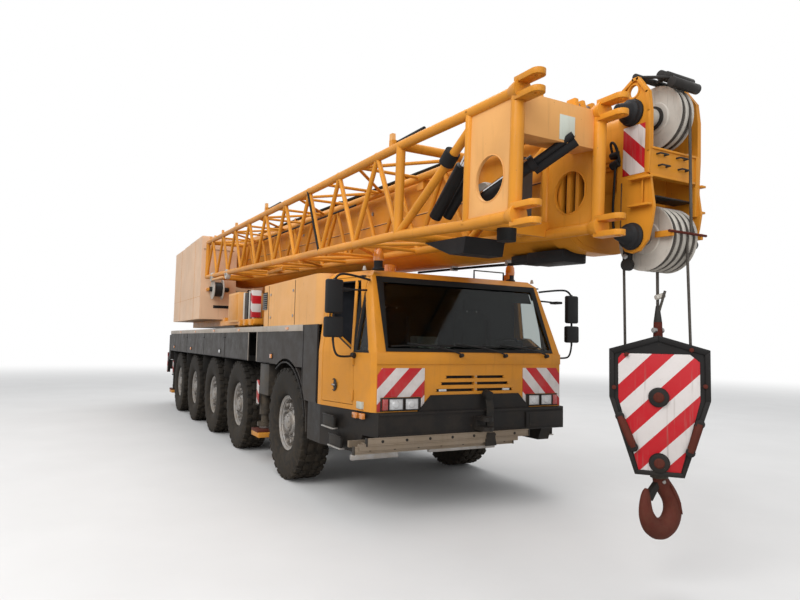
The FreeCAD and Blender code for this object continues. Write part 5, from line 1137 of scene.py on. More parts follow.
def ladder_rails():
    """Aluminium ladder under the bumper: two stacked rails with holes."""
    shapes = []
    rails = ((0.742, 0.812, -1.3, 0.62, 2.283), (0.668, 0.738, -1.42, 0.42, 2.262))
    for low, high, y0, y1, x in rails:
        shapes.append(slab((x - 0.022, x), (y0, y1), (low, high), "ladder"))
        for z in (low, high - 0.008):
            shapes.append(slab((x, x + 0.006), (y0, y1), (z, z + 0.008), "ladder"))
        for index in range(7):
            y = y0 + 0.16 + 0.262 * index
            spot = ahead(x - 0.001, y, (low + high) / 2)
            shapes.append(stub(spot, (0.004, 0, 0), 0.015, "seal", 14))
        shapes += [
            slab((x - 0.03, x + 0.008), (y0 - 0.012, y0), (low - 0.004, high + 0.004), "plastic"),
            slab((x - 0.03, x + 0.008), (y1, y1 + 0.012), (low - 0.004, high + 0.004), "plastic")]
    shapes += [
        slab((2.2, 2.245), (-1.44, -0.95), (0.615, 0.665), "steel"),
        slab((2.2, 2.245), (-0.6, 0.2), (0.635, 0.665), "steel")]
    return shapes


def side_at(x):
    """Half width of the bumper, which narrows forwards."""
    return 1.376 - (x - 1.25) * 0.1955


def bumper_trim():
    """Folded edges, strap, steps and side lamps of the bumper."""
    shapes = [
        slab((2.226, 2.24), (-1.15, 1.15), (1.008, 1.03), "black"),
        slab((2.226, 2.236), (-1.15, 1.15), (0.8, 0.822), "black"),
        slab((2.228, 2.25), (0.62, 1.14), (0.825, 0.99), "black"),
        slab((2.25, 2.256), (0.66, 0.68), (0.84, 0.975), "seal")]
    near, far = 0.075, 0.165
    strap = [(2.176, 1.215), (2.215, 1.2), (2.262, 1.06), (2.262, 0.86)]
    for (x0, z0), (x1, z1) in zip(strap, strap[1:]):
        strip = [(x0, near, z0), (x1, near, z1), (x1, far, z1), (x0, far, z0)]
        shapes.append(plate([ahead(*corner) for corner in strip], (0.012, 0, 0), "seal"))
    tongue = [
        (2.262, near, 0.86), (2.285, 0.045, 0.665), (2.285, 0.185, 0.665), (2.262, far, 0.86)]
    shapes += [
        plate([ahead(*corner) for corner in tongue], (0.014, 0, 0), "seal"),
        rod((2.18, 0.12, 1.19), (2.262, 0.12, 1.175), 0.048, "seal", 18)]
    for side in (1, -1):
        for x, z, high in ((1.33, 0.83, 0.115), (1.52, 0.655, 0.105)):
            shapes += [
                slab((x, x + 0.3), (1.352 * side, 1.377 * side), (z, z + high), "seal"),
                slab(
                    (x - 0.005, x + 0.305), (1.33 * side, 1.392 * side), (z - 0.012, z + 0.002),
                    "alloy"),
                slab(
                    (x - 0.005, x + 0.305), (1.37 * side, 1.383 * side),
                    (z + high, z + high + 0.012), "black")]
        for x in (1.86, 1.97):
            y = side_at(x)
            out = ((y - 0.012) * side, (y + 0.022) * side)
            shapes.append(slab((x, x + 0.085), out, (0.962, 1.016), "amber"))
        y = side_at(1.91)
        shapes.append(slab(
            (1.9, 2.02), ((y - 0.03) * side, (y + 0.004) * side), (1.055, 1.125), "plate"))
    return shapes


class CRANE_OT_front(bpy.types.Operator):
    """Bumper edges, strap, steps, side lamps and the ladder under the bumper"""

    bl_idname = "crane.front"
    bl_label = "Front and ladder"

    def execute(self, context):
        piece("bumper_trim", bumper_trim(), "carrier", 0.003)
        piece("ladder_dressed", ladder_rails(), "carrier", 0.0015)
        return {"FINISHED"}


# Deck edges, skirts, tail and underside of the carrier

def deck_edges():
    """Metal strip round the deck, with its bolts."""
    shapes = []
    runs = ((-9.55, -4.256), (-4.246, -1.574), (-1.566, -0.874), (-0.866, 0.622))
    for side in (1, -1):
        for x0, x1 in runs:
            ys = (BODY_SIDE * side, 1.3785 * side)
            shapes.append(slab((x0, x1), ys, (1.828, 1.903), "edge"))
            if x1 < -1.2:
                ys = (1.3 * side, 1.3785 * side)
                shapes.append(slab((x0, x1), ys, (1.898, 1.905), "edge"))
        for x in (-4.25, -1.57, -0.87, 0.6, -9.53):
            for z in (1.845, 1.885):
                spot = ahead(x + 0.03, 1.377 * side, z)
                shapes.append(stub(spot, (0, 0.005 * side, 0), 0.008, "steel", 6))
    return shapes


def skirt_trim():
    """Seams, hinges, side lamps and wheel arch edges of the side panels."""
    shapes = []
    for side in (1, -1):
        near = (1.372 * side, 1.379 * side)
        for x in (-1.812, -1.345):
            shapes.append(slab((x, x + 0.016), near, (1.4, 1.826), "edge"))
        for x in (-5.2, -3.385, -7.12):
            shapes += [
                slab((x, x + 0.01), near, (1.4, 1.826), "seal"),
                slab((x - 0.09, x + 0.06), (1.37 * side, 1.385 * side), (1.735, 1.752), "seal")]
        shapes += [
            slab((-9.55, -1.81), near, (1.4, 1.412), "black"),
            slab((-1.335, -0.7), near, (1.4, 1.412), "black")]
        for x, finish in ((-0.62, "amber"), (-3.75, "clear"), (-6.6, "amber"), (-8.9, "amber")):
            shapes += [
                slab(
                    (x - 0.012, x + 0.072), (1.372 * side, 1.382 * side), (1.462, 1.538),
                    "plastic"),
                slab((x, x + 0.06), (1.38 * side, 1.396 * side), (1.474, 1.526), finish)]
        arch = [
            ahead(
                0.757 * math.cos(a), BODY_SIDE * side,
                0.685 + 0.757 * math.sin(
                    a)) for a in (math.radians(12 + 9 * i) for i in range(13))]
        shapes.append(piped(arch, 0.011, "black"))
        for x in (0.64, 1.1):
            shapes.append(slab((x - 0.006, x + 0.006), near, (1.05, 1.895), "black"))
    return shapes


def tail_parts():
    """Tail beam with its lamps, stripe boards and flaps."""
    shapes = [
        slab((-10.015, -9.93), (-1.3, 1.3), (0.9, 1.14), "black"),
        slab((-9.935, -9.56), (-1.05, 1.05), (1.42, 1.8), "chassis")]
    for side in (1, -1):
        lenses = ((1.02, 1.12, "red_lens"), (1.13, 1.2, "amber"), (0.93, 1.01, "clear"))
        for near, far, finish in lenses:
            ys = (near * side, far * side)
            shapes.append(slab((-10.0165, -10.005), ys, (0.96, 1.07), finish))
        shapes.append(slab((-9.8, -9.56), (1.02 * side, 1.37 * side), (1.16, 1.8), "black"))
        ys = (1.3 * side, BODY_SIDE * side)
        shapes += [
            slab((-9.99, -9.93), ys, (0.82, 1.34), "black"),
            slab((-9.995, -9.925), (1.368 * side, 1.3785 * side), (0.83, 1.33), "board_side")]
        flap = (0.98 * side, 1.36 * side)
        shapes.append(slab((-9.005, -8.99), flap, (0.42, 1.38), "seal"))
    return shapes


def underside():
    """Shafts, struts, tanks and guards below the frame."""
    shapes = []
    for x in AXLES:
        for side in (1, -1):
            shapes += [
                bar(
                    (x - 0.17, 0.74 * side, 0.62), (x - 0.17, 0.7 * side, 1.3), 0.062, "grease",
                    16),
                bar(
                    (x - 0.17, 0.74 * side, 0.6), (x - 0.17, 0.725 * side, 0.86), 0.036, "steel",
                    14)]
        shapes.append(bar((x + 0.21, -0.86, 0.6), (x + 0.21, 0.86, 0.6), 0.02, "grease", 10))
        hub = added(
            bpy.ops.mesh.primitive_uv_sphere_add, segments=20, ring_count=12, radius=0.21,
            location=(x, 0.0, 0.66))
        shapes.append(coated(hub, "chassis"))
    for back, front in zip(AXLES[1:], AXLES):
        shapes.append(bar((back + 0.16, 0.0, 0.7), (front - 0.16, 0.0, 0.7), 0.048, "grease", 14))
    for x, y, z, half in ((-3.38, 0.82, 1.12, 0.26), (-7.12, 0.86, 1.14, 0.25)):
        for side in (1, -1):
            shapes.append(rod(
                (x - half, y * side, z), (x + half, y * side, z), 0.13, "chassis", 24))
    for x in (-3.38, -5.25, -7.12):
        for side in (1, -1):
            flap = (1.0 * side, 1.36 * side)
            shapes.append(slab((x - 0.006, x + 0.006), flap, (1.06, 1.42), "seal"))
    for side in (1, -1):
        shapes.append(slab((-1.26, -0.84), (0.95 * side, 1.33 * side), (0.95, 1.38), "chassis"))
    return shapes


def marker(x, side):
    """Stripe board on the end of an outrigger beam."""
    near, far = sorted((1.312 * side, 1.322 * side))
    lip = near - 0.006 * (side < 0)
    return [
        block((x - 0.055, near, 0.79), (x + 0.055, far, 1.13), "board_side"),
        block((x - 0.075, lip, 0.77), (x + 0.075, far - 0.004, 0.79), "seal")]


def pad(jack, side):
    """Foot plate under a jack."""
    x = jack.x
    return [
        block((x - 0.12, 1.0 * side, 0.335), (x + 0.26, 1.36 * side, 0.405), "paint"),
        block((x - 0.1, 0.98 * side, 0.405), (x + 0.23, 1.37 * side, 0.44), "rust"),
        bar((x, jack.y, 0.43), (x, jack.y, 0.5), 0.085, "steel", 20)]


class CRANE_OT_carrier(bpy.types.Operator):
    """Deck edges, skirts, tail, underside and stripe markers of the carrier"""

    bl_idname = "crane.carrier"
    bl_label = "Carrier"

    def execute(self, context):
        piece("deck_edges", deck_edges(), "carrier", 0.0008)
        piece("skirt_trim", skirt_trim(), "carrier", 0.0015)
        piece("tail", tail_parts(), "carrier", 0.003)
        piece("underside", underside(), "carrier", 0.003)
        for end in ("front", "rear"):
            for name, side in SIDES:
                jack = middle_of("outrigger_jack_%s_%s" % (end, name))
                beam, leg = "outrigger_%s_%s" % (end, name), "jack_%s_%s" % (end, name)
                piece("marker_%s_%s" % (end, name), marker(jack.x, side), beam, 0.001)
                piece("pad_%s_%s" % (end, name), pad(jack, side), leg, 0.006)
        return {"FINISHED"}


# Engine housing and superstructure

def housing_trim():
    """Grilles, seams and latches of the engine housing."""
    shapes = []
    for side in (1, -1):
        near = (BODY_SIDE * side, 1.3795 * side)
        shapes.append(slab((-1.06, -0.865), near, (2.135, 2.375), "seal"))
        for index in range(8):
            z = 2.145 + index * 0.029
            lip = [
                ahead(-1.055, 1.378 * side, z), ahead(-0.87, 1.378 * side, z),
                ahead(-0.87, 1.392 * side, z - 0.008), ahead(-1.055, 1.392 * side, z - 0.008)]
            shapes.append(plate(lip, (0, 0, 0.01), "grey"))
        for x in (-0.8, 0.3):
            shapes.append(slab((x, x + 0.006), near, (1.905, 2.455), "grease"))
        for x, z in ((-0.7, 2.02), (0.24, 2.02), (-0.7, 2.33), (0.24, 2.33)):
            spot = ahead(x, 1.3745 * side, z)
            shapes.append(stub(spot, (0, 0.01 * side, 0), 0.018, "steel", 14))
    shapes.append(slab((-0.95, 0.35), (-1.0, 1.0), (2.469, 2.473), "seal"))
    for index in range(14):
        x = -0.93 + index * 0.093
        shapes.append(slab((x, x + 0.045), (-1.0, 1.0), (2.473, 2.484), "grey"))
    return shapes


def ballast_trim():
    """Steps, rails, vent, seams and eyes of the counterweight."""
    front, back = -5.81, -9.25
    shapes = []
    for side in (1, -1):
        for x0, x1, z in ((-9.24, -7.95, 3.86), (-7.93, -6.7, 3.872), (-6.68, -5.82, 3.884)):
            shapes.append(slab((x0, x1), (0.7 * side, 1.372 * side), (3.845, z), "ballast"))
        near = (BODY_SIDE * side, 1.378 * side)
        for x in (-8.3, -6.55):
            shapes.append(slab((x, x + 0.007), near, (2.14, 3.845), "paint"))
        shapes.append(slab((back, front), near, (2.6, 2.606), "paint"))
        for x in (-7.75, -7.45, -7.15, -6.85):
            y = 1.24 * side
            shapes.append(pipe(
                [(x, y, 3.85), (x, y, 3.985), (x - 0.22, y, 3.985), (x - 0.22, y, 3.85)], 0.011,
                "steel", smooth=False))
        for x in (-9.0, -6.1):
            shapes.append(rod(
                (x, 1.05 * side - 0.02, 3.9), (x, 1.05 * side + 0.02, 3.9), 0.06, "paint", 20))
        ys = (0.78 * side, 1.1 * side)
        shapes += [
            slab((front, front + 0.008), ys, (2.365, 2.425), "seal"),
            slab((front, front + 0.01), (0.7 * side, 1.34 * side), (3.6, 3.607), "grease"),
            slab((back - 0.012, back), (0.95 * side, 1.34 * side), (2.35, 2.6), "board_side")]
    shapes += [
        slab((back - 0.342, back + 0.01), (-0.92, 0.92), (3.35, 3.368), "seal"),
        slab((back - 0.346, back - 0.338), (-0.8, -0.1), (2.93, 3.17), "seal"),
        slab((back - 0.346, back - 0.338), (0.1, 0.8), (2.93, 3.17), "seal"),
        slab((back - 0.3, back - 0.04), (-0.904, -0.898), (2.92, 3.14), "seal"),
        slab((back - 0.3, back - 0.04), (0.898, 0.904), (2.92, 3.14), "seal")]
    return shapes


def reels():
    """Two hose reels in front of the counterweight."""
    shapes = []
    for y in (-1.17, -0.98):
        rows = [(0.0, -0.012), (0.205, -0.012), (0.212, 0.0), (0.205, 0.012), (0.0, 0.012)]
        shapes.append(spun_y(rows, AXLE_1 - 5.58, y, 2.745, 36, "sheave"))
    shapes += [
        rod((-5.58, -1.24, 2.745), (-5.58, -0.84, 2.745), 0.05, "grease", 16),
        rod((-5.58, -1.15, 2.745), (-5.58, -1.0, 2.745), 0.15, "grease", 24),
        slab((-5.82, -5.55), (-0.86, -0.83), (2.7, 2.8), "paint"),
        slab((-5.82, -5.55), (-1.255, -1.235), (2.715, 2.775), "paint")]
    return shapes


def side_tray():
    """Locker, pipes and stripe marker on a rail beside the platform."""
    shapes = [
        slab((-3.95, -1.66), (-1.34, -1.21), (1.955, 2.035), "paint"),
        slab((-3.95, -3.75), (-1.3, -0.86), (1.995, 2.1), "paint"),
        # The pale box is painted light on its lit faces.
        slab((-3.2, -2.5), (-1.374, -0.98), (2.0, 2.485), "lit_paint"),
        slab((-3.17, -2.53), (-1.376, -1.373), (2.03, 2.455), "paint"),
        slab((-2.36, -2.18), (-1.31, -1.22), (2.035, 2.46), "grease"),
        slab((-2.05, -1.97), (-1.31, -1.23), (2.035, 2.44), "grease"),
        slab((-1.76, -1.67), (-1.374, -1.24), (2.05, 2.46), "board_side")]
    for x in (-2.44, -2.1, -1.88, -1.8):
        shapes.append(rod((x, -1.29, 2.03), (x, -1.29, 2.47), 0.024, "sheave", 12))
    for x in (-2.42, -2.12, -1.78):
        shapes.append(slab((x - 0.07, x + 0.05), (-1.372, -1.2), (1.935, 2.02), "paint"))
    return shapes


def operators_cab():
    """Seals, rails, wiper, grille, seat and handles of the crane operator's cab."""
    shapes = []
    for y in (0.636, 1.374):
        for x in (-4.86, -4.02, -3.28):
            shapes.append(slab((x - 0.02, x + 0.02), (y - 0.006, y + 0.006), (2.24, 3.56), "seal"))
        for z in (2.24, 2.86, 3.54):
            front = -3.17 - 0.26 * max(0.0, (z - 2.9) / 0.74)
            shapes.append(slab(
                (-4.88, front - 0.03), (y - 0.006, y + 0.006), (z, z + 0.03), "seal"))
    for y in (0.74, 0.98, 1.22):
        shapes.append(pipe(
            [(-4.8, y, 3.64), (-4.76, y, 3.7), (-3.5, y, 3.7), (-3.44, y, 3.63)], 0.014, "black",
            smooth=False))
    for x in (-4.55, -4.15, -3.75):
        shapes.append(rod((x, 0.72, 3.7), (x, 1.24, 3.7), 0.01, "black", 8))
    shapes += [
        rod((-3.2, 1.33, 2.35), (-3.2, 1.33, 3.1), 0.014, "black", 10),
        softened(slab((-4.35, -3.9), (0.77, 1.22), (2.5, 2.63), "cloth"), 0.03),
        softened(slab((-4.42, -4.3), (0.78, 1.21), (2.55, 3.25), "cloth"), 0.03),
        slab((-4.3, -3.95), (0.85, 1.15), (2.2, 2.52), "plastic")]
    for y in (0.72, 1.2):
        shapes.append(slab((-4.2, -3.7), (y, y + 0.08), (2.4, 2.78), "plastic"))
    shapes += [
        slab((-3.45, -3.32), (0.76, 1.24), (2.18, 2.86), "plastic"),
        slab((-4.6, -3.3), (1.372, 1.378), (2.16, 2.18), "grease")]
    return shapes


def drum_rope():
    """Rope on the winch drum."""
    drum = middle_of("winch_drum")
    shapes = []
    for index in range(30):
        ring = added(
            bpy.ops.mesh.primitive_torus_add, major_radius=0.203, minor_radius=0.0125,
            major_segments=36, minor_segments=6, location=(drum.x, -0.377 + index * 0.026, drum.z),
            rotation=(math.pi / 2, 0, 0))
        shapes.append(coated(ring, "rope"))
    return shapes


class CRANE_OT_upper(bpy.types.Operator):
    """Engine housing, counterweight, reels, side tray, operator's cab and winch rope"""

    bl_idname = "crane.upper"
    bl_label = "Superstructure"

    def execute(self, context):
        piece("housing_trim", housing_trim(), "carrier", 0.001)
        piece("ballast_trim", ballast_trim(), "superstructure", 0.003)
        piece("hose_reels", reels(), "superstructure", 0.002)
        piece("side_tray", side_tray(), "superstructure", 0.004)
        piece("operators_trim", operators_cab(), "superstructure", 0.0)
        piece("winch_rope", drum_rope(), "winch", 0.0)
        return {"FINISHED"}


# Boom and lattice jib: drawn along the boom and then tipped

def section_line(u, half, low, top, upper, lower):
    """Outline of a boom section: rounded corners, larger ones below."""
    line = []
    for y, z, turn, radius in (
        (half - upper, top - upper, 0, upper), (-half + upper, top - upper, 90, upper),
        (-half + lower, -low + lower, 180, lower), (half - lower, -low + lower, 270, lower)):
        for step in range(5):
            angle = math.radians(turn + 22.5 * step)
            line.append(Vector((u, y + radius * math.cos(angle), z + radius * math.sin(angle))))
    return line


def mouth(u, outside, inside):
    """Plate that fills the room between two sections at a section's end."""
    return hollow_frame(
        section_line(u, *outside), section_line(u, *inside), (0.022, 0, 0), "paint")


BASE_SECTION = (0.45, 0.3, 0.75, 0.17, 0.38)
SECTION_1 = (0.352, 0.197, 0.725, 0.135, 0.305)
SECTION_1_WALL = (0.345, 0.19, 0.718, 0.13, 0.3)
SECTION_2 = (0.243, 0.082, 0.697, 0.114, 0.184)


def boom_trim():
    """Seams, wear pad bolts, lugs, boxes and hoses of the boom's base section."""
    shapes = [mouth(11.214, BASE_SECTION, SECTION_1)]
    for side in (1, -1):
        near = sorted((0.4495 * side, 0.4535 * side))
        # A dark seam line and, above it, a pale strip: the strip is painted light, the lit band
        # above the seam.
        shapes += [
            block((1.2, near[0], 0.232), (11.0, near[1], 0.24), "grease"),
            block((1.2, near[0], 0.24), (11.0, near[1] + 0.001, 0.25), "lit_paint")]
        for u in (2.6, 5.2, 7.8, 9.9):
            for w in (0.1, 0.4):
                shapes.append(bar((u, 0.449 * side, w), (u, 0.462 * side, w), 0.022, "steel", 14))
        for u in (11.06, 11.16):
            for w in (0.0, 0.18, 0.36, 0.52):
                shapes.append(bar((u, 0.476 * side, w), (u, 0.492 * side, w), 0.016, "steel", 6))
    lugs = (
        (-0.36, 0.095, 11.1), (-0.24, 0.125, 11.1), (0.06, 0.13, 11.16), (0.16, 0.12, 11.16),
        (0.3, 0.12, 11.12))
    for y, tall, u in lugs:
        shapes.append(fin(
            [
                (u - 0.05, 0.72), (u - 0.045, 0.75 + tall), (u + 0.045, 0.75 + tall),
                (u + 0.05, 0.72)],
            y, 0.022, "paint"))
    for y in (-0.155, -0.045):
        shapes.append(sheet(
            [(10.98, 0.74), (11.05, 0.94), (11.13, 0.94), (11.2, 0.74)], y - 0.014, y + 0.014,
            "paint"))
    shapes.append(bar((11.09, -0.19, 0.9), (11.09, -0.01, 0.9), 0.022, "steel", 14))
    for y in (-0.33, -0.29):
        shapes.append(piped(
            [(2.0, y, 0.775), (5.0, y - 0.01, 0.775), (8.0, y, 0.775), (10.9, y, 0.785)], 0.013,
            "seal"))
    for u in (2.4, 4.4, 6.4, 8.4, 10.4):
        shapes.append(block((u - 0.02, -0.355, 0.745), (u + 0.02, -0.265, 0.795), "paint"))
    shapes += [
        softened(block((10.62, -0.28, -0.405), (11.08, -0.02, -0.298), "plastic"), 0.012),
        softened(block((10.3, -0.2, -0.37), (10.58, 0.12, -0.298), "plastic"), 0.012),
        piped(
            [(10.65, -0.05, -0.36), (10.2, 0.0, -0.345), (9.4, 0.02, -0.33), (8.2, 0.02, -0.33)],
            0.014, "seal")]
    for u in (9.0, 10.0):
        shapes.append(block((u - 0.02, -0.02, -0.35), (u + 0.02, 0.06, -0.296), "steel"))
    return shapes


def tele_trim():
    """Mouth, bolts and lugs of the first telescope."""
    shapes = [mouth(11.316, SECTION_1_WALL, SECTION_2)]
    for side in (1, -1):
        for u in (11.262, 11.304):
            for w in (0.08, 0.24, 0.4, 0.54):
                shapes.append(bar((u, 0.344 * side, w), (u, 0.356 * side, w), 0.01, "steel", 6))
    for y in (-0.2, -0.09, 0.12):
        shapes.append(sheet(
            [(11.27, 0.7), (11.28, 0.83), (11.32, 0.83), (11.328, 0.7)], y - 0.016, y + 0.016,
            "paint"))
    return shapes


def tip_trim():
    """Ribs, seam, hoses and connectors of the front section."""
    shapes = []
    for side in (1, -1):
        for w, proud in ((0.26, 0.007), (0.295, 0.007), (0.33, 0.007), (0.02, 0.006)):
            ys = sorted((0.235 * side, (0.237 + proud) * side))
            shapes.append(block((11.36, ys[0], w), (11.6, ys[1], w + 0.012), "paint"))
    shapes += [
        bar((11.555, -0.268, 0.36), (11.625, -0.268, 0.36), 0.026, "plastic", 14),
        bar((11.565, -0.272, 0.28), (11.635, -0.272, 0.3), 0.03, "plastic", 14),
        piped(
            [
                (11.57, -0.27, 0.37), (11.545, -0.29, 0.47), (11.62, -0.29, 0.44),
                (11.64, -0.275, 0.3)],
            0.01, "seal"),
        piped(
            [
                (11.6, -0.275, 0.27), (11.6, -0.28, 0.12), (11.585, -0.275, -0.1),
                (11.6, -0.272, -0.2)],
            0.009, "seal")]
    return shapes


JIB_OUT, JIB_IN = -1.3, -0.56
JIB_LOW = -0.19
JIB_BACK, JIB_KINK, JIB_ROOT, JIB_END = 1.74, 10.1, 11.16, 11.72


def jib_top(u):
    """Height of the jib's upper chord, which rises a little towards the kink."""
    return 0.524 + (u - JIB_BACK) / (JIB_KINK - JIB_BACK) * 0.082


def jib_tubes():
    """Chords and braces of the lattice jib."""
    shapes = []
    chord, brace, lace = 0.042, 0.024, 0.018
    step = (JIB_KINK - JIB_BACK) / 9
    places = [JIB_BACK + step * index for index in range(10)]
    root_low, root_top = -0.27 + chord, 0.64 - chord

    def tube(start, end, radius):
        shapes.append(bar(start, end, radius, "paint", 18 if radius > 0.03 else 12))

    for y in (JIB_OUT, JIB_IN):
        tube((JIB_BACK, y, JIB_LOW), (JIB_KINK, y, JIB_LOW), chord)
        tube((JIB_BACK, y, jib_top(JIB_BACK)), (JIB_KINK, y, jib_top(JIB_KINK)), chord)
        tube((JIB_KINK, y, JIB_LOW), (JIB_ROOT + 0.02, y, root_low), chord)
        tube((JIB_KINK, y, jib_top(JIB_KINK)), (JIB_ROOT + 0.02, y, root_top), chord)
        tube((JIB_ROOT, y, root_low), (JIB_END + 0.02, y, root_low), chord)
        tube((JIB_ROOT, y, root_top), (JIB_END + 0.02, y, root_top), chord)
        for u in (JIB_KINK, JIB_BACK):
            tube((u, y, JIB_LOW), (u, y, jib_top(u)), chord)
        tube((JIB_KINK, y, JIB_LOW), (JIB_ROOT + 0.02, y, root_top - 0.12), brace * 1.5)
        for here, there in zip(places, places[1:]):
            half = (here + there) / 2
            tube((here, y, JIB_LOW), (half, y, jib_top(half)), brace)
            tube((half, y, jib_top(half)), (there, y, JIB_LOW), brace)
            for u, w in ((here, JIB_LOW), (half, jib_top(half))):
                joint = added(
                    bpy.ops.mesh.primitive_uv_sphere_add, segments=12, ring_count=8,
                    radius=chord + 0.004, location=(u, y, w))
                shapes.append(coated(joint, "paint"))
    for u in (JIB_BACK, JIB_KINK):
        tube((u, JIB_OUT, JIB_LOW), (u, JIB_IN, JIB_LOW), chord)
        tube((u, JIB_OUT, jib_top(u)), (u, JIB_IN, jib_top(u)), chord)
    for index, (here, there) in enumerate(zip(places, places[1:])):
        y0, y1 = (JIB_OUT, JIB_IN) if index % 2 == 0 else (JIB_IN, JIB_OUT)
        tube((here, y0, JIB_LOW), (there, y1, JIB_LOW), lace)
        tube((here, y0, jib_top(here)), (there, y1, jib_top(there)), lace)
        if index:
            tube((here, JIB_OUT, JIB_LOW), (here, JIB_IN, JIB_LOW), lace)
            tube((here, JIB_OUT, jib_top(here)), (here, JIB_IN, jib_top(here)), lace)
    for u in (places[1], places[8]):
        shapes.append(block((u - 0.06, JIB_IN, 0.47), (u + 0.06, -0.45, 0.58), "paint"))
    return shapes


def prong(u, y, w):
    """One prong of a fork: a flat bar with a round end and its pin hole."""
    line = [(u - 0.1, y - 0.046), (u - 0.1, y + 0.046)]
    for step in range(9):
        angle = math.radians(90.0 - 22.5 * step)
        line.append((u + 0.085 + 0.05 * math.cos(angle), y + 0.05 * math.sin(angle)))
    shape = plate([(along, across, w - 0.02) for along, across in line], (0.0, 0.0, 0.04), "paint")
    return carved(shape, bar((u + 0.085, y, w - 0.1), (u + 0.085, y, w + 0.1), 0.022, sides=20))


def jib_root_parts():
    """Root plates with their flanges, forks, cross box and cylinder."""
    shapes = []
    low, top = -0.27, 0.64
    # The outer plate gets the pale finish and the inner one the main paint: lit and shaded copies
    # of one paint, painted light.
    for y, finish in ((JIB_OUT, "lit_paint"), (JIB_IN, "paint")):
        wall = block((JIB_ROOT, y - 0.01, low + 0.02), (JIB_END, y + 0.01, top - 0.02), finish)
        hole = bar(
            (JIB_ROOT + 0.28, y - 0.2, low + 0.335), (JIB_ROOT + 0.28, y + 0.2, low + 0.335), 0.16,
            sides=40)
        shapes.append(carved(wall, hole))
        rim = [(0.158, -0.014), (0.166, -0.014), (0.166, 0.014), (0.158, 0.014), (0.158, -0.014)]
        shapes += [
            spun_y(rim, JIB_ROOT + 0.28, y, low + 0.335, 40, finish),
            bar((JIB_END - 0.005, y, low), (JIB_END - 0.005, y, top), 0.046, "paint", 20),
            bar(
                (JIB_ROOT + 0.01, y, low + 0.02), (JIB_ROOT + 0.01, y, top - 0.03), 0.036, "paint",
                18)]
        for w in (low + 0.042, top - 0.042):
            shapes.append(bar(
                (JIB_END - 0.06, y, w), (JIB_END + 0.04, y, w), 0.05, "paint", 20, tip=0.074))
            for lift in (-0.056, 0.056):
                shapes.append(prong(JIB_END + 0.1, y, w + lift))
    box = [
        (JIB_END - 0.26, 0.35), (JIB_END - 0.02, 0.33), (JIB_END - 0.02, 0.61),
        (JIB_END - 0.26, 0.61)]
    # The pale finish of the cross box is painted light.
    shapes += [
        sheet(box, JIB_OUT, JIB_IN, "lit_paint"),
        block(
            (JIB_ROOT + 0.02, JIB_OUT, low + 0.02), (JIB_ROOT + 0.06, JIB_IN, low + 0.14),
            "paint")]
    for y in (-1.16, -1.03, -0.7):
        shapes.append(fin(
            [
                (JIB_END - 0.2, 0.6), (JIB_END - 0.18, 0.7), (JIB_END - 0.1, 0.7),
                (JIB_END - 0.08, 0.6)],
            y, 0.018, "paint"))
    shapes.append(block(
        (JIB_END - 0.021, -0.925, 0.345), (JIB_END - 0.016, -0.785, 0.52), "plate"))
    for u in (JIB_ROOT + 0.14, JIB_ROOT + 0.235, JIB_ROOT + 0.325, JIB_ROOT + 0.415):
        shapes.append(block((u - 0.018, -0.54, -0.12), (u + 0.018, -0.49, 0.26), "paint"))
    shapes.append(block((JIB_ROOT + 0.07, -0.49, -0.13), (JIB_ROOT + 0.5, -0.478, 0.27), "grease"))
    return shapes


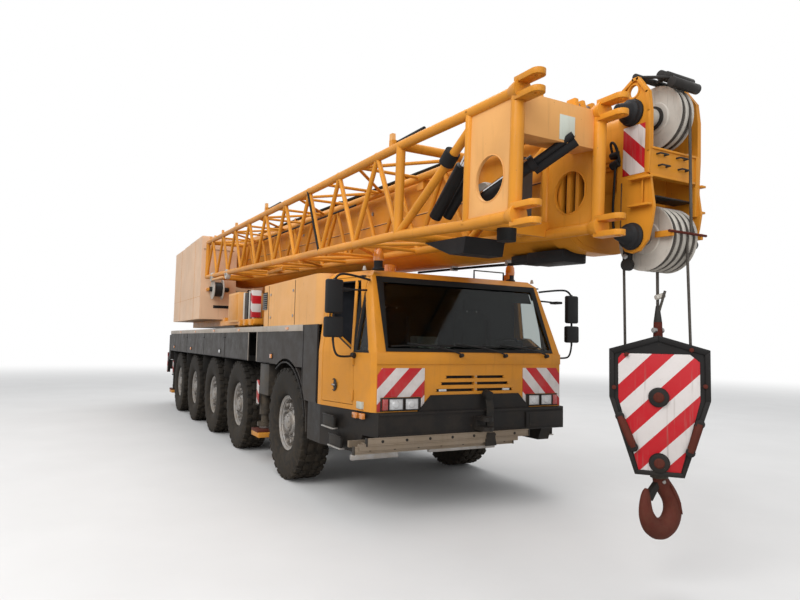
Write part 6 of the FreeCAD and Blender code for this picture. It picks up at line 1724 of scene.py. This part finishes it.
def jib_fittings():
    """Cylinders, lugs, rods, cable and rollers of the jib."""
    shapes = []
    a, b = Vector((11.735, -0.83, 0.385)), Vector((11.2, -1.2, -0.03))
    mid = a.lerp(b, 0.42)
    shapes += [
        bar(a, mid, 0.024, "plastic", 14), bar(mid, b, 0.048, "black", 20),
        bar(a.lerp(b, 0.4), a.lerp(b, 0.46), 0.056, "plastic", 20),
        bar(
            a + Vector((-0.02, 0.045, -0.03)), a.lerp(b, 0.44) + Vector((-0.02, 0.045, -0.03)),
            0.04, "plastic", 16),
        bar(
            a.lerp(b, 0.46) + Vector((0.02, -0.04, 0.03)), b + Vector((0.02, -0.04, 0.03)), 0.01,
            "chrome", 8)]
    a, b = Vector((11.02, -1.12, 0.5)), Vector((10.46, -1.14, -0.06))
    shapes += [
        bar(a, a.lerp(b, 0.4), 0.028, "chrome", 14), bar(a.lerp(b, 0.35), b, 0.052, "black", 20),
        bar(a + Vector((0.02, 0.12, 0.0)), b + Vector((0.0, 0.12, 0.02)), 0.045, "plastic", 18),
        bar((10.86, -1.3, 0.29), (10.95, -1.3, 0.36), 0.062, "seal", 20),
        block((10.93, -0.78, -0.2), (11.0, -0.66, 0.42), "grease"),
        block((11.02, -0.72, -0.2), (11.05, -0.6, 0.4), "cast"),
        spun_y(
            [
                (0.0, -0.05), (0.165, -0.05), (0.175, -0.03), (0.175, 0.03), (0.165, 0.05),
                (0.0, 0.05)],
            10.78, -0.86, 0.04, 32, "sheave"),
        sheet(
            [(10.1, -0.235), (10.75, -0.235), (10.72, -0.37), (10.52, -0.37)], -1.02, -0.62,
            "plastic"),
        bar((11.28, -1.02, -0.235), (11.28, -1.02, -0.33), 0.072, "seal", 24)]
    # The pale lugs on the outer chord are painted light.
    for u, long in ((5.92, 0.55), (9.93, 0.5)):
        w = jib_top(u)
        shapes += [
            fin(
                [(u - 0.035, w), (u - 0.03, w + 0.15), (u + 0.02, w + 0.15), (u + 0.035, w)],
                JIB_OUT, 0.018, "lit_paint"),
            bar(
                (u, JIB_OUT + 0.04, w + 0.07), (u + long, JIB_OUT + 0.04, w + 0.08), 0.018,
                "plastic", 10),
            block(
                (u - 0.03, JIB_OUT - 0.02, w + 0.03), (u + 0.03, JIB_OUT + 0.07, w + 0.09),
                "paint")]
    # The pale blocks on the outer chord are painted light.
    for u in (3.05, 4.1, 1.95):
        w = jib_top(u)
        shapes.append(block(
            (u - 0.02, JIB_OUT - 0.02, w + 0.02), (u + 0.02, JIB_OUT + 0.02, w + 0.1), "lit_paint"))
    for u in (2.35, 3.62):
        shapes += [
            spun_y(
                [(0.0, -0.035), (0.085, -0.035), (0.092, 0.0), (0.085, 0.035), (0.0, 0.035)], u,
                JIB_OUT - 0.005, JIB_LOW - 0.035, 24, "sheave"),
            bar(
                (u, JIB_OUT - 0.055, JIB_LOW - 0.035), (u, JIB_OUT + 0.05, JIB_LOW - 0.035), 0.022,
                "steel", 14)]
    # The pale bar under the outer chord is painted light.
    shapes += [
        bar(
            (2.45, JIB_OUT - 0.02, JIB_LOW - 0.085), (3.4, JIB_OUT - 0.02, JIB_LOW - 0.075), 0.024,
            "lit_paint", 12),
        bar((5.0, -0.95, JIB_LOW - 0.05), (6.1, -1.05, JIB_LOW - 0.05), 0.032, "paint", 12)]
    line = [
        (3.4, JIB_IN - 0.05, jib_top(3.4) - 0.055), (5.0, JIB_IN - 0.055, jib_top(5.0) - 0.06),
        (7.6, JIB_IN - 0.05, jib_top(7.6) - 0.055)]
    shapes.append(piped(line, 0.012, "seal"))
    step = (JIB_KINK - JIB_BACK) / 9
    u = JIB_BACK + step * 6.5
    shapes.append(piped(
        [(u, JIB_OUT - 0.03, jib_top(u)), (u + step / 2, JIB_OUT - 0.03, JIB_LOW)], 0.014, "seal",
        smooth=False))
    return shapes


class CRANE_OT_boom(bpy.types.Operator):
    """Trim of the boom sections and the whole lattice jib with its root, forks and fittings"""

    bl_idname = "crane.boom"
    bl_label = "Boom and jib"

    def execute(self, context):
        piece("boom_trim", boom_trim(), "boom", 0.0, where=BOOM)
        piece("section_trim", tele_trim(), "tele_1", 0.0, where=BOOM)
        piece("tip_trim", tip_trim(), "tele_2", 0.0, where=BOOM)
        piece("jib_tubes", jib_tubes(), "boom", 0.0, where=BOOM, replaced=["jib_lattice"])
        piece(
            "jib_root", jib_root_parts(), "boom", 0.004, where=BOOM,
            replaced=["jib_lattice"])
        piece("jib_fittings", jib_fittings(), "boom", 0.0, where=BOOM)
        return {"FINISHED"}


# The boom's head, its sheaves and the ropes: drawn along the boom and then tipped

LOW_PIN = BOOM.inverted() @ pivot("sheaves_lower_spin")
TOP_PIN = BOOM.inverted() @ pivot("sheaves_upper_spin")
TIP = LOW_PIN.x - 0.166
ROPE_X = pivot("sheaves_lower_spin").x


def head_cap(u, w):
    """A rubber cone over the end of a head pin."""
    rows = [
        (0.0, 0.0), (0.098, 0.0), (0.1, 0.016), (0.088, 0.03), (0.088, 0.052), (0.066, 0.062),
        (0.04, 0.15), (0.034, 0.163), (0.0, 0.165)]
    at = Vector((u, -0.262, w))
    return spun([at + Vector((r, -d, 0)) for r, d in rows], at, (0, 1, 0), 32, "plastic")


def head_plates():
    """Edge flanges, gussets and boxes of the head's side plates."""
    shapes = []
    upper = [
        (9, 690), (32, 827), (140, 894), (190, 894), (284, 768), (306, 620), (312, 330),
        (308, 178)]
    for side in (1, -1):
        y0, y1 = sorted((0.262 * side, 0.278 * side))
        for (u0, w0), (u1, w1) in zip(upper, upper[1:]):
            run = Vector((u1 - u0, 0, w1 - w0)).normalized() * 0.004
            out = Vector((run.z, 0, -run.x)) * 6.0
            a = Vector((TIP + u0 / 1000, y0, w0 / 1000)) - run
            b = Vector((TIP + u1 / 1000, y0, w1 / 1000)) + run
            shapes.append(plate([a, b, b + out, a + out], (0.0, y1 - y0, 0.0), "paint"))
        for w, reach in ((0.14, 0.1), (-0.055, 0.13)):
            y2, y3 = sorted((0.262 * side, 0.31 * side))
            shapes.append(block((TIP + 0.15, y2, w - 0.006), (TIP + 0.335, y3, w + 0.01), "paint"))
        shapes.append(block(
            (TIP + 0.25, y0, -0.055), (TIP + 0.264, y1 + 0.02 * side, 0.14), "paint"))
        seam = 0.2625 * side
        shapes.append(bar(
            (TIP + 0.055, seam, -0.25), (TIP + 0.055, seam, 0.14), 0.004, "grease", 8))
    return shapes


def head_box():
    """The box across the head's front, with its handles, lip and rope guards."""
    front = TIP + 0.308
    shapes = [
        block((front - 0.012, -0.262, 0.15), (front + 0.01, 0.262, 0.168), "paint"),
        block((front - 0.012, -0.262, 0.345), (front + 0.012, 0.262, 0.36), "paint"),
        block((front - 0.02, 0.214, -0.09), (front + 0.012, 0.262, 0.36), "paint"),
        block((front - 0.2, -0.24, 0.02), (front - 0.03, 0.24, 0.03), "grease")]
    for y, w in ((-0.16, 0.315), (-0.14, 0.235), (0.05, 0.315), (0.07, 0.235)):
        shapes.append(piped(
            [
                (front, y - 0.04, w), (front + 0.035, y - 0.04, w), (front + 0.035, y + 0.04, w),
                (front, y + 0.04, w)],
            0.007, "grease", smooth=False))
    for y in (-0.19, 0.19):
        shapes.append(bar((front - 0.05, y, 0.36), (front - 0.05, y, 0.385), 0.014, "steel", 6))
    return shapes


def sheave_row(pin, count, middle):
    """Cast sheaves with raised rims and wound rope between them."""
    pitch = 0.067
    shapes = []
    start = middle - pitch * count / 2
    rope = 0.0115
    for index in range(count):
        left = start + pitch * index
        rows = [
            (0.052, 0.01), (0.075, 0.004), (0.115, 0.006), (0.122, 0.014), (0.2, 0.016),
            (0.214, 0.008), (0.24, 0.0015), (0.24, 0.008), (0.206, 0.02), (0.203, 0.034),
            (0.206, 0.047), (0.24, 0.059), (0.24, 0.0655), (0.214, 0.059), (0.2, 0.051),
            (0.122, 0.053), (0.115, 0.061), (0.075, 0.063), (0.052, 0.057)]
        points = [(pin.x + r, left + w, pin.z) for r, w in rows]
        shapes.append(spun(points + points[:1], pin, (0, 1, 0), 64, "sheave"))
        for lap, radius in ((0.022, 0.221), (0.045, 0.221)):
            ring = added(
                bpy.ops.mesh.primitive_torus_add, major_radius=radius, minor_radius=rope,
                major_segments=64, minor_segments=8, location=(pin.x, left + lap, pin.z),
                rotation=(math.pi / 2, 0, 0))
            shapes.append(coated(ring, "rope"))
    return shapes


def tip_plate(points, y, thick, finish):
    """A plate on the head, from places behind its tip and above the boom's line."""
    return plate([(TIP + u, y, w) for u, w in points], (0.0, thick, 0.0), finish)


def head_dressing():
    """Plates, box, pin caps, stripe boards and holes of the head."""
    shapes = head_plates() + head_box()
    for u, w in ((0.166, -0.268), (0.14, 0.642)):
        shapes += [head_cap(TIP + u, w), moved(head_cap(TIP + u, w), MIRROR)]
    board = [(0.062, 0.185), (0.062, 0.545), (0.258, 0.545), (0.258, 0.185)]
    shapes += [
        tip_plate(board, -0.2625, -0.003, "board_head"),
        tip_plate(board, 0.2625, 0.003, "board_head")]
    eye = Vector((TIP + 0.143, -0.262, 0.802))
    rows = [(0.044, -0.02), (0.044, 0.006), (0.058, 0.006), (0.058, 0.0)]
    hole = spun([eye + Vector((r, -d, 0)) for r, d in rows], eye, (0, 1, 0), 28, "paint")
    return shapes + [hole, mirrored(hole)]


def rope_guards():
    """Guard bars over the sheaves, their plates, and the switch under the head."""
    def across(u, y0, y1, w, radius, finish, sides):
        return bar((TIP + u, y0, w), (TIP + u, y1, w), radius, finish, sides)

    shapes = []
    for u, w, radius in ((0.3, 0.905, 0.03), (0.245, 0.925, 0.036), (0.345, 0.845, 0.038)):
        shapes.append(across(u, -0.11, 0.17, w, radius, "grease", 20))
    shapes.append(across(0.155, -0.27, 0.27, 0.905, 0.024, "grease", 16))
    cheek = [(0.13, 0.89), (0.3, 0.94), (0.37, 0.86), (0.34, 0.82), (0.27, 0.885)]
    for y in (-0.075, 0.135):
        shapes.append(tip_plate(cheek, y, 0.012, "grease"))
    shapes.append(bar(
        (TIP + 0.155, -0.25, 0.905), (TIP + 0.33, -0.09, 0.885), 0.012, "grease", 10))
    for y in (-0.155, 0.155):
        shapes.append(block(
            (TIP + 0.28, y - 0.012, -0.277), (TIP + 0.425, y + 0.012, -0.233), "paint"))
    shapes += [
        across(0.425, -0.2, 0.2, -0.245, 0.01, "rust", 10),
        block((TIP + 0.03, -0.205, -0.5), (TIP + 0.09, -0.165, -0.33), "plastic"),
        across(0.06, -0.21, -0.16, -0.46, 0.045, "grease", 16),
        across(0.06, -0.215, -0.155, -0.4, 0.022, "steel", 10)]
    return shapes


def head_hubs():
    """Pins of both sheave rows, with the collars beside the upper one."""
    rows = [
        (LOW_PIN, -0.24, 0.24, 0.0515, "steel"), (TOP_PIN, -0.24, 0.24, 0.0515, "steel"),
        (TOP_PIN, -0.24, -0.045, 0.068, "sheave"), (TOP_PIN, -0.06, -0.042, 0.088, "grease"),
        (TOP_PIN, 0.105, 0.24, 0.068, "sheave")]
    return [
        bar((pin.x, y0, pin.z), (pin.x, y1, pin.z), radius, finish, 28) for pin, y0, y1, radius,
        finish in rows]


class CRANE_OT_head(bpy.types.Operator):
    """Plates, caps, sheaves and rope guards of the boom's head"""

    bl_idname = "crane.head"
    bl_label = "Boom head"

    def execute(self, context):
        piece("head_dressed", head_dressing(), "tele_2", 0.003, where=BOOM)
        piece("rope_guards", rope_guards(), "tele_2", 0.003, where=BOOM)
        lower = sheave_row(LOW_PIN, 4, 0.0)
        piece(
            "sheaves_low", lower, "sheaves_lower", 0.0, where=BOOM,
            replaced=["head_sheaves_lower"])
        upper = sheave_row(TOP_PIN, 2, 0.03)
        piece(
            "sheaves_top", upper, "sheaves_upper", 0.0, where=BOOM,
            replaced=["head_sheaves_upper"])
        piece("head_hubs", head_hubs(), "tele_2", 0.002, where=BOOM)
        top = pivot("sheaves_upper_spin") + Vector((0.229, 0.062, 0.0))
        low = Vector((top.x, top.y, pivot("sheaves_lower_spin").z + 0.02))
        piece("head_rope", [bar(low, top, 0.011, "rope", 10)], "tele_2", 0.0)
        return {"FINISHED"}


# The hook block on its falls

BLOCK = Matrix.Translation((ROPE_X, 0, 0)) @ Matrix.Rotation(BLOCK_TURN, 4, "Z")


def block_places(points, y):
    """Places on the block's face, from its own middle and height."""
    return [BLOCK @ Vector((s, y, z)) for s, z in points]


BLOCK_EDGE = [(-0.333, 1.35), (-0.333, 1.7), (0.0, 1.8), (0.333, 1.7), (0.333, 1.35),
              (0.162, 0.81), (-0.162, 0.81)]
BLOCK_PANEL = [(-0.272, 1.345), (-0.272, 1.635), (-0.245, 1.668), (0.205, 1.668), (0.268, 1.615),
               (0.268, 1.345), (0.138, 0.838), (-0.138, 0.838)]


def block_cheeks():
    """Stripe panels in dark frames, on both faces of the block."""
    across = BLOCK.to_3x3() @ Vector((0, 1, 0))
    shapes = []
    for side in (1, -1):
        lip = across * 0.016 * side
        out = [(s * 1.004, z) for s, z in BLOCK_EDGE]
        rim = [(s * 0.9, 1.255 + (z - 1.255) * 0.925) for s, z in BLOCK_EDGE]
        shapes += [
            hollow_frame(
                block_places(out, 0.12 * side), block_places(rim, 0.12 * side), lip, "black"),
            plate(block_places(BLOCK_PANEL, 0.1205 * side), across * 0.006 * side, "board_hook")]
        for s, z, r in ((0.0, 1.36, 0.07), (0.0, 0.9, 0.069)):
            a, b = block_places([(s, z)], 0.118 * side)[0], block_places([(s, z)], 0.15 * side)[0]
            shapes.append(bar(a, b, r, "black", 36, tip=r * 0.94))
            c = block_places([(s, z)], 0.158 * side)[0]
            shapes.append(bar(b, c, r * 0.55, "rust", 24, tip=r * 0.4))
        for s0, z0, s1, z1 in ((-0.262, 1.215, -0.17, 1.0), (0.262, 1.19, 0.2, 0.99)):
            ends = block_places([(s0, z0), (s1, z1)], 0.135 * side)
            shapes.append(bar(ends[0], ends[1], 0.028, "rust", 12))
            for end in ends:
                shapes.append(bar(
                    end - across * 0.02 * side, end + across * 0.02 * side, 0.032, "black", 12))
        for s, z in ((0.215, 1.7), (-0.215, 1.66), (0.3, 1.45), (-0.3, 1.42)):
            spot = block_places([(s, z)], 0.134 * side)[0]
            shapes.append(bar(spot, spot + across * 0.014 * side, 0.017, "rust", 6))
    for (s0, z0), (s1, z1) in zip(BLOCK_EDGE[:4], BLOCK_EDGE[1:5]):
        ends = [
            *block_places([(s0, z0), (s1, z1)], -0.135),
            *block_places([(s1, z1), (s0, z0)], 0.135)]
        if z0 != 1.35 and z1 != 1.35:
            shapes.append(plate(ends, (0.0, 0.0, -0.012), "black"))
    for w in (-0.045, 0.045):
        rows = [
            (0.08, -0.02), (0.2, -0.014), (0.222, -0.026), (0.226, -0.022), (0.206, 0.0),
            (0.226, 0.022), (0.222, 0.026), (0.2, 0.014), (0.08, 0.02)]
        wheel = spun([(r, w + d, 1.36) for r, d in rows], (0, 0, 1.36), (0, 1, 0), 48, "grease")
        shapes.append(moved(wheel, BLOCK))
    return shapes


def hook_shape():
    """A forged hook: a curved shank that tapers to its tip, with a safety latch."""
    line = [
        (0.0, 0.865, 0.046), (0.0, 0.812, 0.05), (0.004, 0.775, 0.058), (0.03, 0.725, 0.062),
        (0.085, 0.66, 0.064), (0.122, 0.59, 0.068), (0.126, 0.515, 0.072), (0.094, 0.45, 0.076),
        (0.038, 0.414, 0.078), (-0.026, 0.414, 0.076), (-0.084, 0.448, 0.07),
        (-0.122, 0.508, 0.06), (-0.134, 0.575, 0.05), (-0.132, 0.64, 0.04), (-0.126, 0.69, 0.028),
        (-0.122, 0.708, 0.012)]
    body = piped(
        [(s, 0.0, z) for s, z, r in line], 1.0, "rust", tapers=[r for s, z, r in line], sides=6)
    body.data.transform(Matrix.Diagonal((1.0, 0.8, 1.0, 1.0)))
    rib = sheet(
        [(0.052, 0.735), (0.15, 0.6), (0.168, 0.51), (0.14, 0.545), (0.118, 0.61), (0.07, 0.69)],
        -0.058, 0.058, "rust")
    latch = sheet(
        [(-0.02, 0.77), (0.006, 0.745), (-0.085, 0.618), (-0.118, 0.64), (-0.116, 0.672)], -0.022,
        0.022, "black")
    pin = bar((0.0, -0.052, 0.752), (0.0, 0.052, 0.752), 0.014, "steel", 12)
    nut = bar((0, 0, 0.775), (0, 0, 0.805), 0.062, "grease", 24)
    return [body, rib, latch, pin, nut]


class CRANE_OT_hook(bpy.types.Operator):
    """Hook block with its stripe panels, the forged hook and the falls' fittings"""

    bl_idname = "crane.hook"
    bl_label = "Hook block"

    def execute(self, context):
        piece("block_dressed", block_cheeks(), "hook_block", 0.003)
        where = Matrix.Translation((ROPE_X, 0, 0)) @ Matrix.Rotation(HOOK_TURN, 4, "Z")
        piece("hook_forged", hook_shape(), "hook", 0.004, where=where, replaced=["hook"])
        low = pivot("sheaves_lower_spin").z
        rows = (
            ((0, 0, 1.79), (0, 0, 1.9), 0.034, "rust", 16, 0.03),
            ((0, 0, 1.9), (0, 0, 2.02), 0.03, "grease", 16, 0.014),
            ((0, -0.05, 1.84), (0, 0.05, 1.84), 0.02, "steel", 12),
            ((0.012, 0, 1.98), (0.05, 0.02, 2.13), 0.01, "rope", 10),
            ((0, -0.02, 2.08), (0.02, 0.045, 2.1), 0.02, "sheave", 10),
            ((0, 0, 2.02), (0, 0, low - 0.242), 0.0115, "rope", 10),
        )
        at = Vector((ROPE_X, 0.0, 0.0))
        socket = [bar(at + Vector(start), at + Vector(end), *how) for start, end, *how in rows]
        piece("rope_socket", socket, "hook_block", 0.002)
        return {"FINISHED"}


# The stage: floor, lights and camera

def area_lamp(name, place, aim, size, power):
    """A square lamp that looks at a place."""
    lamp = added(bpy.ops.object.light_add, type="AREA", location=place)
    lamp.name = name
    lamp.data.size = size
    lamp.data.energy = power
    lamp.rotation_euler = (Vector(aim) - Vector(place)).to_track_quat("-Z", "Y").to_euler()


def seen_straight(wiring):
    """1 for what the camera, a reflection or a pane shows, 0 for scattered light."""
    path = wiring.add("ShaderNodeLightPath").outputs
    sharp = wiring.maths("ADD", path["Is Glossy Ray"], path["Is Transmission Ray"])
    return wiring.maths("MINIMUM", wiring.maths("ADD", path["Is Camera Ray"], sharp), 1.0)


def floor_material():
    """Matt floor that fades into the white behind it."""
    material = bpy.data.materials.new("pale_floor")
    material.use_nodes = True
    wiring = Wiring(material.node_tree)
    shader = material.node_tree.nodes["Principled BSDF"]
    place = wiring.add("ShaderNodeTexCoord").outputs["Object"]
    tone = wiring.blend(wiring.noise(place, 0.8), rgba((0.62, 0.61, 0.6)), rgba((0.7, 0.69, 0.68)))
    straight = seen_straight(wiring)
    tone = wiring.blend(straight, rgba((0.34, 0.32, 0.3)), tone)
    wiring.feed(shader, Base_Color=tone, Roughness=0.9)
    far = wiring.add("ShaderNodeVectorMath", operation="LENGTH")
    wiring.feed(far, i0=place)
    share = wiring.ramp(far.outputs["Value"], 12.0, 34.0)
    glow = wiring.add("ShaderNodeEmission")
    mix = wiring.add("ShaderNodeMixShader")
    seen = wiring.maths("MULTIPLY", share, straight)
    wiring.feed(mix, i0=seen, i1=shader.outputs[0], i2=glow.outputs[0])
    wiring.feed(material.node_tree.nodes["Material Output"], Surface=mix.outputs[0])
    return material


def sky():
    """White for the eye, and a softer light for everything else."""
    world = bpy.context.scene.world or bpy.data.worlds.new("Studio")
    bpy.context.scene.world = world
    world.use_nodes = True
    wiring = Wiring(world.node_tree)
    world.node_tree.nodes.clear()
    soft = wiring.add("ShaderNodeBackground")
    wiring.feed(soft, Color=(0.94, 0.97, 1.0, 1.0), Strength=0.68)
    white = wiring.add("ShaderNodeBackground")
    wiring.feed(white, Color=(1.0, 1.0, 1.0, 1.0), Strength=1.0)
    mix = wiring.add("ShaderNodeMixShader")
    wiring.feed(mix, i0=seen_straight(wiring), i1=soft.outputs[0], i2=white.outputs[0])
    out = wiring.add("ShaderNodeOutputWorld")
    wiring.feed(out, Surface=mix.outputs[0])


LAMPS = (  # name, place, aim, size and power
    ("key_lamp", (10.0, -14.0, 13.0), (0.0, 0.0, 2.0), 12.0, 2150.0),
    ("front_lamp", (19.0, -5.0, 5.0), (2.0, 0.0, 1.8), 8.0, 520.0),
    ("top_lamp", (-2.0, 3.0, 17.0), (0.0, 0.0, 2.0), 14.0, 1500.0),
)
EYE = (7.577, -3.841, 1.71)  # the photograph's viewpoint, from axle 1
EYE_YAW, EYE_PITCH, EYE_ROLL = 2.647, 0.069, 0.02
EYE_LENS = 27.93  # for a sensor 36 wide


def photo_camera():
    """The photograph's viewpoint as a camera."""
    eye = bpy.data.cameras.new("photo_camera")
    camera = bpy.data.objects.new("photo_camera", eye)
    eye.sensor_width = 36.0
    eye.lens = EYE_LENS
    eye.clip_end = 600.0
    level = math.cos(EYE_PITCH)
    view = Vector((level * math.cos(EYE_YAW), level * math.sin(EYE_YAW), math.sin(EYE_PITCH)))
    right = Vector((math.sin(EYE_YAW), -math.cos(EYE_YAW), 0.0))
    up = right.cross(view)
    leaned = right * math.cos(EYE_ROLL) + up * math.sin(EYE_ROLL)
    upward = up * math.cos(EYE_ROLL) - right * math.sin(EYE_ROLL)
    turn = Matrix((leaned, upward, -view)).transposed().to_4x4()
    camera.matrix_world = Matrix.Translation(ahead(*EYE)) @ turn
    return camera


class CRANE_OT_stage(bpy.types.Operator):
    """Pale floor, soft light and the camera"""

    bl_idname = "crane.stage"
    bl_label = "Stage"

    def execute(self, context):
        scene = context.scene
        scene.view_settings.view_transform = "Standard"
        floor = added(
            bpy.ops.mesh.primitive_circle_add, vertices=96, radius=90.0, fill_type="NGON")
        floor.name = "floor"
        floor.location = (0.0, 0.0, -0.001)
        floor.data.materials.append(floor_material())
        sky()
        for lamp in LAMPS:
            area_lamp(*lamp)
        scene.camera = photo_camera()
        scene.collection.objects.link(scene.camera)
        return {"FINISHED"}


STEPS = (
    ("Finishes", "crane.finishes"),
    ("Wheels", "crane.wheels"),
    ("Driver's cab", "crane.cab"),
    ("Front and ladder", "crane.front"),
    ("Carrier", "crane.carrier"),
    ("Superstructure", "crane.upper"),
    ("Boom and jib", "crane.boom"),
    ("Boom head", "crane.head"),
    ("Hook block", "crane.hook"),
    ("Stage", "crane.stage"),
)


class CRANE_PT_panel(bpy.types.Panel):
    """Lists the crane's sizes, colours and building steps"""

    bl_idname = "CRANE_PT_panel"
    bl_label = "Mobile crane"
    bl_space_type = "VIEW_3D"
    bl_region_type = "UI"
    bl_category = "Crane"

    def draw(self, context):
        layout = self.layout
        for group_of in (context.scene.crane_sizes, context.scene.crane_colours):
            box = layout.box()
            for name in group_of.__annotations__:
                box.prop(group_of, name)
        for label, step in STEPS:
            layout.operator(step, text=label)


CLASSES = (
    CraneSizes,
    CraneColours,
    CRANE_OT_finishes,
    CRANE_OT_wheels,
    CRANE_OT_cab,
    CRANE_OT_front,
    CRANE_OT_carrier,
    CRANE_OT_upper,
    CRANE_OT_boom,
    CRANE_OT_head,
    CRANE_OT_hook,
    CRANE_OT_stage,
    CRANE_PT_panel,
)


def register():
    """Registers the add-on's classes and its settings."""
    for each in CLASSES:
        bpy.utils.register_class(each)
    bpy.types.Scene.crane_sizes = bpy.props.PointerProperty(type=CraneSizes)
    bpy.types.Scene.crane_colours = bpy.props.PointerProperty(type=CraneColours)


def unregister():
    """Takes the add-on's classes and settings out again."""
    del bpy.types.Scene.crane_colours
    del bpy.types.Scene.crane_sizes
    for each in reversed(CLASSES):
        bpy.utils.unregister_class(each)


def main():
    """Builds the whole crane."""
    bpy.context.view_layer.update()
    register()
    for label, step in STEPS:
        names = step.split(".")
        getattr(getattr(bpy.ops, names[0]), names[1])()
    bpy.context.view_layer.update()


if __name__ == "__main__":
    main()
